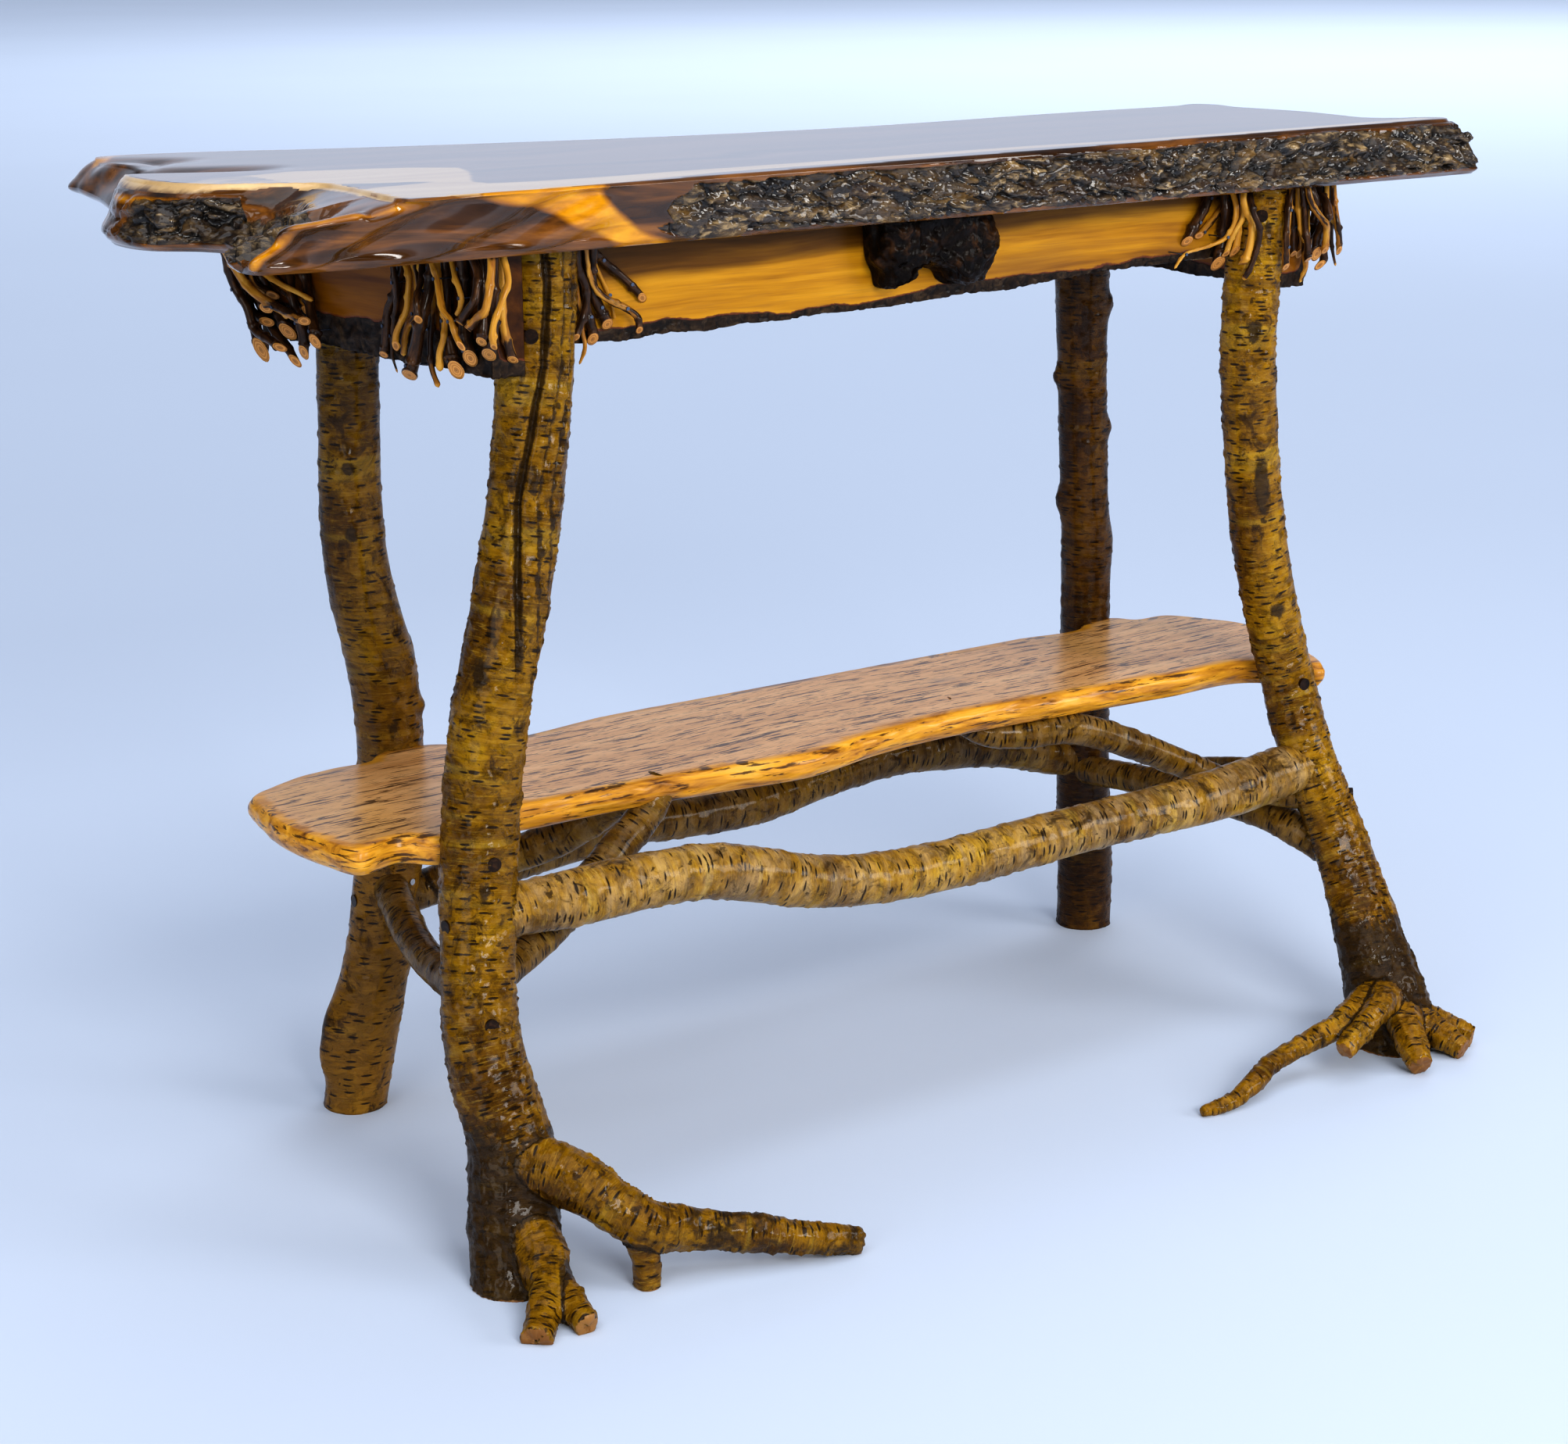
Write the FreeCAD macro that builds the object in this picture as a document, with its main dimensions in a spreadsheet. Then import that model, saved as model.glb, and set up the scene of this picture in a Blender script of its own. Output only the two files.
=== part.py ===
import FreeCAD, Part
import os, math
import Sketcher
from FreeCAD import Vector, Rotation, Placement

# Rustic live-edge console table: a thick slab with bark edges on four birch
# branch legs (the front pair keep their roots), branch stretchers and braces,
# a live-edge shelf, a rail box under the slab and one wide drawer whose front
# carries a burl pull and clusters of small branches.
# Millimetres, +X along the table, +Y to the back, +Z up.

os.makedirs("parts", exist_ok=True)
doc = FreeCAD.newDocument("branch_console_table")
sheet = doc.addObject("Spreadsheet::Sheet", "dims")
_row = [0]
VAL = {}


def cell(alias, value):
    """One driving number in the sheet, known by its alias."""
    _row[0] += 1
    a = "A%d" % _row[0]
    sheet.set(a, "%.4f" % float(value))
    sheet.setAlias(a, alias)
    VAL[alias] = float(value)
    return "dims." + alias


# the tables below are measured from the middle of the slab; the origin is the
# floor point below the middle of the whole table, so every x and y is shifted
OX, OY = -11.0, 50.594

cell("slab_under", 767.0)
cell("slab_top", 815.0)
cell("slab_arris", 5.0)
cell("shelf_under", 300.0)
cell("shelf_top", 323.0)
cell("drawer_front_thick", 20.0)
cell("drawer_front_face", -110.0 + OY)
cell("drawer_front_left", -319.3 + OX)
cell("drawer_front_right", 362.6 + OX)
cell("drawer_front_height_top", 765.0)
cell("drawer_side_thick", 11.0)
cell("drawer_side_left", -317.5 + OX)
cell("drawer_side_right", 361.5 + OX)
cell("drawer_side_bottom", 709.0)
cell("drawer_side_top", 757.0)
cell("drawer_back_end", 84.0 + OY)
cell("drawer_bottom_thick", 6.0)
cell("rail_thick", 27.0)
cell("back_rail_thick", 20.0)
cell("cleat_under", 722.0)
cell("lag_shank_radius", 2.75)
cell("lag_head_radius", 4.8)
cell("plug_radius", 5.5)
cell("plug_len", 6.0)
cell("screw_shank_radius", 2.1)
cell("screw_head_radius", 4.2)
cell("nail_radius", 0.9)
cell("nail_head_radius", 1.6)

NODES = []          # final objects, one per node


def node(obj, label):
    obj.Label = label
    NODES.append(obj)
    return obj


def axes_rotation(t, vertical_ref=True):
    """Rotation whose z runs along t and whose x stays level."""
    t = Vector(t)
    t.normalize()
    ref = Vector(0, 0, 1) if abs(t.z) < 0.92 else Vector(0, 1, 0)
    x = ref.cross(t)
    x.normalize()
    y = t.cross(x)
    return Rotation(x, y, t, "ZXY")


def plane_of(body, role):
    for f in body.Origin.OriginFeatures:
        if f.Role == role:
            return f
    raise RuntimeError(role)


def ring(body, tag, x, y, z, r, rot):
    """A round section of a branch: a sketch with one bound circle."""
    sk = body.newObject("Sketcher::SketchObject", "ring_" + tag)
    sk.AttachmentSupport = (plane_of(body, "XY_Plane"), [""])
    sk.MapMode = "FlatFace"
    sk.AttachmentOffset = Placement(Vector(x, y, z), rot)
    g = sk.addGeometry(Part.Circle(Vector(0, 0, 0), Vector(0, 0, 1), r), False)
    sk.addConstraint(Sketcher.Constraint("Coincident", g, 3, -1, 1))
    sk.addConstraint(Sketcher.Constraint("Radius", g, r))
    sk.renameConstraint(1, "radius")
    sk.setExpression("Constraints.radius", cell(tag + "_rad", r))
    sk.setExpression("AttachmentOffset.Base.x", cell(tag + "_px", x))
    sk.setExpression("AttachmentOffset.Base.y", cell(tag + "_py", y))
    sk.setExpression("AttachmentOffset.Base.z", cell(tag + "_pz", z))
    return sk


def branch(body, tag, pts, level=False, ruled=False):
    """A natural branch: a loft through round sections along its line."""
    rings = []
    n = len(pts)
    for i, (x, y, z, r) in enumerate(pts):
        a = Vector(*pts[max(i - 1, 0)][:3])
        b = Vector(*pts[min(i + 1, n - 1)][:3])
        rot = Rotation() if level else axes_rotation(b - a)
        rings.append(ring(body, "%s_%02d" % (tag, i), x + OX, y + OY, z, r, rot))
    loft = body.newObject("PartDesign::AdditiveLoft", "loft_" + tag)
    loft.Profile = rings[0]
    loft.Sections = [(s, [""]) for s in rings[1:]]
    loft.Ruled = ruled
    loft.Closed = False
    return loft


def branch_body(tag, pts, level=False, ruled=False):
    body = doc.addObject("PartDesign::Body", "body_" + tag)
    branch(body, tag, pts, level, ruled)
    return body


def fuse(name, objs):
    """One after another into a single solid."""
    f = objs[0]
    for i, o in enumerate(objs[1:]):
        g = doc.addObject("Part::Fuse", "%s_%d" % (name, i))
        g.Base, g.Tool = f, o
        g.Refine = False
        f = g
    return f


def cut(name, base, tools):
    """Each tool cut away in turn."""
    f = base
    for i, t in enumerate(tools):
        c = doc.addObject("Part::Cut", "%s_%d" % (name, i))
        c.Base, c.Tool = f, t
        c.Refine = False
        f = c
    return f


def rod(name, a, b, radius_alias=None, radius=None):
    """A round rod from a to b."""
    a, b = Vector(*a), Vector(*b)
    d = b - a
    c = doc.addObject("Part::Cylinder", name)
    c.Radius = VAL[radius_alias] if radius_alias else radius
    c.Height = d.Length
    c.Placement = Placement(a, axes_rotation(d))
    if radius_alias:
        c.setExpression("Radius", "dims." + radius_alias)
    else:
        c.setExpression("Radius", cell(name + "_rad", radius))
    c.setExpression("Height", cell(name + "_len", d.Length))
    return c


def box(name, x0, x1, y0, y1, z0, z1):
    b = doc.addObject("Part::Box", name)
    b.Placement = Placement(Vector(x0, y0, z0), Rotation())
    for prop, v in (("Length", x1 - x0), ("Width", y1 - y0), ("Height", z1 - z0)):
        setattr(b, prop, v)
        b.setExpression(prop, cell(name + "_" + prop.lower(), v))
    for ax, v in (("x", x0), ("y", y0), ("z", z0)):
        b.setExpression("Placement.Base." + ax, cell(name + "_at_" + ax, v))
    return b


def polygon_sketch(body, tag, role, offset, pts, z_alias=None, rot=None):
    sk = body.newObject("Sketcher::SketchObject", "outline_" + tag)
    sk.AttachmentSupport = (plane_of(body, role), [""])
    sk.MapMode = "FlatFace"
    sk.AttachmentOffset = Placement(Vector(0, 0, offset), rot or Rotation())
    n = len(pts)
    for i in range(n):
        p, q = pts[i], pts[(i + 1) % n]
        sk.addGeometry(Part.LineSegment(Vector(p[0], p[1], 0), Vector(q[0], q[1], 0)), False)
    for i in range(n):
        sk.addConstraint(Sketcher.Constraint("Coincident", i, 2, (i + 1) % n, 1))
    if z_alias:
        sk.setExpression("AttachmentOffset.Base.z", z_alias)
    return sk


def compound(name, objs):
    c = doc.addObject("Part::Compound", name)
    c.Links = objs
    return c


def solids_feature(name, shapes):
    f = doc.addObject("Part::Feature", name)
    f.Shape = Part.makeCompound(shapes) if len(shapes) > 1 else shapes[0]
    f.Placement = Placement()
    return f


# ---------------------------------------------------------------- legs
FL = [(-458, -234, 0, 36), (-447, -214, 50, 35), (-440, -200, 100, 33.5), (-445, -186, 140, 32),
      (-446, -172, 180, 30), (-441, -161, 220, 28.7), (-434, -151, 260, 29), (-427, -143, 300, 30),
      (-421, -138, 340, 30.3), (-407, -133.5, 420, 30.5), (-386, -131, 500, 30), (-368, -128.5, 580, 29.2),
      (-357, -126.6, 660, 29), (-351, -125.3, 720, 29), (-349, -124.6, 767, 29)]
FR = [(434, -300, 0, 37), (446, -272, 50, 37), (451, -247, 90, 33), (456.5, -225, 120, 30.4),
      (458, -208, 150, 28), (457, -191, 180, 27.6), (449.5, -172.5, 220, 27.1), (443, -157, 260, 26.4),
      (440.5, -143.5, 300, 26), (434, -134, 340, 25.9), (423, -131, 380, 25.6), (406, -126.2, 460, 25),
      (394, -125.4, 540, 24.7), (386.5, -125, 620, 24.6), (389.5, -124.4, 690, 24.7), (393.5, -124, 767, 24.6)]
BL = [(-398, 144, 0, 27.5), (-390, 143, 40, 28), (-382, 141.7, 80, 29), (-374.3, 140.6, 120, 29),
      (-367, 139.5, 160, 27.8), (-360.5, 138.4, 200, 28.6), (-355, 136.4, 260, 28.8), (-353, 135, 320, 27.9),
      (-355.4, 134, 360, 28.6), (-360.5, 133, 400, 29.4), (-371, 131.8, 440, 28.2), (-379, 130.6, 480, 26.2),
      (-382.8, 129, 540, 25.1), (-382, 127.3, 600, 25), (-380.6, 125.2, 690, 24.8), (-380.2, 124, 767, 24.8)]
BR = [(422, 115, 0, 26.7), (422.3, 115.5, 60, 27.2), (418.5, 116.4, 140, 27), (417, 117, 220, 25.6),
      (417, 118, 320, 24), (416, 119, 400, 23.6), (411, 119.8, 480, 23.4), (408.5, 120.8, 560, 23.6),
      (406.3, 121.6, 640, 25.4), (405.2, 121.7, 700, 26), (405.2, 121.7, 767, 26)]


def dense(pts, gap):
    """More sections on the same smooth line, close enough that the loft can't wander between them."""
    n = len(pts)
    h = [math.dist(pts[i][:3], pts[i + 1][:3]) for i in range(n - 1)]
    slope = []
    for i in range(n):
        if i == 0:
            slope.append([(b - a) / h[0] for a, b in zip(pts[0], pts[1])])
        elif i == n - 1:
            slope.append([(b - a) / h[-1] for a, b in zip(pts[-2], pts[-1])])
        else:
            slope.append([((b - a) / h[i - 1] * h[i] + (c - b) / h[i] * h[i - 1]) / (h[i] + h[i - 1])
                          for a, b, c in zip(pts[i - 1], pts[i], pts[i + 1])])
    out = []
    for i in range(n - 1):
        k = max(1, int(math.ceil(h[i] / gap)))
        for j in range(k):
            t = j / k
            t2, t3 = t * t, t * t * t
            out.append(tuple((2 * t3 - 3 * t2 + 1) * p + (t3 - 2 * t2 + t) * h[i] * m + (-2 * t3 + 3 * t2) * q + (t3 - t2) * h[i] * w
                             for p, m, q, w in zip(pts[i], slope[i], pts[i + 1], slope[i + 1])))
    out.append(tuple(pts[-1]))
    return out


LEGS = {"front_left": dense(FL, 40), "front_right": dense(FR, 40), "back_left": dense(BL, 42), "back_right": dense(BR, 42)}

# roots left on the two front legs
ROOTS = {
    "front_left": [
        ("toe_long", [(-440, -222, 88, 21), (-424, -240, 84, 22), (-407, -262, 72, 21.2), (-395, -281, 60, 19.5),
                      (-378, -297, 49, 18.2), (-347, -305, 40, 16), (-305, -321, 31, 14), (-276, -333, 24, 12.8),
                      (-244, -344, 17, 10.4), (-217, -347, 8.6, 8.4)]),
        ("toe_drop", [(-385, -293, 50, 12.5), (-383, -297, 26, 11), (-382, -300, 2, 9.5), (-382, -301, -8, 9)]),
        ("toe_mid", [(-450, -228, 40, 27), (-450, -252, 30, 21), (-458, -284, 18, 16.5), (-482, -312, 8, 13.5), (-498, -330, 3, 12)]),
        ("toe_fork", [(-452, -262, 26, 16), (-455, -300, 13, 12.5), (-459, -338, 6, 9.5)]),
    ],
    "front_right": [
        ("toe_far", [(425, -288, 46, 17), (392, -298, 47, 14.5), (350, -312, 43, 11.6), (310, -309, 33, 10.2),
                     (272, -308, 24, 9.4), (235, -318, 15, 8), (205, -321, 8, 6.4), (176, -318, 4.5, 4.4)]),
        ("toe_stub", [(420, -300, 50, 16), (385, -324, 54, 12), (350, -334, 42, 10.4), (326, -337, 30, 10)]),
        ("toe_mid", [(428, -312, 32, 19), (405, -345, 24, 14), (395, -368, 10, 12)]),
        ("toe_right", [(440, -305, 28, 18), (450, -340, 18, 13), (456, -364, 9, 10.5)]),
        ("toe_side", [(446, -290, 28, 17), (470, -325, 18, 12), (486, -347, 10, 9.5)]),
    ],
}

leg_wood = {}
for who, pts in LEGS.items():
    b = doc.addObject("PartDesign::Body", "body_leg_" + who)
    branch(b, "leg_" + who, pts, level=True)
    leg_wood[who] = b
root_wood = {}
for who, toes in ROOTS.items():
    root_wood[who] = [branch_body("%s_%s" % (tag, who), pts, ruled=True) for tag, pts in toes]

# ---------------------------------------------------------------- stretchers and braces
FRONT_RAIL = [(-425, -153, 263, 20), (-400, -155, 265, 21), (-366, -156, 264.5, 22.2), (-319, -156, 264.5, 23),
              (-271, -157, 264.5, 22.3), (-222, -157.5, 261, 22.6), (-184, -158, 251, 22.6), (-134, -158.7, 235, 21.8),
              (-74, -159.5, 223.5, 21.4), (-17, -160.2, 219.3, 21.4), (41, -161, 219, 21.9), (101, -161.6, 220.5, 21.7),
              (183, -162.5, 222.2, 21.3), (250, -163.3, 222.6, 22), (313, -164, 222.8, 23.8), (361, -164.5, 225.5, 24.4),
              (412, -165, 230.5, 23.2), (440, -166, 233, 22)]
BACK_RAIL_B = [(-350, 134, 184, 18), (-300, 130, 190, 18), (-234, 128, 197, 18.2), (-170, 128, 203, 19.6),
               (-113, 128, 206.5, 20), (-72, 128, 203, 20.2), (-27, 128, 201, 20.4), (39, 128, 203, 20.6),
               (87, 128, 211, 20.8), (144, 128, 217, 21), (196, 128, 218.8, 21.2), (243, 128, 214.5, 21.3),
               (294, 127, 208, 21), (343, 124, 196, 19.5), (385, 120, 182, 18), (412, 118, 178, 17)]
BACK_FORK = [(-318, 127, 193, 16), (-290, 110, 205, 16), (-255, 88, 217, 16), (-222, 66, 234, 15.6), (-195, 47, 255, 15), (-168, 30, 284, 14.6), (-155, 22, 312, 14)]
LEFT_RAIL = [(-362, 135, 203, 15), (-374, 98, 197, 15.2), (-388, 50, 186, 14.8), (-400, -2, 179, 14.6),
             (-410, -62, 181, 15), (-424, -120, 189, 15.2), (-440, -160, 193, 15)]
RIGHT_RAIL = [(414, 120, 169, 14.5), (408.5, 97, 170, 14.8), (414, 58, 172.5, 14.4), (418, 13, 175.5, 14),
              (424, -62, 179.5, 14.6), (440, -140, 172, 15.6), (453, -178, 156, 15.6), (458, -205, 146, 15)]
LEFT_BRACE = [(-432, -158, 212, 13.5), (-406, -142, 214, 14), (-352, -116, 226, 14.4), (-309, -100, 246, 14.6),
              (-265, -86, 270, 14.6), (-236, -80, 290, 14.4), (-214, -76, 316, 14)]
RIGHT_BRACE = [(110, -38, 314, 11), (150, -55, 288, 12.4), (179, -68, 286, 13), (226, -80, 285.5, 13.6), (280, -90, 266, 13.6),
               (330, -100, 243.5, 13.4), (382, -118, 217, 13.2), (425, -150, 204, 13), (452, -178, 202, 12.5)]
SIDE_BRACE = [(418, 112, 197, 5), (421, 60, 197.5, 5), (425, -6, 201.5, 5.2), (430, -91, 219, 5.4), (437, -138, 227, 5.4), (444, -156, 230, 5.2)]

front_rail = branch_body("rail_front", FRONT_RAIL)
back_rail_b = branch_body("rail_back", BACK_RAIL_B)
# the same branches a little thicker, to cut what passes beside them
front_clear = branch_body("rail_front_clear", [(x, y, z, r + 0.35) for x, y, z, r in FRONT_RAIL])
back_clear = branch_body("rail_back_clear", [(x, y, z, r + 0.35) for x, y, z, r in BACK_RAIL_B])
back_fork = branch_body("rail_back_fork", BACK_FORK)
left_rail = branch_body("rail_left", LEFT_RAIL)
right_rail = branch_body("rail_right", RIGHT_RAIL)
left_brace = branch_body("brace_left", LEFT_BRACE)
right_brace = branch_body("brace_right", RIGHT_BRACE)
side_brace = branch_body("brace_side", SIDE_BRACE)
doc.recompute()


def W(p):
    return (p[0] + OX, p[1] + OY, p[2])


def tenon(name, inner, outer, r):
    return rod(name, W(inner), W(outer), radius=r)


# round tenons, from inside the leg to inside the branch
TENONS = {
    "front_rail_left": ((-421, -153.4, 263.4), (-385, -155.4, 264.8), 12),
    "front_rail_right": ((430, -165.6, 232), (398, -164.9, 229.2), 12),
    "back_rail_left": ((-347, 133.8, 184.4), (-305, 130.3, 189.5), 10),
    "back_rail_right": ((401.5, 118.9, 180.2), (370, 121.4, 187.2), 10),
    "left_rail_back": ((-363, 131.8, 202.4), (-378, 85, 194.2), 8.5),
    "left_rail_front": ((-438, -155, 192.6), (-419, -100, 186.2), 8.5),
    "right_rail_back": ((412.8, 115.5, 169.2), (409.5, 82, 171), 8),
    "right_rail_front": ((456.6, -198, 148.6), (446.5, -160, 163.6), 8.5),
    "left_brace_leg": ((-430, -156.8, 212.2), (-396, -137.2, 216.2), 7.5),
    "right_brace_leg": ((448, -174, 202.2), (415, -142.5, 207), 7),
    "side_brace_back": ((418.2, 107, 197), (419.9, 80, 197.3), 3.2),
    "side_brace_front": ((442.2, -151.5, 229.2), (434, -118, 223.8), 3.2),
}
ten = {k: tenon("tenon_" + k, *v) for k, v in TENONS.items()}


def scribed(label, body, legs, tenons, more=()):
    """A branch coped against the legs and other pieces it meets, with its tenons."""
    c = cut("coped_" + label, body, [leg_wood[k] for k in legs] + list(more))
    return fuse("joined_" + label, [c] + [ten[t] for t in tenons]) if tenons else c


# ---------------------------------------------------------------- lag screws and plugs
# (name, leg, point on the leg's skin, direction into the leg, shank length)
def skin(who, z, ang):
    """A point on a leg's skin at height z, at compass angle ang (0 = +X)."""
    pts = LEGS[who]
    for a, b in zip(pts, pts[1:]):
        if a[2] <= z <= b[2]:
            k = (z - a[2]) / (b[2] - a[2])
            x, y, r = [a[i] + (b[i] - a[i]) * k for i in (0, 1, 3)]
            ca, sa = math.cos(math.radians(ang)), math.sin(math.radians(ang))
            return (x + r * ca, y + r * sa, z), (-ca, -sa, 0.0), r
    raise ValueError(z)


LAGS = [
    ("fl_top", "front_left", 703, 232, 62), ("fl_shelf", "front_left", 311.5, 262, 62),
    ("fl_low", "front_left", 194, 258, 62), ("fl_side", "front_left", 263, 184, 62),
    ("fr_top", "front_right", 742, 235, 56), ("fr_shelf", "front_right", 311.5, 262, 56),
    ("fr_low", "front_right", 206, 322, 52), ("fr_side", "front_right", 233, 2, 56),
    ("bl_shelf", "back_left", 311.5, 90, 62), ("bl_side", "back_left", 186, 176, 62), ("bl_low", "back_left", 203.5, 108, 60),
    ("br_shelf", "back_right", 311.5, 90, 58), ("br_side", "back_right", 180, 12, 58),
]
plug_tools, lag_solids, plugs = {}, [], []
for name, who, z, ang, length in LAGS:
    p, d, r = skin(who, z, ang)
    P0 = Vector(*W(p))
    D = Vector(*d)
    pl, hd = VAL["plug_len"], 4.0
    a0 = P0 - D * 1.0
    a1 = P0 + D * (pl - 1.0)
    a2 = a1 + D * hd
    a3 = a2 + D * (length - pl - hd)
    plug = rod("plug_" + name, tuple(a0), tuple(a1), "plug_radius")
    head = rod("lag_head_" + name, tuple(a1), tuple(a2), "lag_head_radius")
    shank = rod("lag_shank_" + name, tuple(a2), tuple(a3), "lag_shank_radius")
    plugs.append(plug)
    lag = fuse("lag_" + name, [head, shank])
    lag_solids.append(lag)
    plug_tools.setdefault(who, []).extend([plug, head, shank])
shank_of = {n[0]: doc.getObject("lag_shank_" + n[0]) for n in LAGS}

floor_cut = box("below_floor", -700 + OX, 700 + OX, -500 + OY, 400 + OY, -60, 0)

leg_tenons = {
    "front_left": ["front_rail_left", "left_rail_front", "left_brace_leg"],
    "front_right": ["front_rail_right", "right_rail_front", "right_brace_leg", "side_brace_front"],
    "back_left": ["back_rail_left", "left_rail_back"],
    "back_right": ["back_rail_right", "right_rail_back", "side_brace_back"],
}
for who in LEGS:
    base = leg_wood[who]
    tools = [ten[k] for k in leg_tenons[who]] + plug_tools[who]
    if who in root_wood:
        base = fuse("leg_with_roots_" + who, [leg_wood[who]] + root_wood[who])
        tools = tools + [floor_cut]
    node(cut("cut_leg_" + who, base, tools), "leg_" + who)

def with_holes(name, obj, shanks):
    return cut(name, obj, [shank_of[k] for k in shanks])

node(with_holes("bored_front", scribed("front", front_rail, ["front_left", "front_right"], ["front_rail_left", "front_rail_right"]),
                ["fl_side", "fr_side"]), "stretcher_front")
back_branch = fuse("forked_branch", [back_rail_b, back_fork])
shelf_over = box("above_shelf_under", -600 + OX, 600 + OX, -200 + OY, 200 + OY, VAL["shelf_under"], 360)
node(with_holes("bored_back", scribed("back", back_branch, ["back_left", "back_right"], ["back_rail_left", "back_rail_right"], [shelf_over]),
                ["bl_side", "br_side"]), "stretcher_back")
node(with_holes("bored_left", scribed("left", left_rail, ["back_left", "front_left"], ["left_rail_back", "left_rail_front"]),
                ["fl_low", "bl_low"]), "stretcher_left")
node(scribed("right", right_rail, ["back_right", "front_right"], ["right_rail_back", "right_rail_front"], [back_clear]), "stretcher_right")
node(scribed("lbrace", left_brace, ["front_left"], ["left_brace_leg"], [shelf_over, front_rail, left_rail]), "brace_left")
node(with_holes("bored_rbrace", cut("clear_rbrace", scribed("rbrace", right_brace, ["front_right"], ["right_brace_leg"], [shelf_over]), [front_clear]),
                ["fr_low"]), "brace_right")
node(cut("clear_sbrace", scribed("sbrace", side_brace, ["front_right", "back_right"], ["side_brace_front", "side_brace_back"], [right_brace]), [front_clear]),
     "brace_right_side")

# ---------------------------------------------------------------- shelf
def inset(pts, d):
    """Vertices moved inwards by d along their mean edge normals."""
    n = len(pts)
    area = sum(pts[i][0] * pts[(i + 1) % n][1] - pts[(i + 1) % n][0] * pts[i][1] for i in range(n))
    s = 1.0 if area > 0 else -1.0
    out = []
    for i in range(n):
        p, c, q = pts[i - 1], pts[i], pts[(i + 1) % n]
        e1 = Vector(c[0] - p[0], c[1] - p[1], 0)
        e2 = Vector(q[0] - c[0], q[1] - c[1], 0)
        e1.normalize()
        e2.normalize()
        m = Vector(-(e1.y + e2.y), e1.x + e2.x, 0)
        m.normalize()
        k = max(0.6, m.dot(Vector(-e1.y, e1.x, 0)))
        out.append((c[0] + s * m.x * d / k, c[1] + s * m.y * d / k))
    return out


def slab_body(tag, levels):
    """A board with a shaped edge: a ruled loft through level outlines."""
    body = doc.addObject("PartDesign::Body", "body_" + tag)
    sks = []
    for i, (z, pts) in enumerate(levels):
        alias = cell("%s_level_%d" % (tag, i), z)
        sks.append(polygon_sketch(body, "%s_%d" % (tag, i), "XY_Plane", z,
                                  [(x + OX, y + OY) for x, y in pts], alias))
    loft = body.newObject("PartDesign::AdditiveLoft", "loft_" + tag)
    loft.Profile = sks[0]
    loft.Sections = [(s, [""]) for s in sks[1:]]
    loft.Ruled = True
    loft.Closed = False
    return body


SHELF = [(-518, 68), (-492, 84), (-465, 95), (-430, 101), (-392, 103), (-384, 112), (-322, 112), (-312, 104),
         (-150, 102), (0, 99), (150, 97), (300, 95), (386, 94), (394, 101), (440, 101), (450, 86), (488, 79), (512, 44),
         (528, 9), (524, -40), (516, -75), (503, -103), (488, -135), (470, -158), (450, -140), (426, -112), (330, -103),
         (200, -93), (72, -85), (0, -92), (-87, -110), (-150, -103), (-217, -95), (-330, -92), (-388, -94),
         (-398, -120), (-452, -124), (-472, -104), (-512, -111), (-527, -70), (-533, -10), (-528, 34)]
shelf_raw = slab_body("shelf", [(VAL["shelf_under"], inset(SHELF, 7)), (306, inset(SHELF, 1.5)), (312, SHELF),
                                (318, inset(SHELF, 1)), (VAL["shelf_top"], inset(SHELF, 5))])
node(cut("cut_shelf", shelf_raw, [leg_wood[k] for k in LEGS] + [shank_of["fl_shelf"], shank_of["fr_shelf"], shank_of["bl_shelf"], shank_of["br_shelf"]]),
     "shelf_board")

# ---------------------------------------------------------------- tabletop slab
# (bottom x, bottom y, top x, top y) round the live edge
SLAB = [(-520, 268, -505, 262), (-480, 262, -472, 258), (-440, 252, -440, 250), (-360, 222, -360, 220), (-300, 203, -300, 201), (-240, 187, -240, 185),
        (-120, 158, -120, 156), (0, 138, 0, 136), (120, 129, 120, 127), (240, 134, 240, 132), (340, 143, 340, 141),
        (450, 147, 450, 145), (545, 150, 545, 148), (585, 158, 579, 154), (598, 140, 588, 137), (591, 100, 580, 100),
        (594, 50, 583, 46), (596, 10, 584, 6), (590, -40, 577, -40), (588, -85, 571, -83), (604, -110, 588, -104),
        (622, -125, 607, -112), (630, -145, 617, -123), (622, -168, 605, -137), (590, -176, 571, -143),
        (500, -177, 500, -151), (420, -178, 420, -156), (300, -179, 300, -164), (150, -180, 150, -174), (0, -181, 0, -182),
        (-106, -182, -110, -188), (-200, -184, -200, -194), (-262, -185, -268, -198), (-338, -187, -340, -202),
        (-431, -188, -420, -204), (-520, -188, -502, -197), (-575, -184, -552, -187), (-603, -174, -576, -174),
        (-606, -146, -575, -142), (-588, -104, -564, -98), (-562, -58, -547, -54), (-574, -22, -552, -18),
        (-602, 8, -571, 12), (-608, 48, -582, 54), (-598, 92, -578, 96), (-574, 128, -558, 128), (-592, 152, -572, 152),
        (-588, 204, -566, 204), (-566, 262, -546, 254), (-545, 274, -530, 264)]


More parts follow.
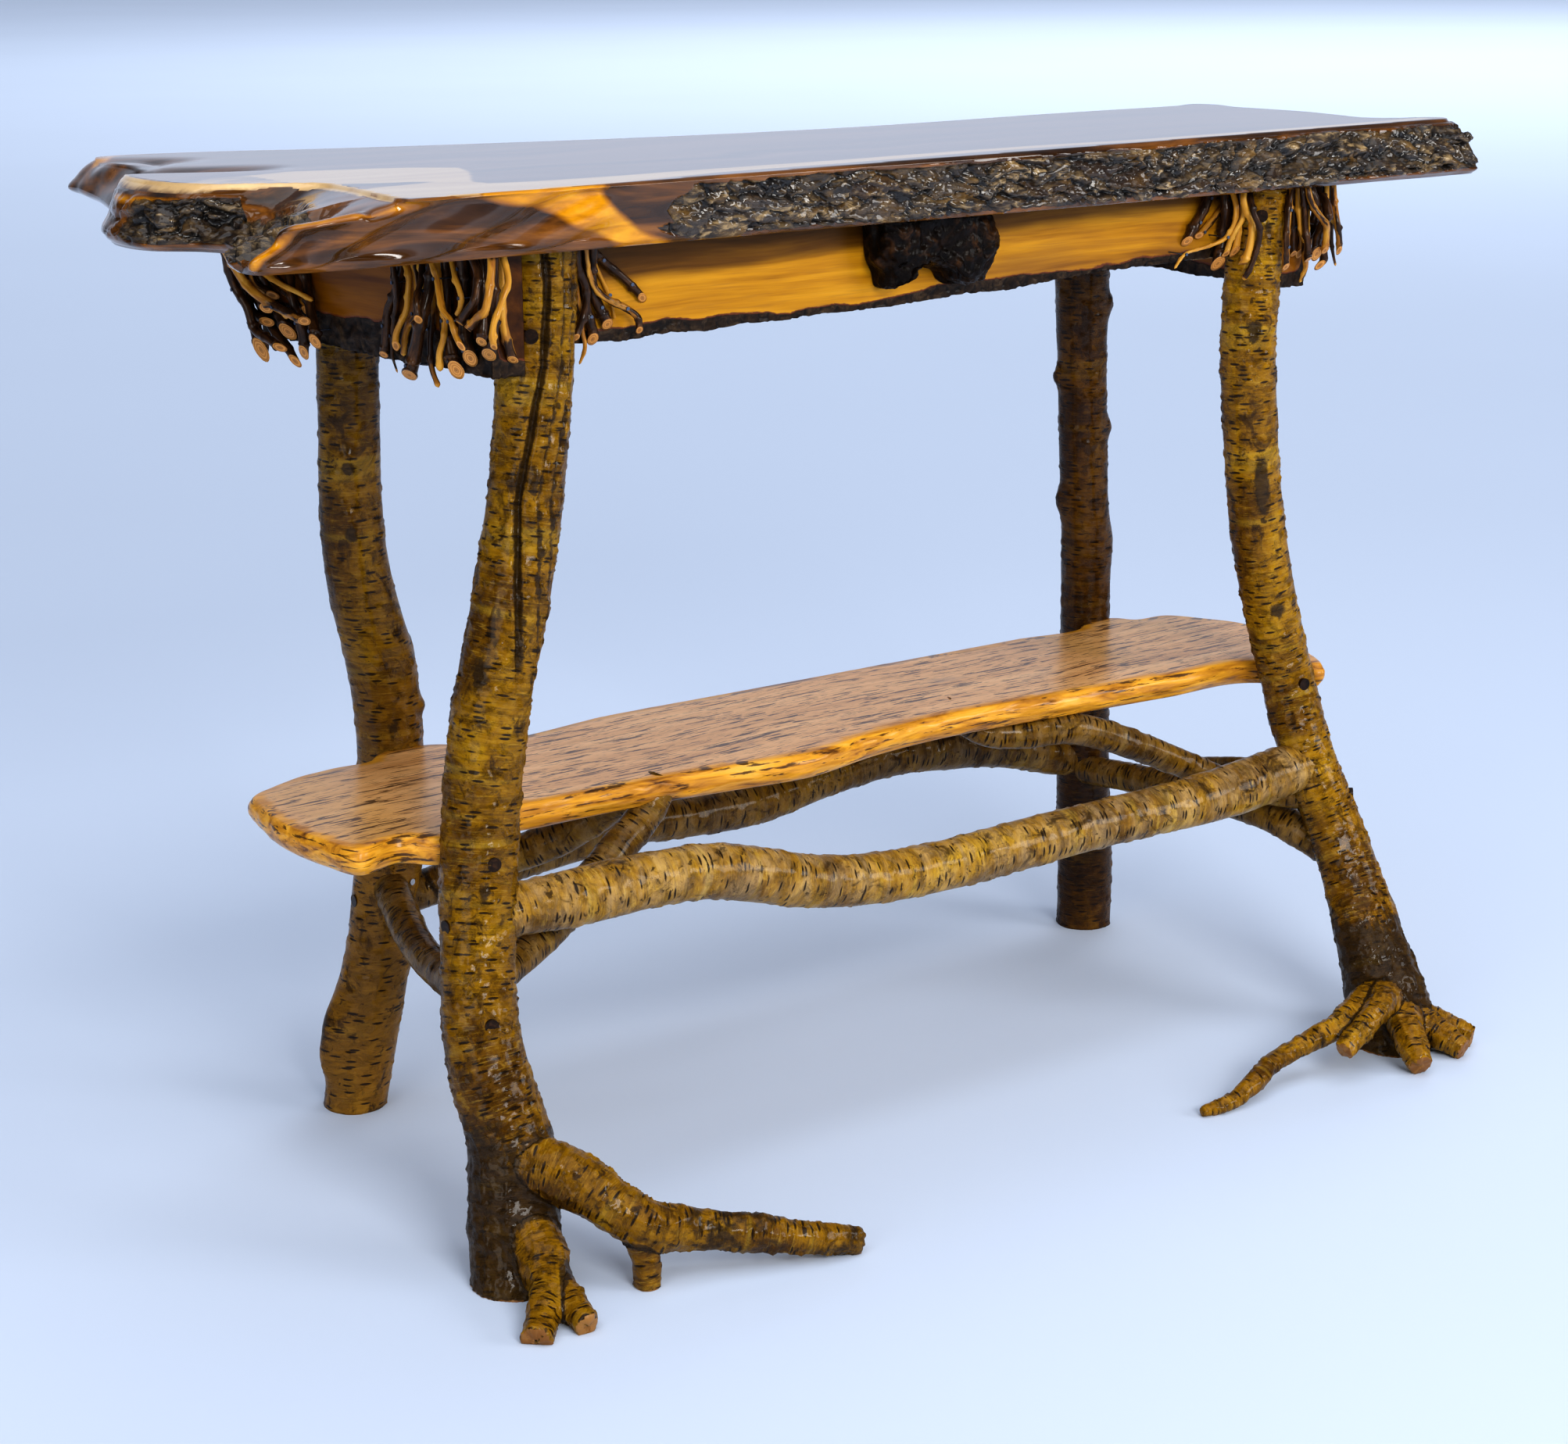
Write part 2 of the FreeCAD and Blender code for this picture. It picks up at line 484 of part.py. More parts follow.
# where the left end isn't a plain bevel: place in the list -> (x, y) at 802 and (x, y) on top
LEFT_END = {35: ((-512, -203), (-505, -199)), 36: ((-566, -197), (-504, -186)), 37: ((-577, -188), (-503, -172)),
            38: ((-558, -150), (-499, -140)), 39: ((-533, -105), (-495, -100)), 40: ((-522, -62), (-497, -66)),
            41: ((-548, -36), (-530, -42)), 42: ((-588, -4), (-562, -24)), 43: ((-600, 42), (-584, 28)),
            45: ((-562, 128), (-550, 128)), 46: ((-558, 150), (-545, 151)), 47: ((-550, 196), (-540, 193)), 48: ((-543, 238), (-530, 233)),
            49: ((-532, 262), (-514, 252)), 0: ((-512, 266), (-497, 257)),
            20: ((596, -106), (590, -103)), 21: ((615, -117), (609, -109)), 22: ((629, -137), (626, -127)), 23: ((620, -166), (616, -143)), 24: ((586, -166), (574, -147))}
# the rear lobe is widest above its underside: place in the list -> (x, y) at the underside and (x, y) 21 mm up
BELLY = {45: ((-574, 128), (-574, 127)), 46: ((-562, 148), (-569, 149)), 47: ((-546, 190), (-560, 190)), 48: ((-527, 234), (-553, 240)),
         49: ((-514, 254), (-546, 274)), 0: ((-500, 264), (-522, 271))}
slab_low = [BELLY[i][0] if i in BELLY else (630, by) if i == 23 else (bx, by) for i, (bx, by, tx, ty) in enumerate(SLAB)]
slab_up = [LEFT_END[i][1] if i in LEFT_END else (tx, ty) for i, (bx, by, tx, ty) in enumerate(SLAB)]
slab_mid = [LEFT_END[i][0] if i in LEFT_END else (bx + (tx - bx) * 0.62, by + (ty - by) * 0.62) for i, (bx, by, tx, ty) in enumerate(SLAB)]


def between(p, q, k):
    return [(a[0] + (b[0] - a[0]) * k, a[1] + (b[1] - a[1]) * k) for a, b in zip(p, q)]


su, st, sa = VAL["slab_under"], VAL["slab_top"], VAL["slab_arris"]
slab_belly = [BELLY[i][1] if i in BELLY else q for i, q in enumerate(between(slab_low, slab_mid, 0.52))]
slab_raw = slab_body("slab", [(su, inset(slab_low, 6)), (su + 6, slab_low), (su + 21, slab_belly), (st - 13, slab_mid),
                              (st - sa, between(slab_mid, slab_up, 0.8)), (st, inset(slab_up, 3.0))])

# screws that hold the slab down, up through the cleats and the back rail
SLAB_SCREWS = [(-357, -70, 722), (-357, 0, 722), (-357, 70, 722), (400, -70, 722), (402, 0, 722), (404, 70, 722)]
slab_screws, slab_tools = [], []
for i, (x, y, z) in enumerate(SLAB_SCREWS):
    hd = rod("slab_screw_head_%d" % i, (x + OX, y + OY, z), (x + OX, y + OY, z + 4), "screw_head_radius")
    sh = rod("slab_screw_shank_%d" % i, (x + OX, y + OY, z + 4), (x + OX, y + OY, 795), "screw_shank_radius")
    slab_screws.append(fuse("slab_screw_%d" % i, [hd, sh]))
    slab_tools += [hd, sh]
hanger_screws, hanger_tools, hanger_slab_tools = [], {"left": [], "right": []}, []
for side, x in (("left", -328), ("right", 374)):
    for j, y in enumerate((-70, 5, 80)):
        t = "%s_%d" % (side, j)
        hd = rod("hanger_screw_head_" + t, (x + OX, y + OY, 700), (x + OX, y + OY, 704), "screw_head_radius")
        sh = rod("hanger_screw_shank_" + t, (x + OX, y + OY, 704), (x + OX, y + OY, 790), "screw_shank_radius")
        hanger_screws.append(fuse("hanger_screw_" + t, [hd, sh]))
        hanger_tools[side] += [hd, sh]
        hanger_slab_tools.append(sh)
stop_screws, stop_slab_tools, stop_tools = [], [], {}
STOPS = {"front_left": (-190, -150, -62, -42.4, 754, 767), "front_right": (190, 230, -62, -42.4, 754, 767),
         "back_left": (-190, -150, 100.4, 105, 715, 750), "back_right": (190, 230, 100.4, 105, 715, 750)}
for k, (x0, x1, y0, y1, z0, z1) in STOPS.items():
    xm = (x0 + x1) / 2 + OX
    if k.startswith("front"):
        ym = (y0 + y1) / 2 + OY
        hd = rod("stop_screw_head_" + k, (xm, ym, z0), (xm, ym, z0 + 3), "screw_head_radius")
        sh = rod("stop_screw_shank_" + k, (xm, ym, z0 + 3), (xm, ym, 787), "screw_shank_radius")
        stop_slab_tools.append(sh)
    else:
        zm = (z0 + z1) / 2
        hd = rod("stop_screw_head_" + k, (xm, y0 + OY + 0.4, zm), (xm, y0 + OY + 3, zm), "screw_head_radius")
        sh = rod("stop_screw_shank_" + k, (xm, y0 + OY + 3, zm), (xm, 120 + OY, zm), "screw_shank_radius")
    stop_screws.append(fuse("stop_screw_" + k, [hd, sh]))
    stop_tools[k] = [hd, sh]
node(cut("cut_slab", slab_raw, slab_tools + hanger_slab_tools + stop_slab_tools), "tabletop_slab")


# ---------------------------------------------------------------- rail box under the slab
def board(tag, pts, z0, z1):
    """A board cut to a plan outline: sketch and pad."""
    body = doc.addObject("PartDesign::Body", "body_" + tag)
    sk = polygon_sketch(body, tag, "XY_Plane", z0, [(x + OX, y + OY) for x, y in pts], cell(tag + "_under", z0))
    pad = body.newObject("PartDesign::Pad", "pad_" + tag)
    pad.Profile = sk
    pad.Length = z1 - z0
    pad.setExpression("Length", cell(tag + "_height", z1 - z0))
    return body


def left_x(base, y):
    return base - 0.1012 * y


def right_x(base, y):
    return base + 0.0532 * (y + 132)


END_LEFT = [(left_x(-391.4, -150), -150), (left_x(-391.4, 165), 165), (left_x(-420.6, 165), 165), (left_x(-420.6, -150), -150)]
END_RIGHT = [(right_x(416.6, -132), -132), (right_x(448, -132), -132), (right_x(448, 150), 150), (right_x(416.6, 150), 150)]
end_left = board("end_rail_left", END_LEFT, 673, 767)
end_right = board("end_rail_right", END_RIGHT, 673, 767)

# screws through the end rails into the legs
rail_screws, rail_tools, rail_leg_tools = [], {"left": [], "right": [], "back": []}, {k: [] for k in LEGS}
RAIL_SCREWS = [("left", "front_left", (-409.5, -125, 690), (-345, -125, 690)), ("left", "front_left", (-409.5, -118, 752), (-345, -118, 752)),
               ("left", "back_left", (-434.6, 124, 690), (-374, 124, 690)), ("left", "back_left", (-434.6, 127, 750), (-374, 127, 750)),
               ("right", "front_right", (448.8, -124, 692), (388, -124, 692)), ("right", "front_right", (448.8, -122, 750), (388, -122, 750)),
               ("right", "back_right", (462.0, 122, 692), (400, 122, 692)), ("right", "back_right", (462.0, 120, 750), (400, 120, 750))]
for i, (side, leg, a, b) in enumerate(RAIL_SCREWS):
    A, B = Vector(*W(a)), Vector(*W(b))
    D = (B - A).normalize()
    A = A + D * 1.5
    hd = rod("rail_screw_head_%d" % i, tuple(A), tuple(A + D * 3.5), "screw_head_radius")
    sh = rod("rail_screw_shank_%d" % i, tuple(A + D * 3.5), tuple(B), "screw_shank_radius")
    entry = rod("rail_screw_entry_%d" % i, tuple(A - D * 4), tuple(A), "screw_head_radius")
    rail_screws.append(fuse("rail_screw_%d" % i, [hd, sh]))
    rail_tools[side] += [hd, sh, entry]
    rail_leg_tools[leg].append(sh)
# toe screws through the back rail into the back legs
for i, (leg, a, b) in enumerate([("back_left", (-338, 104.5, 730), (-372, 128, 730)), ("back_right", (362, 104.5, 730), (396, 124, 730))]):
    A, B = Vector(*W(a)), Vector(*W(b))
    D = (B - A).normalize()
    hd = rod("back_screw_head_%d" % i, tuple(A + D * 3), tuple(A + D * 6.5), "screw_head_radius")
    sh = rod("back_screw_shank_%d" % i, tuple(A + D * 6.5), tuple(B), "screw_shank_radius")
    entry = rod("back_screw_entry_%d" % i, tuple(A - D * 6), tuple(A + D * 3), "screw_head_radius")
    rail_screws.append(fuse("back_screw_%d" % i, [hd, sh]))
    rail_tools["back"] += [hd, sh, entry]
    rail_leg_tools[leg].append(sh)
node(cut("cut_end_left", end_left, [leg_wood["front_left"], leg_wood["back_left"]] + rail_tools["left"]), "end_rail_left")
node(cut("cut_end_right", end_right, [leg_wood["front_right"], leg_wood["back_right"]] + rail_tools["right"]), "end_rail_right")
back_rail = box("back_rail_board", -362 + OX, 386 + OX, 105 + OY, 125 + OY, 695, 767)
node(cut("cut_back_rail", back_rail, [leg_wood["back_left"], leg_wood["back_right"]] + rail_tools["back"]
         + stop_tools["back_left"] + stop_tools["back_right"]), "back_rail")
cleat_l = box("cleat_left_board", -380 + OX, -334 + OX, -118 + OY, 116 + OY, 722, 767)
cleat_r = box("cleat_right_board", 380 + OX, 417 + OX, -118 + OY, 116 + OY, 722, 767)
node(cut("cut_cleat_left", cleat_l, [leg_wood["front_left"], leg_wood["back_left"], doc.getObject("body_end_rail_left"), back_rail]
         + slab_tools[:6] + [shank_of["fl_top"]] + rail_leg_tools["front_left"] + rail_leg_tools["back_left"] + rail_tools["back"]), "top_cleat_left")
node(cut("cut_cleat_right", cleat_r, [leg_wood["front_right"], leg_wood["back_right"], doc.getObject("body_end_rail_right"), back_rail]
         + slab_tools[6:] + [shank_of["fr_top"]] + rail_leg_tools["front_right"] + rail_leg_tools["back_right"] + rail_tools["back"]), "top_cleat_right")

# L-shaped runners that carry the drawer
HANG_Y = (-87, 99)
for side, wx0, wx1, lx0, lx1 in (("left", -334, -322, -322, -306), ("right", 368, 380, 351, 368)):
    body = doc.addObject("PartDesign::Body", "body_hanger_" + side)
    if side == "left":
        prof = [(wx0, 700), (lx1, 700), (lx1, 708), (wx1, 708), (wx1, 767), (wx0, 767)]
    else:
        prof = [(lx0, 700), (wx1, 700), (wx1, 767), (wx0, 767), (wx0, 708), (lx0, 708)]
    sk = polygon_sketch(body, "hanger_" + side, "XZ_Plane", -(HANG_Y[1] + OY), [(x + OX, z) for x, z in prof])
    pad = body.newObject("PartDesign::Pad", "pad_hanger_" + side)
    pad.Profile = sk
    pad.Length = HANG_Y[1] - HANG_Y[0]
    pad.setExpression("Length", cell("hanger_%s_len" % side, HANG_Y[1] - HANG_Y[0]))
    node(cut("cut_hanger_" + side, body, hanger_tools[side]), "drawer_hanger_" + side)

stop_boxes = []
for k, (x0, x1, y0, y1, z0, z1) in STOPS.items():
    b = box("stop_" + k, x0 + OX, x1 + OX, y0 + OY, y1 + OY, z0, z1)
    stop_boxes.append(cut("cut_stop_" + k, b, stop_tools[k]))
node(compound("stop_blocks_group", stop_boxes), "drawer_stop_blocks")

# ---------------------------------------------------------------- drawer
DF = [(-318.6, 765), (-318.6, 687.5), (-300, 686.6), (-262, 685), (-225, 687.5), (-190, 686), (-150, 688.5), (-111, 688),
      (-70, 690.5), (-30, 689.5), (26, 691.5), (70, 694), (120, 694), (168, 697.5), (215, 700.5), (260, 702), (310, 702.5),
      (362.6, 704), (362.6, 765)]
front_body = doc.addObject("PartDesign::Body", "body_drawer_front")
sk = polygon_sketch(front_body, "drawer_front", "XZ_Plane", 90 - OY, [(x + OX, z) for x, z in DF])
pad = front_body.newObject("PartDesign::Pad", "pad_drawer_front")
pad.Profile = sk
pad.Length = VAL["drawer_front_thick"]
pad.setExpression("Length", "dims.drawer_front_thick")
sides = {}
for side, x0 in (("left", -317.5), ("right", 350.5)):
    sides[side] = box("drawer_side_board_" + side, x0 + OX, x0 + 11 + OX, -90 + OY, 100 + OY, 708.3, 757)
dback = box("drawer_back_board", -306.5 + OX, 350.5 + OX, 88 + OY, 100 + OY, 716, 763)
dbottom = box("drawer_bottom_board", -311.5 + OX, 355.5 + OX, -95 + OY, 94 + OY, 716, 722)
pull_screws, pull_tools = [], []
for i, (x, z) in enumerate([(-27, 738), (65, 738)]):
    hd = rod("pull_screw_head_%d" % i, (x + OX, -93 + OY, z), (x + OX, -90 + OY, z), "screw_head_radius")
    sh = rod("pull_screw_shank_%d" % i, (x + OX, -130 + OY, z), (x + OX, -93 + OY, z), "screw_shank_radius")
    pull_screws.append(fuse("pull_screw_%d" % i, [hd, sh]))
    pull_tools += [hd, sh]
# brads through the drawer's corners
brads, brad_tools = [], {"left": [], "right": [], "front": [], "back": []}
for side, x, xi, sgn in (("left", -317.5, -306.5, 1), ("right", 361.5, 350.5, -1)):
    for j, z in enumerate((726, 748)):
        t = "%s_back_%d" % (side, j)
        a = rod("brad_" + t, (x + OX, 94 + OY, z), (x + sgn * 30 + OX, 94 + OY, z), "nail_radius")
        brads.append(a)
        brad_tools[side].append(a)
        brad_tools["back"].append(a)
        t = "%s_front_%d" % (side, j)
        xc = (x + xi) / 2
        a = rod("brad_" + t, (xc + OX, -108 + OY, z), (xc + OX, -66 + OY, z), "nail_radius")
        brads.append(a)
        brad_tools[side].append(a)
        brad_tools["front"].append(a)
groove = box("front_groove", -311.5 + OX, 355.5 + OX, -95 + OY, -90 + OY, 716, 722)
node(cut("cut_drawer_front", front_body, pull_tools + [groove] + brad_tools["front"]), "drawer_front")
node(cut("cut_side_left", sides["left"], [dbottom] + brad_tools["left"]), "drawer_side_left")
node(cut("cut_side_right", sides["right"], [dbottom] + brad_tools["right"]), "drawer_side_right")
node(cut("cut_drawer_back", dback, [dbottom] + brad_tools["back"]), "drawer_back")
node(dbottom, "drawer_bottom")

# burl pull: lofted lobes with an arch for the fingers
BURL = [(-40, 764), (-38, 749), (-36, 731), (-30, 720), (-26, 708), (-18, 706), (-14, 714), (-9, 720), (-4, 727), (4, 731),
        (12, 729), (19, 724), (26, 720), (35, 717), (41, 709), (50, 704.5), (67, 705.5), (78, 712), (83, 731), (86, 739), (84, 752), (80, 763)]


def burl_level(k, sx, sz, dx=0.0, dz=0.0):
    cx, cz = 22, 738
    return [(cx + (x - cx) * sx + dx, cz + (z - cz) * sz + dz) for x, z in BURL]


burl_body = doc.addObject("PartDesign::Body", "body_burl")
burl_sk = []
for i, (y, sx, sz, dz) in enumerate([(-110, 0.93, 0.97, 0), (-117, 1.0, 1.0, 0), (-130, 1.0, 0.98, 0), (-141, 0.93, 0.87, -1), (-147, 0.76, 0.66, -1)]):
    burl_sk.append(polygon_sketch(burl_body, "burl_%d" % i, "XZ_Plane", -(y + OY), [(x + OX, z) for x, z in burl_level(0, sx, sz, 0, dz)]))
loft = burl_body.newObject("PartDesign::AdditiveLoft", "loft_burl")
loft.Profile = burl_sk[0]
loft.Sections = [(s, [""]) for s in burl_sk[1:]]
loft.Ruled = True
node(cut("cut_burl", burl_body, pull_tools), "drawer_pull_burl")
node(compound("pull_screw_group", pull_screws), "pull_screws")
node(compound("brad_group", brads), "drawer_brads")

# ---------------------------------------------------------------- decorative small branches
TWIGS = {
    'left_end_front': [
        ('L1', 'd', 'c', [(-419.8, -48.1, 765.5, 3.5), (-420.1, -45.5, 751.7, 3.5), (-420.5, -41.3, 738.4, 3.5), (-421.2, -35.1, 725.8, 3.5), (-422.1, -26.1, 714.7, 3.5), (-422.5, -23, 701.5, 3.6), (-422.8, -20.2, 687.7, 3.6), (-423.2, -15.5, 674.5, 3.6)]),
        ('L3', 'd', 'p', [(-424.5, -43.6, 765.5, 2.4), (-427.9, -46.8, 751.1, 2.4), (-426.8, -47.1, 736.9, 2.4), (-422.8, -41, 722.7, 2.4), (-420.7, -32.7, 708.2, 2.3), (-420.4, -27.1, 694.1, 1.8), (-419.9, -24.6, 679.5, 1.3), (-418.7, -29.6, 665.9, 0.7)]),
        ('L2', 'y', 's', [(-422.9, -53.6, 765.5, 2.3), (-422.9, -56, 753.6, 2.3), (-423.2, -62.4, 742.8, 2.4), (-424.5, -63, 730.7, 2.4), (-426.3, -62.1, 718.1, 2.5), (-427.2, -54.2, 707.9, 2.5), (-427.8, -46.8, 697.4, 2.6), (-428, -45.2, 684.6, 2.6)]),
        ('L4', 'm', 'p', [(-418, -59.6, 765.5, 2.9), (-417.9, -61, 752.5, 2.9), (-417.5, -63.7, 739.6, 2.8), (-417.5, -63.2, 726.1, 2.8), (-417.8, -60.5, 714.3, 2.8), (-418.7, -50.2, 704.9, 2.7), (-419.3, -44.8, 693.5, 2.7), (-419.6, -41.9, 680.2, 2.7)]),
        ('L5', 'y', 's', [(-418.3, -66.3, 765.5, 1.6), (-418.6, -68.1, 758.5, 1.6), (-419, -70.8, 751.9, 1.6), (-419.6, -74.4, 745.7, 1.5), (-420.2, -78.1, 739.4, 1.4), (-420.9, -81.2, 733, 1.3), (-421.6, -83.9, 726.3, 1.2), (-422.4, -86.4, 719.6, 1.2)]),
        ('L6', 'd', 'c', [(-416.3, -71.6, 765.5, 2.3), (-417.7, -73.7, 756.9, 2.3), (-420.4, -77.7, 748.9, 2.3), (-424.1, -82.3, 741.5, 2.3), (-429.3, -87.1, 734.7, 2.4), (-434.4, -92.8, 727.9, 2.5), (-434.5, -94, 719.8, 2.7), (-433.8, -94.2, 711.7, 2.9)]),
        ('L7', 'd', 'c', [(-417.7, -91.1, 765.5, 4), (-419.2, -90.6, 750.4, 4), (-422.6, -90.6, 735.2, 4.2), (-427.4, -90.6, 720.4, 4.5), (-428.7, -85, 705.8, 4.8), (-427.7, -77.5, 691.7, 5), (-428.1, -70.8, 677.7, 5.3), (-429, -64.3, 663.9, 5.6)]),
        ('L8', 'm', 'p', [(-415.9, -83.6, 765.5, 3.2), (-415.8, -83.6, 750.3, 3.1), (-415.7, -83.8, 735.1, 3), (-415.6, -82.3, 720, 2.8), (-415.8, -79.4, 705, 2.7), (-415.8, -77.2, 690, 2.5), (-415.5, -78.3, 674.8, 2.3), (-414.3, -85.4, 661.5, 2)]),
        ('L9', 'y', 's', [(-426, -101.7, 765.5, 2.4), (-427.3, -106.3, 756.1, 2.4), (-426.1, -110.1, 745.8, 2.4), (-427.3, -115.1, 734.9, 2.4), (-429, -122, 724.8, 2.4), (-428, -132.5, 717.4, 2.3), (-427.3, -138, 706.6, 2.3), (-426.5, -146.2, 697.6, 2.3)]),
        ('L10', 'y', 'p', [(-420.8, -102.9, 765.5, 2.3), (-421.6, -104.3, 754.2, 2.3), (-421.3, -105.7, 740.9, 2.3), (-421.2, -107.7, 727.6, 2.3), (-420.6, -109.8, 714.7, 2.4), (-422.3, -110.5, 702.6, 2.5), (-424, -106.4, 690.1, 2.7), (-422.8, -104.2, 676.7, 2.9)]),
        ('L11', 'd', 'c', [(-414.6, -102, 765.5, 3.7), (-414.6, -103.1, 751.8, 3.8), (-414.8, -104.8, 738.1, 4.1), (-415.3, -103.2, 724.5, 4.4), (-415.7, -102.3, 711.1, 4.7), (-415.6, -106.7, 697.8, 5), (-415.3, -111.5, 684.9, 5.2), (-415, -117.2, 672.4, 5.5)]),
        ('L12', 'y', 'p', [(-415.2, -110.4, 765.5, 2.3), (-415.9, -115, 759.1, 2.3), (-417.6, -120.4, 752.8, 2.2), (-419.1, -125.5, 746.5, 2.2), (-419, -130.1, 740, 2.1), (-418.8, -132.6, 733.4, 2.1), (-419.1, -130.7, 726.7, 2), (-419.3, -124.9, 719.9, 2)]),
        ('L13', 'd', 'c', [(-417.3, -145.6, 765.5, 3.1), (-418.7, -154.6, 759.8, 3.1), (-419.9, -159.9, 752.6, 3.1), (-423, -163.1, 744, 3.1), (-425.7, -164, 735.2, 3.1), (-426.4, -156.3, 728.5, 3.1), (-427.1, -148.6, 721.6, 3.1), (-427.8, -141.6, 714.6, 3.1)]),
        ('L19', 'd', 'c', [(-412.6, -124.9, 765.5, 4), (-412.6, -124.9, 753.5, 4), (-412.6, -125.1, 741.6, 4), (-412.6, -125.2, 729.6, 4), (-412.7, -125.4, 717.6, 4.1), (-413.1, -126, 705.8, 4.5), (-412.9, -130.5, 694.6, 4.8), (-412.9, -134.3, 683.3, 5.1)]),
        ('L14', 'm', 'c', [(-414.5, -170.8, 765.5, 3.1), (-417.2, -174.7, 756.6, 3.1), (-420, -177.1, 747.3, 3.2), (-423.1, -178.5, 737.3, 3.2), (-424.7, -176.8, 729.5, 3.2), (-425.4, -167.4, 723.4, 3.3), (-426.2, -159.4, 717.3, 3.3), (-427.1, -151.3, 711.4, 3.4)]),
        ('L18', 'd', 'c', [(-410.8, -149.7, 765.5, 3.4), (-411.3, -150.7, 755.9, 3.4), (-412, -152.3, 746.4, 3.4), (-413.7, -155.1, 737.3, 3.4), (-416, -158.8, 728.3, 3.5), (-417.6, -161.1, 719, 3.6), (-419.1, -162, 709.7, 3.8), (-419.5, -159.8, 700.4, 4)]),
        ('L20', 'd', 'c', [(-407.4, -162.3, 765.5, 3.7), (-407.6, -162.1, 754.3, 3.7), (-407.9, -161.7, 743.1, 3.7), (-408.3, -161.2, 731.9, 3.7), (-408.8, -160.6, 720.7, 4), (-409.4, -159.7, 709.6, 4.7), (-410.2, -157.6, 698.7, 5.2), (-411.5, -154.1, 687.9, 5.7)]),
        ('L15', 'y', 'c', [(-400, -162.1, 765.5, 2.7), (-399.6, -166.1, 755.9, 2.6), (-401.1, -170.2, 746.9, 2.6), (-406.2, -172.4, 738.1, 2.6), (-410.7, -172.4, 728.9, 2.6), (-415.1, -172.4, 719.4, 2.6), (-416.5, -172.4, 709.5, 2.6), (-415.4, -172.3, 699.2, 2.5)]),
        ('L16', 'm', 'c', [(-397.6, -153.6, 765.5, 3.1), (-397.4, -153.6, 753.6, 3.1), (-397.2, -153.6, 741.9, 3.1), (-396.8, -153.8, 730.3, 3.3), (-397.1, -153.9, 718.8, 3.4), (-395.2, -154, 707.2, 3.5), (-392, -154.1, 695.6, 3.6), (-388.5, -154.2, 684.1, 3.7)]),
    ],
    'drawer_left': [
        ('R3', 'y', 'p', [(-305, -112.3, 765.5, 1.5), (-304.5, -112.3, 761.9, 1.5), (-303.7, -112.3, 758.4, 1.5), (-302.7, -112.2, 754.9, 1.4), (-301.4, -112.2, 751.5, 1.4), (-300, -112.1, 748.2, 1.3), (-298.5, -112, 744.8, 1.2), (-297, -112, 741.6, 1.2)]),
        ('R1', 'd', 'c', [(-316.1, -127.8, 765.5, 3.2), (-316.5, -127.6, 755.4, 3.2), (-313.3, -125.3, 744.3, 3.1), (-307.7, -123.9, 733.7, 3), (-305.9, -122.9, 722.4, 2.9), (-308.4, -122.6, 711.7, 2.8), (-312.7, -122.5, 701.4, 2.7), (-317.3, -122.4, 691.7, 2.6)]),
        ('R4', 'y', 'p', [(-302.6, -116, 765.5, 2.4), (-299, -114.7, 756.5, 2.3), (-293.1, -113.2, 748.5, 2.1), (-288.3, -112.7, 739.9, 1.9), (-283.7, -112.5, 731.2, 1.7), (-279.5, -112.3, 722.5, 1.5), (-276.6, -112.1, 713.2, 1.3), (-274.7, -112, 703.5, 1.2)]),
        ('R5', 'd', 's', [(-302.7, -122.1, 765.5, 2.9), (-296.6, -120.2, 757.2, 2.9), (-287.4, -115.7, 749.8, 3), (-278.1, -114.1, 743.3, 3.1), (-269.6, -113.9, 736.5, 3.1), (-261.5, -114, 729.5, 3.2), (-253.9, -114, 721.9, 3.2), (-246.7, -114.1, 713.8, 3.3)]),
        ('R6', 'm', 'c', [(-310.9, -130.6, 765.5, 2.6), (-309, -128.6, 753.1, 2.6), (-303.2, -123.7, 739.1, 2.7), (-295.6, -123.1, 727.1, 2.7), (-283.9, -122.8, 719.1, 2.8), (-271.4, -122.7, 712.8, 2.9), (-260.9, -122.7, 705.1, 2.9), (-258.8, -122.8, 691.5, 3)]),
        ('R7', 'd', 'c', [(-303.6, -129.8, 765.3, 3.8), (-302, -126.3, 755, 3.8), (-298.9, -119.1, 744.8, 3.8), (-296.9, -116.2, 734.3, 3.9), (-295, -115.2, 723.7, 4.1), (-290.4, -115.2, 714.5, 4.3), (-285.3, -115.4, 705.2, 4.6), (-281.2, -115.6, 695.5, 4.8)]),
        ('R8', 'd', 'c', [(-309.8, -121.1, 765.5, 3.5), (-308.5, -120.2, 754.7, 3.5), (-306.7, -118, 742.8, 3.5), (-304.9, -116.9, 731.2, 3.5), (-302.4, -115.7, 719.6, 3.6), (-299.8, -115, 708.1, 3.9), (-296.9, -115, 696.8, 4.2), (-296.3, -115.3, 685.3, 4.5)]),
        ('R9', 'm', 'p', [(-316, -121.9, 765.5, 2.1), (-316, -121.2, 753, 2.1), (-312.4, -118.4, 739.1, 2.1), (-310.1, -117, 725.3, 2.1), (-307.2, -115.2, 711.5, 2.1), (-304.8, -113.6, 697.7, 1.8), (-302.4, -113.1, 684.4, 1.5), (-307.4, -112.4, 671.9, 1.2)]),
    ],
    'drawer_right': [
        ('F1', 'd', 'c', [(343.3, -115.3, 765.5, 4.5), (340.6, -115.2, 757.8, 4.4), (337.3, -115.2, 750.6, 4.4), (333.3, -115.1, 743.8, 4.3), (328.2, -115.1, 737.5, 4.3), (323.5, -115, 731, 4.2), (319.1, -114.9, 724.3, 4.1), (315, -114.9, 717.4, 4.1)]),
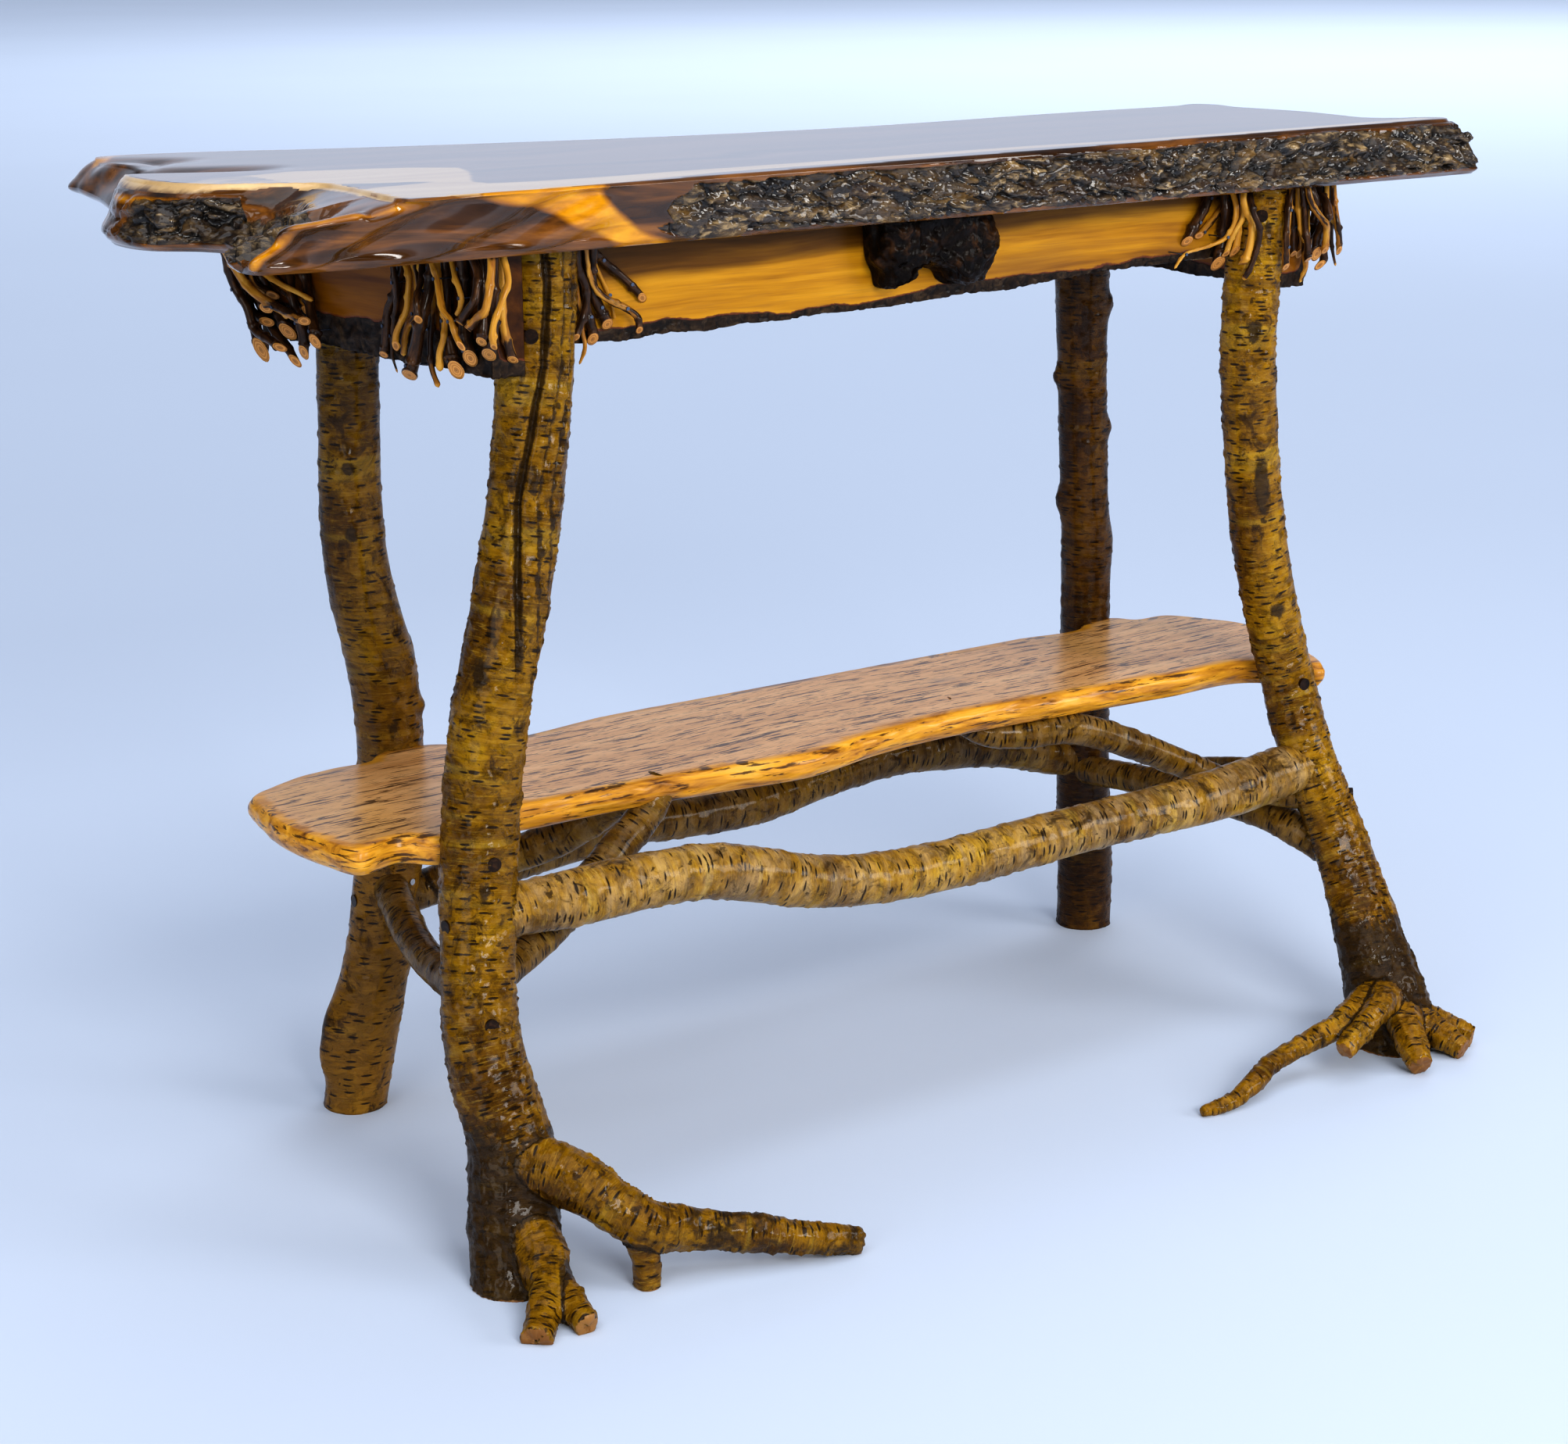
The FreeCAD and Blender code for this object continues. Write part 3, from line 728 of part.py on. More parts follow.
        ('F2', 'm', 'c', [(362.5, -113.1, 765.5, 2.4), (362.5, -113.2, 757.5, 2.4), (362.3, -113.3, 750.6, 2.5), (356.2, -113.4, 744.4, 2.6), (349.9, -113.5, 738.8, 2.7), (343.1, -113.7, 733.5, 2.9), (336.4, -113.8, 728.3, 3), (329.6, -113.9, 723.2, 3.1)]),
        ('F3', 'y', 'p', [(357, -127.4, 765.5, 2.8), (356.9, -133.7, 750.8, 2.6), (354.9, -134.6, 737.6, 2.3), (348.5, -131.4, 724.6, 2.1), (333.3, -130.8, 719.1, 1.9), (316.9, -130.5, 716.3, 1.7), (300.8, -130.3, 713, 1.5), (288.8, -130.2, 701.3, 1.4)]),
        ('F5', 'd', 'c', [(357.3, -118.5, 765.5, 4.5), (356.5, -120.7, 755.7, 4.5), (356.6, -121.6, 745.2, 4.5), (358.6, -118.5, 734.2, 4.5), (359.8, -116.2, 723.6, 4.8), (357.7, -116, 713.4, 5.2), (354.8, -116.4, 703.2, 5.6), (352.5, -116.7, 693, 5.9)]),
        ('F4', 'y', 'c', [(361.4, -137, 765.5, 2.2), (360.5, -139.1, 758.6, 2.3), (363.1, -137.3, 748.8, 2.4), (361.5, -137.4, 739.6, 2.4), (357.7, -134.7, 731.1, 2.5), (355.9, -130.1, 722.7, 2.6), (356, -126.7, 714.2, 2.7), (353.6, -125.6, 705.9, 2.8)]),
        ('F7', 'm', 's', [(363.8, -131.5, 765.5, 3.1), (363.1, -132.1, 758.9, 3.1), (363.8, -131.3, 749.7, 3.1), (363.7, -131.2, 740.6, 3.2), (363.5, -131.1, 731.5, 3.3), (362.8, -130.6, 722.4, 3.5), (362, -129.9, 713.4, 3.7), (361, -127.6, 704.2, 3.8)]),
        ('F6', 'y', 'c', [(357.6, -141.9, 765.5, 2.8), (354, -145.2, 758.1, 2.8), (359.3, -144.1, 747.3, 3), (367.7, -142.7, 737.1, 3.2), (366.9, -144.2, 726.9, 3.3), (365.4, -143.9, 716.5, 3.5), (362.9, -142.2, 706.4, 3.6), (363, -136.2, 697.3, 3.8)]),
        ('F8', 'd', 'p', [(367.2, -138.5, 765.5, 2.8), (361.6, -147, 757.5, 2.7), (361.4, -151.3, 746.2, 2.7), (366.5, -153, 735.2, 2.7), (370.5, -149.9, 722.9, 2.6), (370.1, -146.5, 709.9, 2.5), (366.6, -144.8, 698.3, 2.5), (364.9, -138, 686.4, 2.4)]),
    ],
    'right_end_front': [
        ('G1', 'm', 'c', [(412.5, -144.9, 765.5, 3.1), (407.8, -148.1, 756, 3.1), (404.2, -150.7, 746.2, 3.2), (401.4, -152.9, 736, 3.2), (399.1, -154.7, 725.4, 3.2), (398.7, -155.1, 714.7, 3.3), (398.9, -155.1, 703.9, 3.3), (399.7, -155.1, 692.9, 3.3)]),
        ('G2', 'y', 'p', [(423.2, -143.6, 765.5, 3.7), (423.4, -143.4, 758.2, 3.5), (424, -143, 750.6, 3.2), (424.4, -143.6, 743.1, 2.9), (424.9, -144.7, 735.6, 2.5), (425.5, -145.3, 728.4, 2.1), (426.7, -146.5, 721.5, 1.7), (429.3, -147.2, 714.8, 1.4)]),
        ('G3', 'd', 'c', [(424.8, -136.6, 765.5, 2.8), (424.9, -136.6, 756.4, 2.8), (425.2, -136.6, 747.3, 2.8), (425.5, -136.5, 738.2, 2.8), (425.9, -136.5, 729.1, 2.7), (426.4, -136.4, 719.9, 2.6), (427, -136.3, 710.9, 2.5), (427.7, -136.2, 701.8, 2.4)]),
        ('G4', 'm', 's', [(433.5, -136.7, 765.5, 2.8), (433.6, -136.7, 756.1, 2.8), (433.9, -136.7, 746.8, 2.8), (434.3, -136.6, 737.4, 2.8), (434.7, -136.6, 728.1, 2.8), (435.4, -136.6, 718.7, 2.8), (435.8, -136.5, 709.4, 2.7), (434.9, -136.4, 700.1, 2.6)]),
        ('G8', 'd', 'c', [(420.8, -150.4, 765.5, 2.8), (420.8, -152, 756.2, 2.8), (425.1, -149.6, 746.4, 2.8), (425.8, -150.3, 736.8, 2.8), (426.7, -151, 726.6, 2.8), (427.9, -152.5, 716.4, 3.1), (430.5, -151, 706.3, 3.3), (434, -148.7, 696.5, 3.5)]),
        ('G9', 'm', 'p', [(432.8, -143.9, 765.5, 3.8), (433, -143.9, 753.1, 3.8), (433.3, -143.8, 740.5, 3.8), (433.8, -143.7, 727.8, 3.8), (434.1, -144.5, 715.2, 3.8), (435.1, -143.4, 702.5, 3.2), (440.7, -138.8, 690.3, 2.2), (437.3, -135.7, 678.2, 1.4)]),
        ('G6', 'd', 'c', [(428.3, -151.3, 765.5, 4.2), (429.4, -154.3, 759.3, 4.2), (432.3, -155.9, 751.4, 4.3), (437.9, -151.6, 743.3, 4.3), (446, -142.9, 735.2, 4.4), (450.1, -138.9, 727.1, 4.5), (452.1, -138.3, 719, 4.5), (452.9, -138.4, 710.5, 4.6)]),
        ('G7', 'd', 'c', [(449.3, -137.4, 765.5, 4.2), (447.8, -143.3, 757, 4.2), (442.7, -158.3, 749.9, 4.2), (440.2, -163.4, 740.8, 4.2), (444, -152.8, 728.7, 4.2), (446.8, -145.9, 717.7, 4.2), (446.7, -145.7, 708, 4.6), (445.4, -147.8, 698.7, 4.9)]),
        ('G5', 'm', 'c', [(421, -156.6, 765.5, 2.8), (421.7, -158.6, 757.1, 2.9), (426.3, -159.4, 748.1, 2.9), (430.3, -164.1, 740, 3), (436.8, -165.2, 732.7, 3.1), (443.9, -159.3, 723.7, 3.2), (447.4, -155.8, 713.9, 3.2), (447.2, -155.4, 704.1, 3.3)]),
        ('G10', 'd', 's', [(457.8, -137.6, 765.5, 3.5), (458.3, -137.6, 753.9, 3.5), (459.2, -137.5, 742.4, 3.5), (460.5, -137.4, 731, 3.5), (461.9, -137.4, 719.6, 3.5), (463.9, -137.3, 708, 3.5), (465.2, -137.1, 697.1, 3.3), (457.2, -137, 688, 3.2)]),
        ('G11', 'y', 'p', [(457.5, -144.1, 765.5, 2.4), (457.8, -144.3, 759, 2.3), (458.7, -143.8, 752.2, 2.1), (460, -143.5, 745.2, 2), (462.2, -144.2, 738.3, 1.7), (464.8, -144.4, 733, 1.6), (470, -144.4, 728.8, 1.4), (477.1, -144, 725.7, 1.2)]),
        ('G13', 'd', 'p', [(468, -138.1, 765.5, 3.2), (468.7, -137.9, 754.3, 3.2), (469.8, -137.5, 743.2, 3.2), (471.3, -137.1, 732.2, 3.2), (473.2, -136.4, 721.2, 2.7), (475.8, -135.8, 710.5, 2), (479.2, -135.3, 699.9, 1.5), (483.4, -134.9, 689.5, 1.1)]),
        ('G12', 'm', 's', [(464.9, -144.3, 765.5, 3.2), (465.9, -144.7, 756.9, 3.2), (467.1, -144.9, 747.3, 3.2), (465.9, -148.6, 738.3, 3.1), (466, -151.2, 728.8, 3.1), (471.1, -148.7, 719.2, 3), (474.9, -146.2, 709.8, 2.9), (476.1, -145.6, 700.3, 2.8)]),
    ],
    'left_end_back': [
        ('B1', 'd', 's', [(-473.6, 147.8, 765.5, 4.1), (-471.5, 150, 749.3, 4.1), (-467.6, 153.9, 730.2, 4.1), (-463.4, 151.4, 714.4, 4), (-459.7, 142.9, 702.3, 3.8), (-456.7, 136.6, 683.8, 3.7), (-454.3, 115.8, 677.5, 3.5), (-452.1, 95.4, 671, 3.4)]),
        ('B2', 'd', 's', [(-453, 160, 765, 4.7), (-453, 159.1, 749.5, 4.7), (-452.9, 161.7, 733.2, 4.7), (-451.7, 163.2, 716.5, 4.7), (-449.7, 161.2, 700.7, 4.7), (-447.9, 155.7, 686.4, 4.9), (-448.2, 147.2, 672.2, 5.3), (-449.7, 138.7, 657.4, 5.6)]),
        ('B3', 'd', 'c', [(-453.1, 147.3, 765.5, 3.8), (-458.7, 140.2, 757.4, 3.8), (-466, 136.3, 743.4, 3.8), (-462.6, 140.8, 731, 3.8), (-453.5, 146.1, 720.2, 3.8), (-452.1, 138.8, 711.6, 3.9), (-453.4, 127.2, 705.3, 3.9), (-454.8, 114.3, 700.6, 4)]),
        ('B5', 'd', 's', [(-464.6, 160.1, 765.5, 3.2), (-462.9, 160.8, 753.1, 3.2), (-461.3, 161.8, 737.9, 3.2), (-461.4, 158.8, 724.4, 3.2), (-458, 157.6, 711.6, 3.2), (-452.9, 152, 698.8, 3.4), (-447.8, 143.1, 690.9, 3.6), (-446.7, 127.2, 687.7, 3.7)]),
        ('B6', 'm', 's', [(-447.3, 154.2, 765.5, 2.8), (-449.9, 147.2, 756.7, 2.8), (-452.4, 143.7, 744.1, 2.8), (-455.2, 138.8, 733, 2.8), (-456.8, 134.6, 724.9, 2.8), (-454.8, 129.9, 718.1, 3), (-448.1, 126, 713, 3.2), (-445.5, 116.4, 709.5, 3.4)]),
        ('B7', 'y', 'p', [(-470.3, 157.1, 765.4, 2.5), (-464.5, 149, 756.8, 2.5), (-458.8, 144.4, 745.1, 2.5), (-457.7, 130.4, 736, 2.5), (-450.8, 120.6, 727.4, 2.5), (-448, 102.7, 722.2, 2.3), (-445.1, 83.6, 718.3, 2.1), (-439.5, 65.4, 712.6, 1.8)]),
        ('B8', 'm', 's', [(-453.6, 172, 765.5, 4), (-445.7, 172, 752.3, 4), (-441.7, 162.6, 739.6, 4), (-440.1, 147, 729.2, 4), (-438.5, 130.9, 720.3, 4), (-436.8, 113.6, 713.3, 4), (-434.7, 95.6, 707.5, 3.8), (-433, 79.6, 698.1, 3.7)]),
        ('B9', 'm', 'c', [(-482, 153.4, 765.5, 3.7), (-481.5, 138.7, 756.7, 3.7), (-473, 136.2, 738.1, 3.7), (-464.9, 132.9, 721.9, 3.7), (-460.6, 116.4, 712.2, 3.7), (-452.6, 103.6, 704.6, 3.7), (-450.2, 84.2, 700.8, 3.7), (-448.7, 58.9, 697, 3.6)]),
        ('B10', 'd', 'c', [(-442.1, 162.2, 765.5, 4.4), (-441.8, 156.3, 750.8, 4.4), (-446.6, 144.4, 737.1, 4.4), (-449, 134.7, 724.1, 4.4), (-443.8, 133.4, 711.4, 4.4), (-439.5, 129.6, 699.6, 4.4), (-438.5, 120.1, 688.9, 5), (-438.2, 111, 677.4, 5.6)]),
        ('B11', 'd', 's', [(-436.8, 117.8, 765.5, 3.7), (-436.6, 115.8, 749.9, 3.7), (-437, 110.8, 735.2, 3.7), (-440.7, 100.3, 721.9, 3.7), (-443, 92.2, 707.7, 3.7), (-438.5, 91.9, 692.2, 3.8), (-435.1, 94.3, 676.6, 3.9), (-434.8, 96.6, 661.2, 4)]),
        ('B12', 'd', 'c', [(-435.3, 99.7, 765.5, 4), (-435.1, 96.9, 751.2, 4), (-434.6, 92.6, 737.7, 4), (-434, 86.6, 724.8, 4), (-435.7, 79.8, 712.6, 4), (-437.6, 73.3, 700.7, 4), (-439.1, 66.6, 688.9, 4.3), (-440.9, 62.2, 675.8, 4.6)]),
        ('B13', 'd', 's', [(-460.2, 166.5, 765.4, 3.8), (-453.7, 168.8, 747.4, 3.8), (-445.7, 171.4, 727.6, 3.8), (-441.8, 165.3, 710, 3.8), (-440.4, 152.3, 694.7, 3.8), (-438.9, 137.9, 680.8, 3.7), (-436.7, 120.4, 669.6, 3.6), (-435.1, 106.1, 655.2, 3.4)]),
    ],
}


def twig_solid(pts):
    """Ten-sided rings, turned along the branch without twist."""
    rings = []
    n = len(pts)
    xa = Vector(1, 0, 0)
    for i, (x, y, z, r) in enumerate(pts):
        t = Vector(*pts[min(i + 1, n - 1)][:3]) - Vector(*pts[max(i - 1, 0)][:3])
        if i == 0:
            t = Vector(0, 0, -1)
        t.normalize()
        xa = xa - t * xa.dot(t)
        xa.normalize()
        ya = t.cross(xa)
        c, r = Vector(x + OX, y + OY, z), max(r, 0.5)
        ring_pts = [c + xa * (r * math.cos(math.pi * k / 5)) + ya * (r * math.sin(math.pi * k / 5)) for k in range(10)]
        rings.append(Part.makePolygon(ring_pts + [ring_pts[0]]))
    return Part.makeLoft(rings, True, True)


twig_shapes = {}
for group, items in TWIGS.items():
    twig_shapes[group] = []
    for name, style, tip, pts in items:
        twig_shapes[group].append((name, twig_solid(pts), pts))


# small nails through the branches into the wood behind them
NAIL_INTO = 12.0


def seg_gap(p, q, a, b):
    """Least distance between the segments pq and ab, sampled along pq."""
    best = 1e9
    ab = b - a
    l2 = ab.dot(ab)
    for i in range(25):
        s = p + (q - p) * (i / 24.0)
        k = max(0.0, min(1.0, (s - a).dot(ab) / l2))
        best = min(best, (s - (a + ab * k)).Length)
    return best


AVOID = [(Vector(*a), Vector(*b), 4.6) for _, _, a, b in RAIL_SCREWS]
AVOID += [(Vector(-312, -108, z), Vector(-312, -60, z), 1.2) for z in (726, 748)]
AVOID += [(Vector(356, -108, z), Vector(356, -60, z), 1.2) for z in (726, 748)]
for nm, who, z, ang, length in LAGS:
    if z > 600:
        p, d, r = skin(who, z, ang)
        AVOID.append((Vector(*p), Vector(*p) + Vector(*d) * length, 6.5))
for items in TWIGS.values():
    for nm, style, tip, pts in items:
        for i in range(7):
            AVOID.append((Vector(*pts[i][:3]), Vector(*pts[i + 1][:3]), max(pts[i][3], pts[i + 1][3]) + 0.3, nm))


def backing(group, p):
    """Where a nail at p meets solid wood, and which piece that is."""
    x, y, z = p
    if group.startswith("left_end"):
        if -146 < y < 161 and z > 677:
            return Vector(left_x(-420.6, y), y, z), "end_rail_left"
    elif group.startswith("drawer"):
        if -314 < x < 358 and z > 707:
            return Vector(x, -110, z), "drawer_front"
    else:
        dx = x - 391.0
        if 421 < x < 446 and z > 677:
            return Vector(x, -132, z), "end_rail_right"
        if abs(dx) < 20:
            return Vector(x, -124.3 - math.sqrt(24.6 ** 2 - dx * dx), z), "leg_front_right"
    return None, None


nail_solids = {"frame": [], "drawer": []}
bored = {}
for group, lst in twig_shapes.items():
    D = Vector(1, 0, 0) if group.startswith("left_end") else Vector(0, 1, 0)
    part = "drawer" if group.startswith("drawer") else "frame"
    new = []
    for name, solid, pts in lst:
        done = 0
        order = sorted(range(1, 7), key=lambda k: -pts[k][3])
        used = []
        for k in order:
            x, y, z, r = pts[k]
            if r < 1.3 or any(abs(k - u) < 3 for u in used) or done == 2:
                continue
            c = Vector(x, y, z)
            w, piece = backing(group, (x, y, z))
            if piece is None or not 0 < (w - c).dot(D) < 34:
                continue
            head = c - D * (r + 1.0)
            tip = w + D * NAIL_INTO
            if any(seg_gap(head, tip, a[0], a[1]) < a[2] + 0.9 for a in AVOID if not (len(a) == 4 and a[3] == name)):
                continue
            off = Vector(OX, OY, 0)
            hd = Part.makeCylinder(1.4, 0.8, head + off, D)
            sh = Part.makeCylinder(0.6, (tip - head).Length - 0.8, head + D * 0.8 + off, D)
            nail = hd.fuse(sh)
            nail_solids[part].append(nail)
            bored.setdefault(piece, []).append(sh)
            solid = solid.cut(nail)
            AVOID.append((head, tip, 1.5))
            used.append(k)
            done += 1
        new.append((name, solid, pts))
    twig_shapes[group] = new

for piece, holes in bored.items():
    tool = doc.addObject("Part::Feature", "nail_holes_" + piece)
    tool.Shape = Part.makeCompound(holes)
    for o in list(NODES):
        if o.Label == piece:
            n = cut("nailed_" + piece, o, [tool])
            o.Label = "unnailed_" + piece
            NODES.remove(o)
            node(n, piece)
print("nails", {k: len(v) for k, v in nail_solids.items()})
node(solids_feature("nails_of_frame", nail_solids["frame"]), "twig_nails_frame")
node(solids_feature("nails_of_drawer", nail_solids["drawer"]), "twig_nails_drawer")

for group, lst in twig_shapes.items():
    node(solids_feature("group_" + group, [s for _, s, _ in lst]), "twigs_" + group)

node(compound("plug_group", plugs), "leg_plugs")
node(compound("lag_group", lag_solids), "leg_lag_screws")
node(compound("slab_screw_group", slab_screws), "tabletop_screws")
node(compound("rail_screw_group", rail_screws), "rail_screws")
node(compound("hanger_screw_group", hanger_screws), "hanger_screws")
node(compound("stop_screw_group", stop_screws), "stop_block_screws")

# rail screws also bore the legs
for o in list(NODES):
    if o.Label.startswith("leg_") and o.Label[4:] in rail_leg_tools:
        who = o.Label[4:]
        new = cut("bored_leg_" + who, o, rail_leg_tools[who])
        o.Label = "unbored_" + who
        NODES.remove(o)
        node(new, "leg_" + who)

doc.recompute()
bad = [(o.Name, o.State) for o in doc.Objects if any(s in ("Invalid", "Error") for s in o.State)]
if bad:
    for b in bad:
        print("BAD", b)
box_all = None
problems = 0
for o in NODES:
    s = o.Shape
    ok = (not s.isNull()) and s.isValid() and len(s.Solids) >= 1
    if not ok:
        problems += 1
    if s.isNull():
        print("NULL", o.Label)
        continue
    bb = s.optimalBoundingBox(False, False)
    box_all = bb if box_all is None else box_all.united(bb)
    print("%-24s %s solids %3d vol %10.0f  x %7.1f %7.1f y %7.1f %7.1f z %7.1f %7.1f"
          % (o.Label, "ok " if ok else "BAD", len(s.Solids), s.Volume, bb.XMin, bb.XMax, bb.YMin, bb.YMax, bb.ZMin, bb.ZMax))
print("BOX", box_all)
print("NODES", len(NODES), "bad", problems)
if bad or problems:
    raise RuntimeError("a piece failed")
for o in NODES:
    o.Shape.exportStep("parts/%s.step" % o.Label)
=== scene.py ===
import bpy, bmesh, math
import numpy as np
from mathutils import Vector, Matrix
from mathutils.geometry import delaunay_2d_cdt
from mathutils.kdtree import KDTree


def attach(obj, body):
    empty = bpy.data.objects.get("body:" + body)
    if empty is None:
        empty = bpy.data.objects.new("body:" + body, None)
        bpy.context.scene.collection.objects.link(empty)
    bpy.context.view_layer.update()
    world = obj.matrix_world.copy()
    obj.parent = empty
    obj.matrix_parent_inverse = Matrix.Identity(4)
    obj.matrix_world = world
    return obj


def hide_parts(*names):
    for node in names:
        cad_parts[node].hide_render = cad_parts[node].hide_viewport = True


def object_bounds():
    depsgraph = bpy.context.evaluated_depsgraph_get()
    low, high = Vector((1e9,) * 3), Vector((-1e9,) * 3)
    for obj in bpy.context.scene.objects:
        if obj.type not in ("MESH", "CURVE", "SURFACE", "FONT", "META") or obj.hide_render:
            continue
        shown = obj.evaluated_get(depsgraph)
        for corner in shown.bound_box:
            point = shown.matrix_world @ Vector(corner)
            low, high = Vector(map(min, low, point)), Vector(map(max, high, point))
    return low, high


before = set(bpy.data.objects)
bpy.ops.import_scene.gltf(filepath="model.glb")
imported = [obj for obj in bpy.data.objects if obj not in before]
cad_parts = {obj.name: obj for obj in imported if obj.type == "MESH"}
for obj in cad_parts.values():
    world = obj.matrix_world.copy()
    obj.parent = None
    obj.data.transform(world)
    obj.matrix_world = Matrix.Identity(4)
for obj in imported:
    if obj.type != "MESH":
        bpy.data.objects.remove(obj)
cad_lo, cad_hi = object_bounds()
LO, HI = np.array(cad_lo), np.array(cad_hi)

# tables are in millimetres from the middle of the slab, as measured
OX, OY, MM = -11.0, 50.594, 0.001


def to_m(p):
    p = np.asarray(p, float)
    q = p.copy()
    q[..., 0] += OX
    q[..., 1] += OY
    return q * MM


# ------------------------------------------------------------- numbers that look random
def _h(ix, iy, iz, seed):
    h = (ix * 374761393 + iy * 668265263 + iz * 1442695041 + seed * 1013904223) & 0xffffffff
    h = ((h ^ (h >> 13)) * 1274126177) & 0xffffffff
    h = (h ^ (h >> 16)) & 0xffffffff
    return h / 4294967295.0


def vnoise(P, seed=0):
    """Smooth noise, -1 to 1."""
    i = np.floor(P).astype(np.int64)
    f = P - i
    u = f * f * f * (f * (f * 6 - 15) + 10)
    out = np.zeros(len(P))
    for dx in (0, 1):
        wx = u[:, 0] if dx else 1 - u[:, 0]
        for dy in (0, 1):
            wy = u[:, 1] if dy else 1 - u[:, 1]
            for dz in (0, 1):
                wz = u[:, 2] if dz else 1 - u[:, 2]
                out += wx * wy * wz * _h(i[:, 0] + dx, i[:, 1] + dy, i[:, 2] + dz, seed)
    return out * 2 - 1


def fbm(P, octaves=4, seed=0, gain=0.5):
    out, a, tot = np.zeros(len(P)), 1.0, 0.0
    for o in range(octaves):
        out += a * vnoise(P * (2.03 ** o), seed + 17 * o)
        tot += a
        a *= gain
    return out / tot


def cells(P, seed=0, where=False):
    """Distances to the two nearest scattered points, and a number for the nearest (and its offset)."""
    i = np.floor(P).astype(np.int64)
    f1 = np.full(len(P), 9.0)
    f2 = np.full(len(P), 9.0)
    cid = np.zeros(len(P))
    off = np.zeros((len(P), 3))
    for dx in (-1, 0, 1):
        for dy in (-1, 0, 1):
            for dz in (-1, 0, 1):
                a, b, c = i[:, 0] + dx, i[:, 1] + dy, i[:, 2] + dz
                q = np.stack([a + _h(a, b, c, seed), b + _h(a, b, c, seed + 1), c + _h(a, b, c, seed + 2)], 1)
                d = np.linalg.norm(P - q, axis=1)
                near = d < f1
                f2 = np.where(near, f1, np.minimum(f2, d))
                cid = np.where(near, _h(a, b, c, seed + 3), cid)
                f1 = np.where(near, d, f1)
                off[near] = (P - q)[near]
    return (f1, f2, cid, off) if where else (f1, f2, cid)


def step(a, b, x):
    t = np.clip((x - a) / (b - a), 0, 1)
    return t * t * (3 - 2 * t)


# ------------------------------------------------------------- meshes
def mesh_object(name, V, faces, mats, idx=None, attrs=None, body="frame", smooth=True):
    V = np.clip(np.asarray(V, float), LO, HI)
    me = bpy.data.meshes.new(name)
    me.from_pydata(V.tolist(), [], [list(f) for f in faces])
    for m in mats:
        me.materials.append(m)
    if idx is not None:
        me.polygons.foreach_set("material_index", np.asarray(idx, np.int32))
    me.polygons.foreach_set("use_smooth", np.full(len(me.polygons), smooth))
    for k, v in (attrs or {}).items():
        v = np.asarray(v, np.float32)
        if v.ndim == 2:
            at = me.attributes.new(k, "FLOAT_VECTOR", "POINT")
            at.data.foreach_set("vector", v.ravel())
        else:
            at = me.attributes.new(k, "FLOAT", "POINT")
            at.data.foreach_set("value", v)
    me.update()
    me.validate()
    ob = bpy.data.objects.new(name, me)
    bpy.context.scene.collection.objects.link(ob)
    if body:
        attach(ob, body)
    return ob


def curve_through(pts, gap):
    """Points every gap along a smooth line through pts (n, 4): x y z r, metres."""
    P = np.asarray(pts, float)
    h = np.linalg.norm(np.diff(P[:, :3], axis=0), axis=1)
    n = len(P)
    m = np.zeros_like(P)
    m[0] = (P[1] - P[0]) / h[0]
    m[-1] = (P[-1] - P[-2]) / h[-1]
    for i in range(1, n - 1):
        a, b = (P[i] - P[i - 1]) / h[i - 1], (P[i + 1] - P[i]) / h[i]
        m[i] = (a * h[i] + b * h[i - 1]) / (h[i] + h[i - 1])
    out = []
    for i in range(n - 1):
        k = max(1, int(round(h[i] / gap)))
        t = (np.arange(k) / k)[:, None]
        t2, t3 = t * t, t * t * t
        out.append((2 * t3 - 3 * t2 + 1) * P[i] + (t3 - 2 * t2 + t) * h[i] * m[i] + (-2 * t3 + 3 * t2) * P[i + 1] + (t3 - t2) * h[i] * m[i + 1])
    out.append(P[-1:])
    Q = np.concatenate(out)
    s = np.concatenate([[0], np.cumsum(np.linalg.norm(np.diff(Q[:, :3], axis=0), axis=1))])
    return Q, s


def frames_along(C, level):
    n = len(C)
    T = np.gradient(C, axis=0)
    T /= np.linalg.norm(T, axis=1)[:, None]
    if level:
        return T, np.tile([1.0, 0, 0], (n, 1)), np.tile([0, 1.0, 0], (n, 1))
    N = np.zeros((n, 3))
    ref = np.array([0, 0, 1.0]) if abs(T[0][2]) < 0.9 else np.array([0, 1.0, 0])
    v = ref - T[0] * ref.dot(T[0])
    v /= np.linalg.norm(v)
    for i in range(n):
        v = v - T[i] * v.dot(T[i])
        v /= np.linalg.norm(v)
        N[i] = v
    B = np.cross(T, N)
    return T, N, B


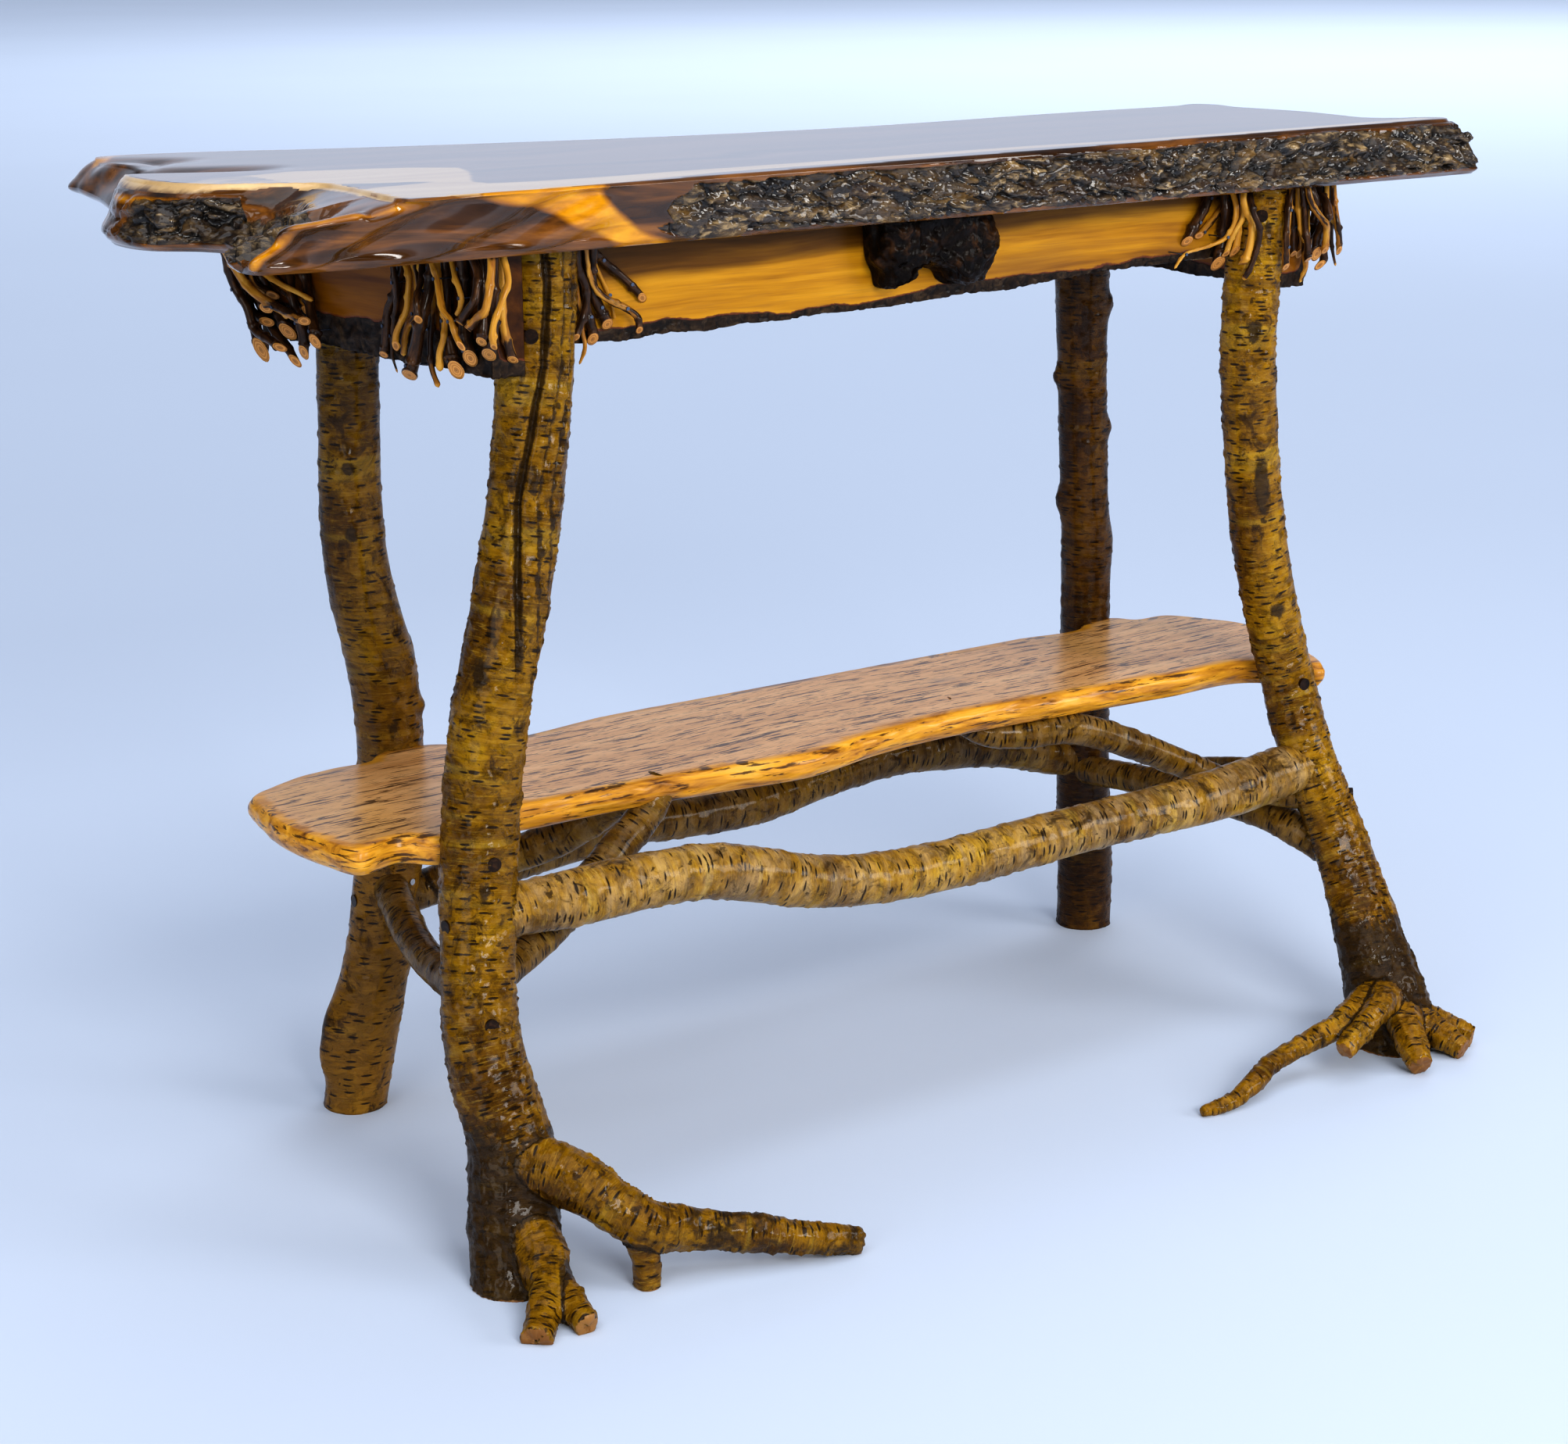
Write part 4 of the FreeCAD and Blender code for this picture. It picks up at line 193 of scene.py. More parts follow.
def branch_mesh(pts, seg=72, gap=0.003, level=False, relief=None, round_tip=False, start_tip=False):
    """A branch skin: vertices, faces, cap flags and its own unrolled coordinates.
    pts in measured millimetres. relief(bc, s, ang, r, xyz) gives the height of the bark."""
    P = np.asarray(pts, float)
    P = np.concatenate([to_m(P[:, :3]), P[:, 3:4] * MM], 1)
    Q, s = curve_through(P, gap)
    C, R = Q[:, :3], Q[:, 3].copy()
    T, N, B = frames_along(C, level)
    n = len(C)
    ang = np.linspace(0, 2 * np.pi, seg, endpoint=False)
    ca, sa = np.cos(ang), np.sin(ang)
    A = np.tile(ang, (n, 1)).ravel()
    S = np.repeat(s, seg)
    RR = np.repeat(R, seg)
    rm = float(np.mean(R))
    bc = np.stack([RR * np.cos(A), RR * np.sin(A), S], 1)
    dirs = (ca[None, :, None] * N[:, None, :] + sa[None, :, None] * B[:, None, :]).reshape(-1, 3)
    base = np.repeat(C, seg, 0)
    rr = RR
    if relief is not None:
        rr = RR + relief(bc, S, A, RR, base + dirs * RR[:, None])
    if round_tip:
        k = np.clip((s[-1] - S) / (1.2 * R[-1]), 0, 1)
        rr = rr * np.sqrt(np.clip(1 - (1 - k) ** 2, 0.02, 1))
    V = base + dirs * rr[:, None]
    quads = []
    for i in range(n - 1):
        a = i * seg + np.arange(seg)
        b = i * seg + (np.arange(seg) + 1) % seg
        quads.append(np.stack([a, b, b + seg, a + seg], 1))
    F = np.concatenate(quads).tolist()
    cap = [0] * len(F)
    V, bc = list(V), list(bc)
    # end faces: rings towards the middle
    for end in (0, n - 1):
        ring0 = [end * seg + k for k in range(seg)]
        c = C[end]
        prev = ring0
        for q in (0.66, 0.33):
            ring = []
            for k in range(seg):
                p = c + (np.array(V[ring0[k]]) - c) * q
                ring.append(len(V))
                V.append(p)
                bc.append(np.array([R[end] * q * ca[k], R[end] * q * sa[k], s[end]]))
            for k in range(seg):
                k2 = (k + 1) % seg
                f = [prev[k], prev[k2], ring[k2], ring[k]]
                F.append(f if end else f[::-1])
                cap.append(1)
            prev = ring
        m = len(V)
        V.append(np.mean([V[q] for q in prev], axis=0))
        bc.append(np.array([0, 0, s[end]]))
        for k in range(seg):
            k2 = (k + 1) % seg
            f = [prev[k], prev[k2], m]
            F.append(f if end else f[::-1])
            cap.append(1)
    V, bc = np.array(V), np.array(bc)
    # quads above run counter-clockwise seen from outside when N x B = T
    return V, F, cap, bc


def bump_at(S, A, s0, a0, hs, ha, height, r):
    """A rounded knob at length s0 and angle a0 (degrees), hs and ha its half sizes in metres."""
    d = (A - math.radians(a0) + np.pi) % (2 * np.pi) - np.pi
    return height * np.exp(-((S - s0) / hs) ** 2 - (d * r / ha) ** 2)



# ------------------------------------------------------------- materials
class Graph:
    """Short names for shader nodes."""

    def __init__(self, name, **shader):
        self.mat = bpy.data.materials.new(name)
        self.mat.use_nodes = True
        self.nt = self.mat.node_tree
        self.nt.nodes.clear()
        self.out = self.nt.nodes.new("ShaderNodeOutputMaterial")
        self.bsdf = self.nt.nodes.new("ShaderNodeBsdfPrincipled")
        self.nt.links.new(self.bsdf.outputs[0], self.out.inputs[0])
        for k, v in shader.items():
            self.bsdf.inputs[k.replace("_", " ")].default_value = v

    def put(self, sock, v):
        if isinstance(v, bpy.types.NodeSocket):
            self.nt.links.new(v, sock)
        elif v is not None:
            if hasattr(sock.default_value, "__len__") and not hasattr(v, "__len__"):
                v = (v,) * len(sock.default_value)
            if hasattr(sock.default_value, "__len__") and len(sock.default_value) == 4 and len(v) == 3:
                v = tuple(v) + (1.0,)
            sock.default_value = v

    def node(self, kind, ins=None, **props):
        n = self.nt.nodes.new(kind)
        for k, v in props.items():
            setattr(n, k, v)
        for k, v in (ins or {}).items():
            self.put(n.inputs[k], v)
        return n

    def attr(self, name, out="Vector"):
        return self.node("ShaderNodeAttribute", attribute_name=name).outputs[out]

    def obj(self):
        return self.node("ShaderNodeTexCoord").outputs["Object"]

    def scaled(self, vec, scale, loc=(0, 0, 0)):
        return self.node("ShaderNodeMapping", {"Vector": vec, "Scale": scale, "Location": loc}).outputs[0]

    def noise(self, vec, scale=1.0, detail=4.0, rough=0.55, distort=0.0, out="Fac"):
        return self.node("ShaderNodeTexNoise", {"Vector": vec, "Scale": scale, "Detail": detail, "Roughness": rough, "Distortion": distort}).outputs[out]

    def voronoi(self, vec, scale=1.0, feature="F1", out="Distance", randomness=1.0):
        n = self.node("ShaderNodeTexVoronoi", {"Vector": vec, "Scale": scale}, feature=feature)
        n.inputs["Randomness"].default_value = randomness
        return n.outputs[out]

    def ramp(self, fac, stops):
        n = self.node("ShaderNodeValToRGB", {"Fac": fac})
        e = n.color_ramp.elements
        while len(e) < len(stops):
            e.new(0.5)
        for q, (pos, col) in zip(e, stops):
            q.position = pos
            q.color = tuple(col) + (1.0,) if len(col) == 3 else col
        return n.outputs["Color"]

    def lim(self, v, lo, hi, a=0.0, b=1.0):
        """Smooth step of v between lo and hi, to the range a to b."""
        n = self.node("ShaderNodeMapRange", {"Value": v, "From Min": lo, "From Max": hi, "To Min": a, "To Max": b})
        n.interpolation_type = "SMOOTHSTEP"
        return n.outputs[0]

    def math(self, op, a, b=None, c=None):
        n = self.node("ShaderNodeMath", operation=op)
        self.put(n.inputs[0], a)
        if b is not None:
            self.put(n.inputs[1], b)
        if c is not None:
            self.put(n.inputs[2], c)
        return n.outputs[0]

    def mix(self, fac, a, b, mode="MIX"):
        n = self.node("ShaderNodeMix", data_type="RGBA", blend_type=mode)
        self.put(n.inputs[0], fac)
        self.put(n.inputs[6], a)
        self.put(n.inputs[7], b)
        return n.outputs[2]

    def mixf(self, fac, a, b):
        n = self.node("ShaderNodeMix", data_type="FLOAT")
        self.put(n.inputs[0], fac)
        self.put(n.inputs[2], a)
        self.put(n.inputs[3], b)
        return n.outputs[0]

    def bump(self, height, strength=0.5, distance=0.001, normal=None):
        n = self.node("ShaderNodeBump", {"Height": height, "Strength": strength, "Distance": distance})
        if normal is not None:
            self.nt.links.new(normal, n.inputs["Normal"])
        return n.outputs[0]

    def done(self, color=None, rough=None, normal=None, metallic=None):
        if color is not None:
            self.put(self.bsdf.inputs["Base Color"], color)
        if rough is not None:
            self.put(self.bsdf.inputs["Roughness"], rough)
        if normal is not None:
            self.nt.links.new(normal, self.bsdf.inputs["Normal"])
        if metallic is not None:
            self.put(self.bsdf.inputs["Metallic"], metallic)
        return self.mat


def birch(name, painted_light_lift=1.0, shade_patch_boost=0.0, pale=0.0, low=0.0, warm=(1.0, 0.91, 0.72)):
    """Shiny yellow birch bark: golden olive skin, thin curls and short dark dashes round the branch. Each copy is
    lighter or darker for the light on its part, which is painted light and shade.
    """
    g = Graph(name, Coat_Weight=0.26, Coat_Roughness=0.16, Specular_IOR_Level=0.05)
    bc = g.attr("bc")
    big = g.noise(g.scaled(bc, (11, 11, 8)), 1, 5, 0.62, 0.8)
    c = g.ramp(big, [(0.30, (0.080 * painted_light_lift, 0.032 * painted_light_lift, 0.001 * painted_light_lift)), (0.43, (0.200 * painted_light_lift, 0.092 * painted_light_lift, 0.002 * painted_light_lift)),
                     (0.54, (0.380 * painted_light_lift, 0.196 * painted_light_lift, 0.003 * painted_light_lift)), (0.66, (0.560 * painted_light_lift, 0.330 * painted_light_lift, 0.012 * painted_light_lift)), (0.78, (0.70 * painted_light_lift, 0.48 * painted_light_lift, 0.10 * painted_light_lift))])
    # mottling
    mot = g.noise(g.scaled(bc, (70, 70, 110)), 1, 6, 0.7, 0.6)
    c = g.mix(g.lim(mot, 0.50, 0.66, 0.0, 0.72), c, (0.075 * painted_light_lift, 0.034 * painted_light_lift, 0.006 * painted_light_lift))
    c = g.mix(g.lim(mot, 0.44, 0.32, 0.0, 0.45), c, (0.56 * painted_light_lift, 0.35 * painted_light_lift, 0.045 * painted_light_lift))
    # thin bands round the branch
    band = g.noise(g.scaled(bc, (16, 16, 330)), 1, 5, 0.65, 0.3)
    c = g.mix(g.lim(band, 0.48, 0.72, 0.0, 0.55), c, (0.070 * painted_light_lift, 0.032 * painted_light_lift, 0.006 * painted_light_lift))
    fine = g.noise(g.scaled(bc, (60, 60, 900)), 1, 3, 0.6)
    c = g.mix(g.lim(fine, 0.54, 0.74, 0.0, 0.42), c, (0.76 * painted_light_lift, 0.50 * painted_light_lift, 0.08 * painted_light_lift))
    # broad paler and darker belts
    belt = g.noise(g.scaled(bc, (5, 5, 46)), 1, 3, 0.55, 0.5)
    c = g.mix(g.lim(belt, 0.55, 0.72, 0.0, 0.62), c, (0.60 * painted_light_lift, 0.40 * painted_light_lift, 0.050 * painted_light_lift))
    c = g.mix(g.lim(belt, 0.44, 0.30, 0.0, 0.50), c, (0.105 * painted_light_lift, 0.050 * painted_light_lift, 0.004 * painted_light_lift))
    # silvery skin, paler still as a painted sheen, and a lighter foot where the light reaches it, which is painted
    # light
    if pale:
        silver_and_sheen = g.noise(g.scaled(bc, (24, 24, 60)), 1, 4, 0.6, 0.6)
        c = g.mix(g.lim(silver_and_sheen, 0.38, 0.66, 0.15 * pale, pale), c, (0.60 * painted_light_lift, 0.43 * painted_light_lift, 0.235 * painted_light_lift))
    if low:
        oz = g.node("ShaderNodeSeparateXYZ", {"Vector": g.obj()}).outputs[2]
        c = g.mix(g.lim(oz, 0.46, 0.20, 0.0, low), c, (0.42, 0.215, 0.030))
    # dark weathered patches, with more of them on the darker copies as painted shade
    pat = g.noise(g.scaled(bc, (34, 34, 26)), 1, 7, 0.70, 1.0)
    c = g.mix(g.lim(pat, 0.545, 0.640, 0.0, 0.74 + 0.18 * shade_patch_boost), c, (0.026, 0.012, 0.004))
    spots = g.noise(g.scaled(bc, (120, 120, 150)), 1, 4, 0.6, 0.5)
    c = g.mix(g.lim(spots, 0.61, 0.68, 0.0, 0.8), c, (0.024, 0.012, 0.005))
    # lenticels
    v = g.scaled(bc, (58, 58, 290))
    dist = g.voronoi(v, 1.0)
    pick = g.math("GREATER_THAN", g.node("ShaderNodeSeparateColor", {"Color": g.voronoi(v, 1.0, out="Color")}).outputs[0], 0.40)
    dash = g.math("MULTIPLY", g.lim(dist, 0.34, 0.22), pick)
    c = g.mix(g.math("MULTIPLY", dash, 0.94), c, (0.014, 0.007, 0.003))
    dk = g.attr("dark", "Fac")
    rag = g.noise(g.scaled(bc, (160, 160, 130)), 1, 4, 0.6)
    dkm = g.lim(g.math("ADD", dk, g.math("MULTIPLY", g.math("SUBTRACT", rag, 0.5), 0.9)), 0.35, 0.62)
    c = g.mix(g.math("MULTIPLY", dkm, 0.88), c, (0.030, 0.018, 0.009))
    c = g.scaled(c, warm)
    rough = g.mixf(g.lim(pat, 0.5, 0.7), 0.33, 0.52)
    h = g.math("ADD", g.math("MULTIPLY", band, 0.5), g.math("MULTIPLY", fine, 0.22))
    h = g.math("SUBTRACT", h, g.math("MULTIPLY", dash, 0.45))
    h = g.math("ADD", h, g.math("MULTIPLY", spots, 0.35))
    h = g.math("ADD", h, g.math("MULTIPLY", g.math("MULTIPLY", dkm, rag), 0.8))
    h = g.math("SUBTRACT", h, g.math("MULTIPLY", g.lim(mot, 0.46, 0.66), 0.45))
    n = g.bump(h, 1.0, 0.0022)
    return g.done(c, rough, n)


def end_grain(name, light=1.0):
    g = Graph(name, Coat_Weight=0.15, Coat_Roughness=0.3, Specular_IOR_Level=0.15)
    bc = g.attr("bc")
    sep = g.node("ShaderNodeSeparateXYZ", {"Vector": bc})
    r = g.math("SQRT", g.math("ADD", g.math("MULTIPLY", sep.outputs[0], sep.outputs[0]), g.math("MULTIPLY", sep.outputs[1], sep.outputs[1])))
    w = g.math("ADD", r, g.math("MULTIPLY", g.noise(bc, 180, 3), 0.0012))
    ring = g.math("SINE", g.math("MULTIPLY", w, 4200.0))
    c = g.mix(g.lim(ring, -0.6, 1.0), (0.52 * light, 0.245 * light, 0.062 * light), (0.34 * light, 0.135 * light, 0.028 * light))
    spot = g.lim(r, 0.0016, 0.0004)
    c = g.mix(g.math("MULTIPLY", spot, 0.7), c, (0.16, 0.06, 0.02))
    st = g.noise(g.scaled(bc, (900, 900, 900)), 1, 3)
    c = g.mix(g.lim(st, 0.45, 0.75, 0, 0.35), c, (0.30 * light, 0.14 * light, 0.05 * light))
    return g.done(c, 0.42, g.bump(g.math("ADD", g.math("MULTIPLY", ring, 0.2), st), 0.25, 0.0004))


def slab_material():
    """Polished walnut with cream sapwood, orange edges and thick bark, by signed distances stored on the mesh."""
    g = Graph("slab_walnut_polished", Coat_Weight=0.7, Coat_Roughness=0.09, Specular_IOR_Level=0.2)
    o = g.obj()
    ragged = g.noise(g.scaled(o, (22, 70, 40)), 1, 5, 0.6, 0.8)
    ragg = g.math("MULTIPLY", g.math("SUBTRACT", ragged, 0.5), 0.022)
    fine = g.noise(g.scaled(o, (60, 420, 420)), 1, 5, 0.6, 0.3)
    warp = g.noise(g.scaled(o, (2.2, 6, 6)), 1, 3, 0.5, 0.4)
    sep = g.node("ShaderNodeSeparateXYZ", {"Vector": o})
    y = g.math("ADD", sep.outputs[1], g.math("MULTIPLY", warp, 0.16))
    rings = g.noise(g.node("ShaderNodeCombineXYZ", {"X": g.math("MULTIPLY", sep.outputs[0], 1.6), "Y": g.math("MULTIPLY", y, 46.0), "Z": g.math("MULTIPLY", sep.outputs[2], 20.0)}).outputs[0], 1, 4, 0.55, 0.2)
    heart = g.ramp(rings, [(0.30, (0.055, 0.024, 0.012)), (0.46, (0.110, 0.052, 0.028)), (0.60, (0.185, 0.095, 0.055)), (0.78, (0.260, 0.145, 0.088))])
    heart = g.mix(g.lim(fine, 0.42, 0.75, 0.0, 0.35), heart, (0.045, 0.022, 0.013))
    cream = g.ramp(rings, [(0.30, (0.60, 0.37, 0.155)), (0.55, (0.80, 0.54, 0.25)), (0.80, (0.88, 0.64, 0.34))])
    cream = g.mix(g.lim(fine, 0.5, 0.8, 0.0, 0.25), cream, (0.32, 0.17, 0.06))
    sap = g.math("ADD", g.attr("sap", "Fac"), g.math("MULTIPLY", ragg, 0.35))
    c = g.mix(g.lim(sap, -0.0022, 0.0022), heart, cream)
    # polished inner bark, nearly black, with warm streaks
    pb = g.math("ADD", g.attr("polish", "Fac"), g.math("MULTIPLY", ragg, 0.45))
    st = g.noise(g.scaled(o, (7, 30, 62)), 1, 5, 0.58, 0.7)
    pbc = g.ramp(st, [(0.30, (0.016, 0.006, 0.0015)), (0.46, (0.060, 0.022, 0.004)), (0.58, (0.165, 0.058, 0.008)), (0.76, (0.36, 0.135, 0.015))])
    c = g.mix(g.lim(pb, -0.0022, 0.0022), c, pbc)
    # orange, deep amber in the thin places
    og = g.math("ADD", g.attr("amber", "Fac"), g.math("MULTIPLY", ragg, 0.16))
    ogc = g.ramp(g.noise(g.scaled(o, (26, 120, 120)), 1, 4, 0.55, 0.4), [(0.30, (0.42, 0.150, 0.002)), (0.52, (0.68, 0.275, 0.003)), (0.75, (0.80, 0.39, 0.012))])
    ogc = g.mix(g.lim(og, 0.0046, 0.0, 0.0, 0.85), ogc, (0.20, 0.062, 0.004))
    c = g.mix(g.lim(og, -0.0014, 0.0014), c, ogc)
    # thick bark
    bk = g.attr("bark", "Fac")
    bkm = g.lim(g.math("ADD", bk, g.math("MULTIPLY", g.math("SUBTRACT", ragged, 0.5), 0.8)), 0.36, 0.52)
    deep = g.attr("deep", "Fac")
    tone = g.attr("tone", "Fac")
    n1 = g.noise(g.scaled(o, (64, 64, 165)), 1, 6, 0.66, 0.9)
    n2 = g.noise(g.scaled(o, (300, 300, 520)), 1, 5, 0.65, 0.3)
    n3 = g.noise(g.scaled(o, (30, 30, 60)), 1, 3, 0.5, 0.5)
    bc = g.ramp(n1, [(0.32, (0.005, 0.0028, 0.0014)), (0.46, (0.030, 0.017, 0.007)), (0.57, (0.090, 0.055, 0.022)), (0.72, (0.210, 0.140, 0.062))])
    bc = g.mix(g.lim(n3, 0.52, 0.70, 0.0, 0.6), bc, (0.210, 0.105, 0.016))
    bc = g.mix(g.lim(tone, 0.62, 0.95, 0.0, 0.5), bc, (0.062, 0.048, 0.040))
    bc = g.mix(g.lim(tone, 0.30, 0.05, 0.0, 0.5), bc, (0.034, 0.014, 0.006))
    # Raised bark plates turn ochre: partly their lighter worn face, partly a painted highlight.
    hi = g.math("MULTIPLY", g.attr("high", "Fac"), g.lim(n1, 0.49, 0.66))
    bc = g.mix(g.math("MULTIPLY", hi, 0.70), bc, (0.52, 0.355, 0.165))
    # Cracks and the deepest hollows of the bark go near black: partly dark furrows, partly painted shade.
    bc = g.mix(g.lim(deep, 0.30, 0.9, 0.0, 0.95), bc, (0.004, 0.0025, 0.002))
    c = g.mix(bkm, c, bc)
    rough = g.mixf(bkm, 0.16, g.mixf(n1, 0.30, 0.62))
    pores = g.noise(g.scaled(o, (35, 900, 900)), 1, 3, 0.5)
    soft = g.noise(g.scaled(o, (5, 8, 8)), 1, 2, 0.5)
    nrm = g.bump(g.math("ADD", g.math("MULTIPLY", pores, 0.05), g.math("MULTIPLY", soft, 0.5)), 0.10, 0.0016)
    hb = g.math("MULTIPLY", g.math("ADD", n1, g.math("MULTIPLY", n2, 0.25)), bkm)
    nrm = g.bump(hb, 1.0, 0.0034, nrm)
    return g.done(c, rough, nrm)


def board_material(name, tint=(1, 1, 1), figure=1.0):
    """Yellow-brown board with its grain along X or Y, and a bark edge by attribute."""
    g = Graph(name, Coat_Weight=0.13, Coat_Roughness=0.22, Specular_IOR_Level=0.10)
    gr = g.attr("grain")
    warp = g.noise(g.scaled(gr, (3, 9, 9)), 1, 2, 0.5)
    sep = g.node("ShaderNodeSeparateXYZ", {"Vector": gr})
    z = g.math("ADD", sep.outputs[2], g.math("MULTIPLY", warp, 0.035))
    v = g.node("ShaderNodeCombineXYZ", {"X": g.math("MULTIPLY", sep.outputs[0], 5.0), "Y": g.math("MULTIPLY", sep.outputs[1], 60.0), "Z": g.math("MULTIPLY", z, 95.0)}).outputs[0]
    rings = g.noise(v, 1, 4, 0.6, 0.25)
    t = tint
    c = g.ramp(rings, [(0.28, (0.24 * t[0], 0.090 * t[1], 0.003 * t[2])), (0.46, (0.45 * t[0], 0.190 * t[1], 0.006 * t[2])),
                       (0.62, (0.58 * t[0], 0.265 * t[1], 0.010 * t[2])), (0.80, (0.66 * t[0], 0.33 * t[1], 0.022 * t[2]))])
    fib = g.noise(g.scaled(gr, (18, 620, 620)), 1, 4, 0.6)
    c = g.mix(g.lim(fib, 0.48, 0.74, 0.0, 0.36), c, (0.26 * t[0], 0.11 * t[1], 0.018 * t[2]))
    shade = g.noise(g.scaled(gr, (4, 14, 20)), 1, 3, 0.5)
    c = g.mix(g.lim(shade, 0.52, 0.75, 0.0, 0.5), c, (0.20 * t[0], 0.085 * t[1], 0.022 * t[2]))
    # darker heartwood and a painted shadow where the mesh says so
    dark_core_and_shadow = g.math("ADD", g.attr("heart", "Fac"), g.math("MULTIPLY", g.math("SUBTRACT", shade, 0.5), 0.030))
    dark_core_shadow_col = g.ramp(rings, [(0.30, (0.042 * t[0], 0.015 * t[1], 0.001 * t[2])), (0.55, (0.110 * t[0], 0.040 * t[1], 0.003 * t[2])), (0.80, (0.24 * t[0], 0.098 * t[1], 0.006 * t[2]))])
    c = g.mix(g.lim(dark_core_and_shadow, -0.004, 0.008, 0.0, 0.94), c, dark_core_shadow_col)
    bk = g.attr("bark", "Fac")
    n1 = g.noise(g.scaled(gr, (110, 110, 150)), 1, 6, 0.66, 0.7)
    inner = g.math("ADD", bk, g.math("MULTIPLY", g.math("SUBTRACT", n1, 0.5), 0.35))
    c = g.mix(g.lim(inner, 0.30, 0.42), c, (0.13, 0.035, 0.012))
    bc = g.ramp(n1, [(0.32, (0.006, 0.003, 0.002)), (0.52, (0.026, 0.014, 0.007)), (0.70, (0.075, 0.045, 0.022))])
    deep = g.attr("deep", "Fac")
    # Bark cracks go near black: partly dark furrows, partly painted shade.
    bc = g.mix(g.lim(deep, 0.3, 1.0, 0.0, 0.9), bc, (0.006, 0.004, 0.003))
    m = g.lim(inner, 0.46, 0.56)
    c = g.mix(m, c, bc)
    rough = g.mixf(m, 0.34, 0.62)
    h = g.math("ADD", g.math("MULTIPLY", fib, 0.15), g.math("MULTIPLY", g.math("MULTIPLY", n1, m), 2.0))
    return g.done(c, rough, g.bump(h, 0.55, 0.0012))


def shelf_material():
    """Satin tan board full of short dark dashes along its length, with an orange rounded edge."""
    g = Graph("shelf_wood_satin", Coat_Weight=0.22, Coat_Roughness=0.22, Specular_IOR_Level=0.2)
    o = g.obj()
    warp = g.noise(g.scaled(o, (3, 5, 5)), 1, 2, 0.5)
    sep = g.node("ShaderNodeSeparateXYZ", {"Vector": o})
    y = g.math("ADD", sep.outputs[1], g.math("MULTIPLY", warp, 0.05))
    v = g.node("ShaderNodeCombineXYZ", {"X": g.math("MULTIPLY", sep.outputs[0], 4.0), "Y": g.math("MULTIPLY", y, 60.0), "Z": g.math("MULTIPLY", sep.outputs[2], 40.0)}).outputs[0]
    rings = g.noise(v, 1, 4, 0.6, 0.2)
    c = g.ramp(rings, [(0.28, (0.56, 0.270, 0.095)), (0.48, (0.74, 0.390, 0.150)), (0.64, (0.84, 0.475, 0.200)), (0.82, (0.90, 0.560, 0.270))])
    glow = g.noise(g.scaled(o, (5.5, 1.3, 2)), 1, 2, 0.5, 0.2)
    c = g.mix(g.lim(glow, 0.56, 0.74, 0.0, 0.50), c, (0.60, 0.33, 0.085))
    # dashes
    dv = g.node("ShaderNodeCombineXYZ", {"X": g.math("MULTIPLY", sep.outputs[0], 30.0), "Y": g.math("MULTIPLY", y, 330.0), "Z": g.math("MULTIPLY", sep.outputs[2], 150.0)}).outputs[0]
    d1 = g.noise(dv, 1, 3, 0.55, 0.3)
    c = g.mix(g.lim(d1, 0.570, 0.605, 0.0, 0.92), c, (0.060, 0.025, 0.010))
    dv2 = g.scaled(dv, (1.9, 2.2, 2.2), (3.1, 7.7, 1.3))
    d2 = g.noise(dv2, 1, 2, 0.5)
    c = g.mix(g.lim(d2, 0.585, 0.66, 0.0, 0.70), c, (0.110, 0.050, 0.024))
    grey = g.noise(g.scaled(o, (7, 16, 8), (4.2, 1.9, 0)), 1, 3, 0.5, 0.4)
    c = g.mix(g.lim(grey, 0.64, 0.78, 0.0, 0.5), c, (0.22, 0.16, 0.125))
    ed = g.attr("edge", "Fac")
    en = g.noise(g.scaled(o, (16, 60, 140)), 1, 4, 0.6, 0.6)
    ec = g.ramp(en, [(0.30, (0.13, 0.042, 0.006)), (0.42, (0.50, 0.205, 0.018)), (0.58, (0.80, 0.37, 0.028)), (0.78, (0.88, 0.50, 0.09))])
    c = g.mix(g.lim(ed, 0.25, 0.75), c, ec)
    es = g.noise(g.scaled(o, (30, 50, 330)), 1, 4, 0.6, 0.3)
    c = g.mix(g.math("MULTIPLY", g.lim(es, 0.565, 0.625, 0.0, 0.90), g.lim(ed, 0.2, 0.6)), c, (0.045, 0.018, 0.006))
    h = g.math("SUBTRACT", g.math("MULTIPLY", rings, 0.1), g.math("MULTIPLY", g.lim(d1, 0.555, 0.615), 0.3))
    return g.done(c, 0.30, g.bump(h, 0.3, 0.0008))


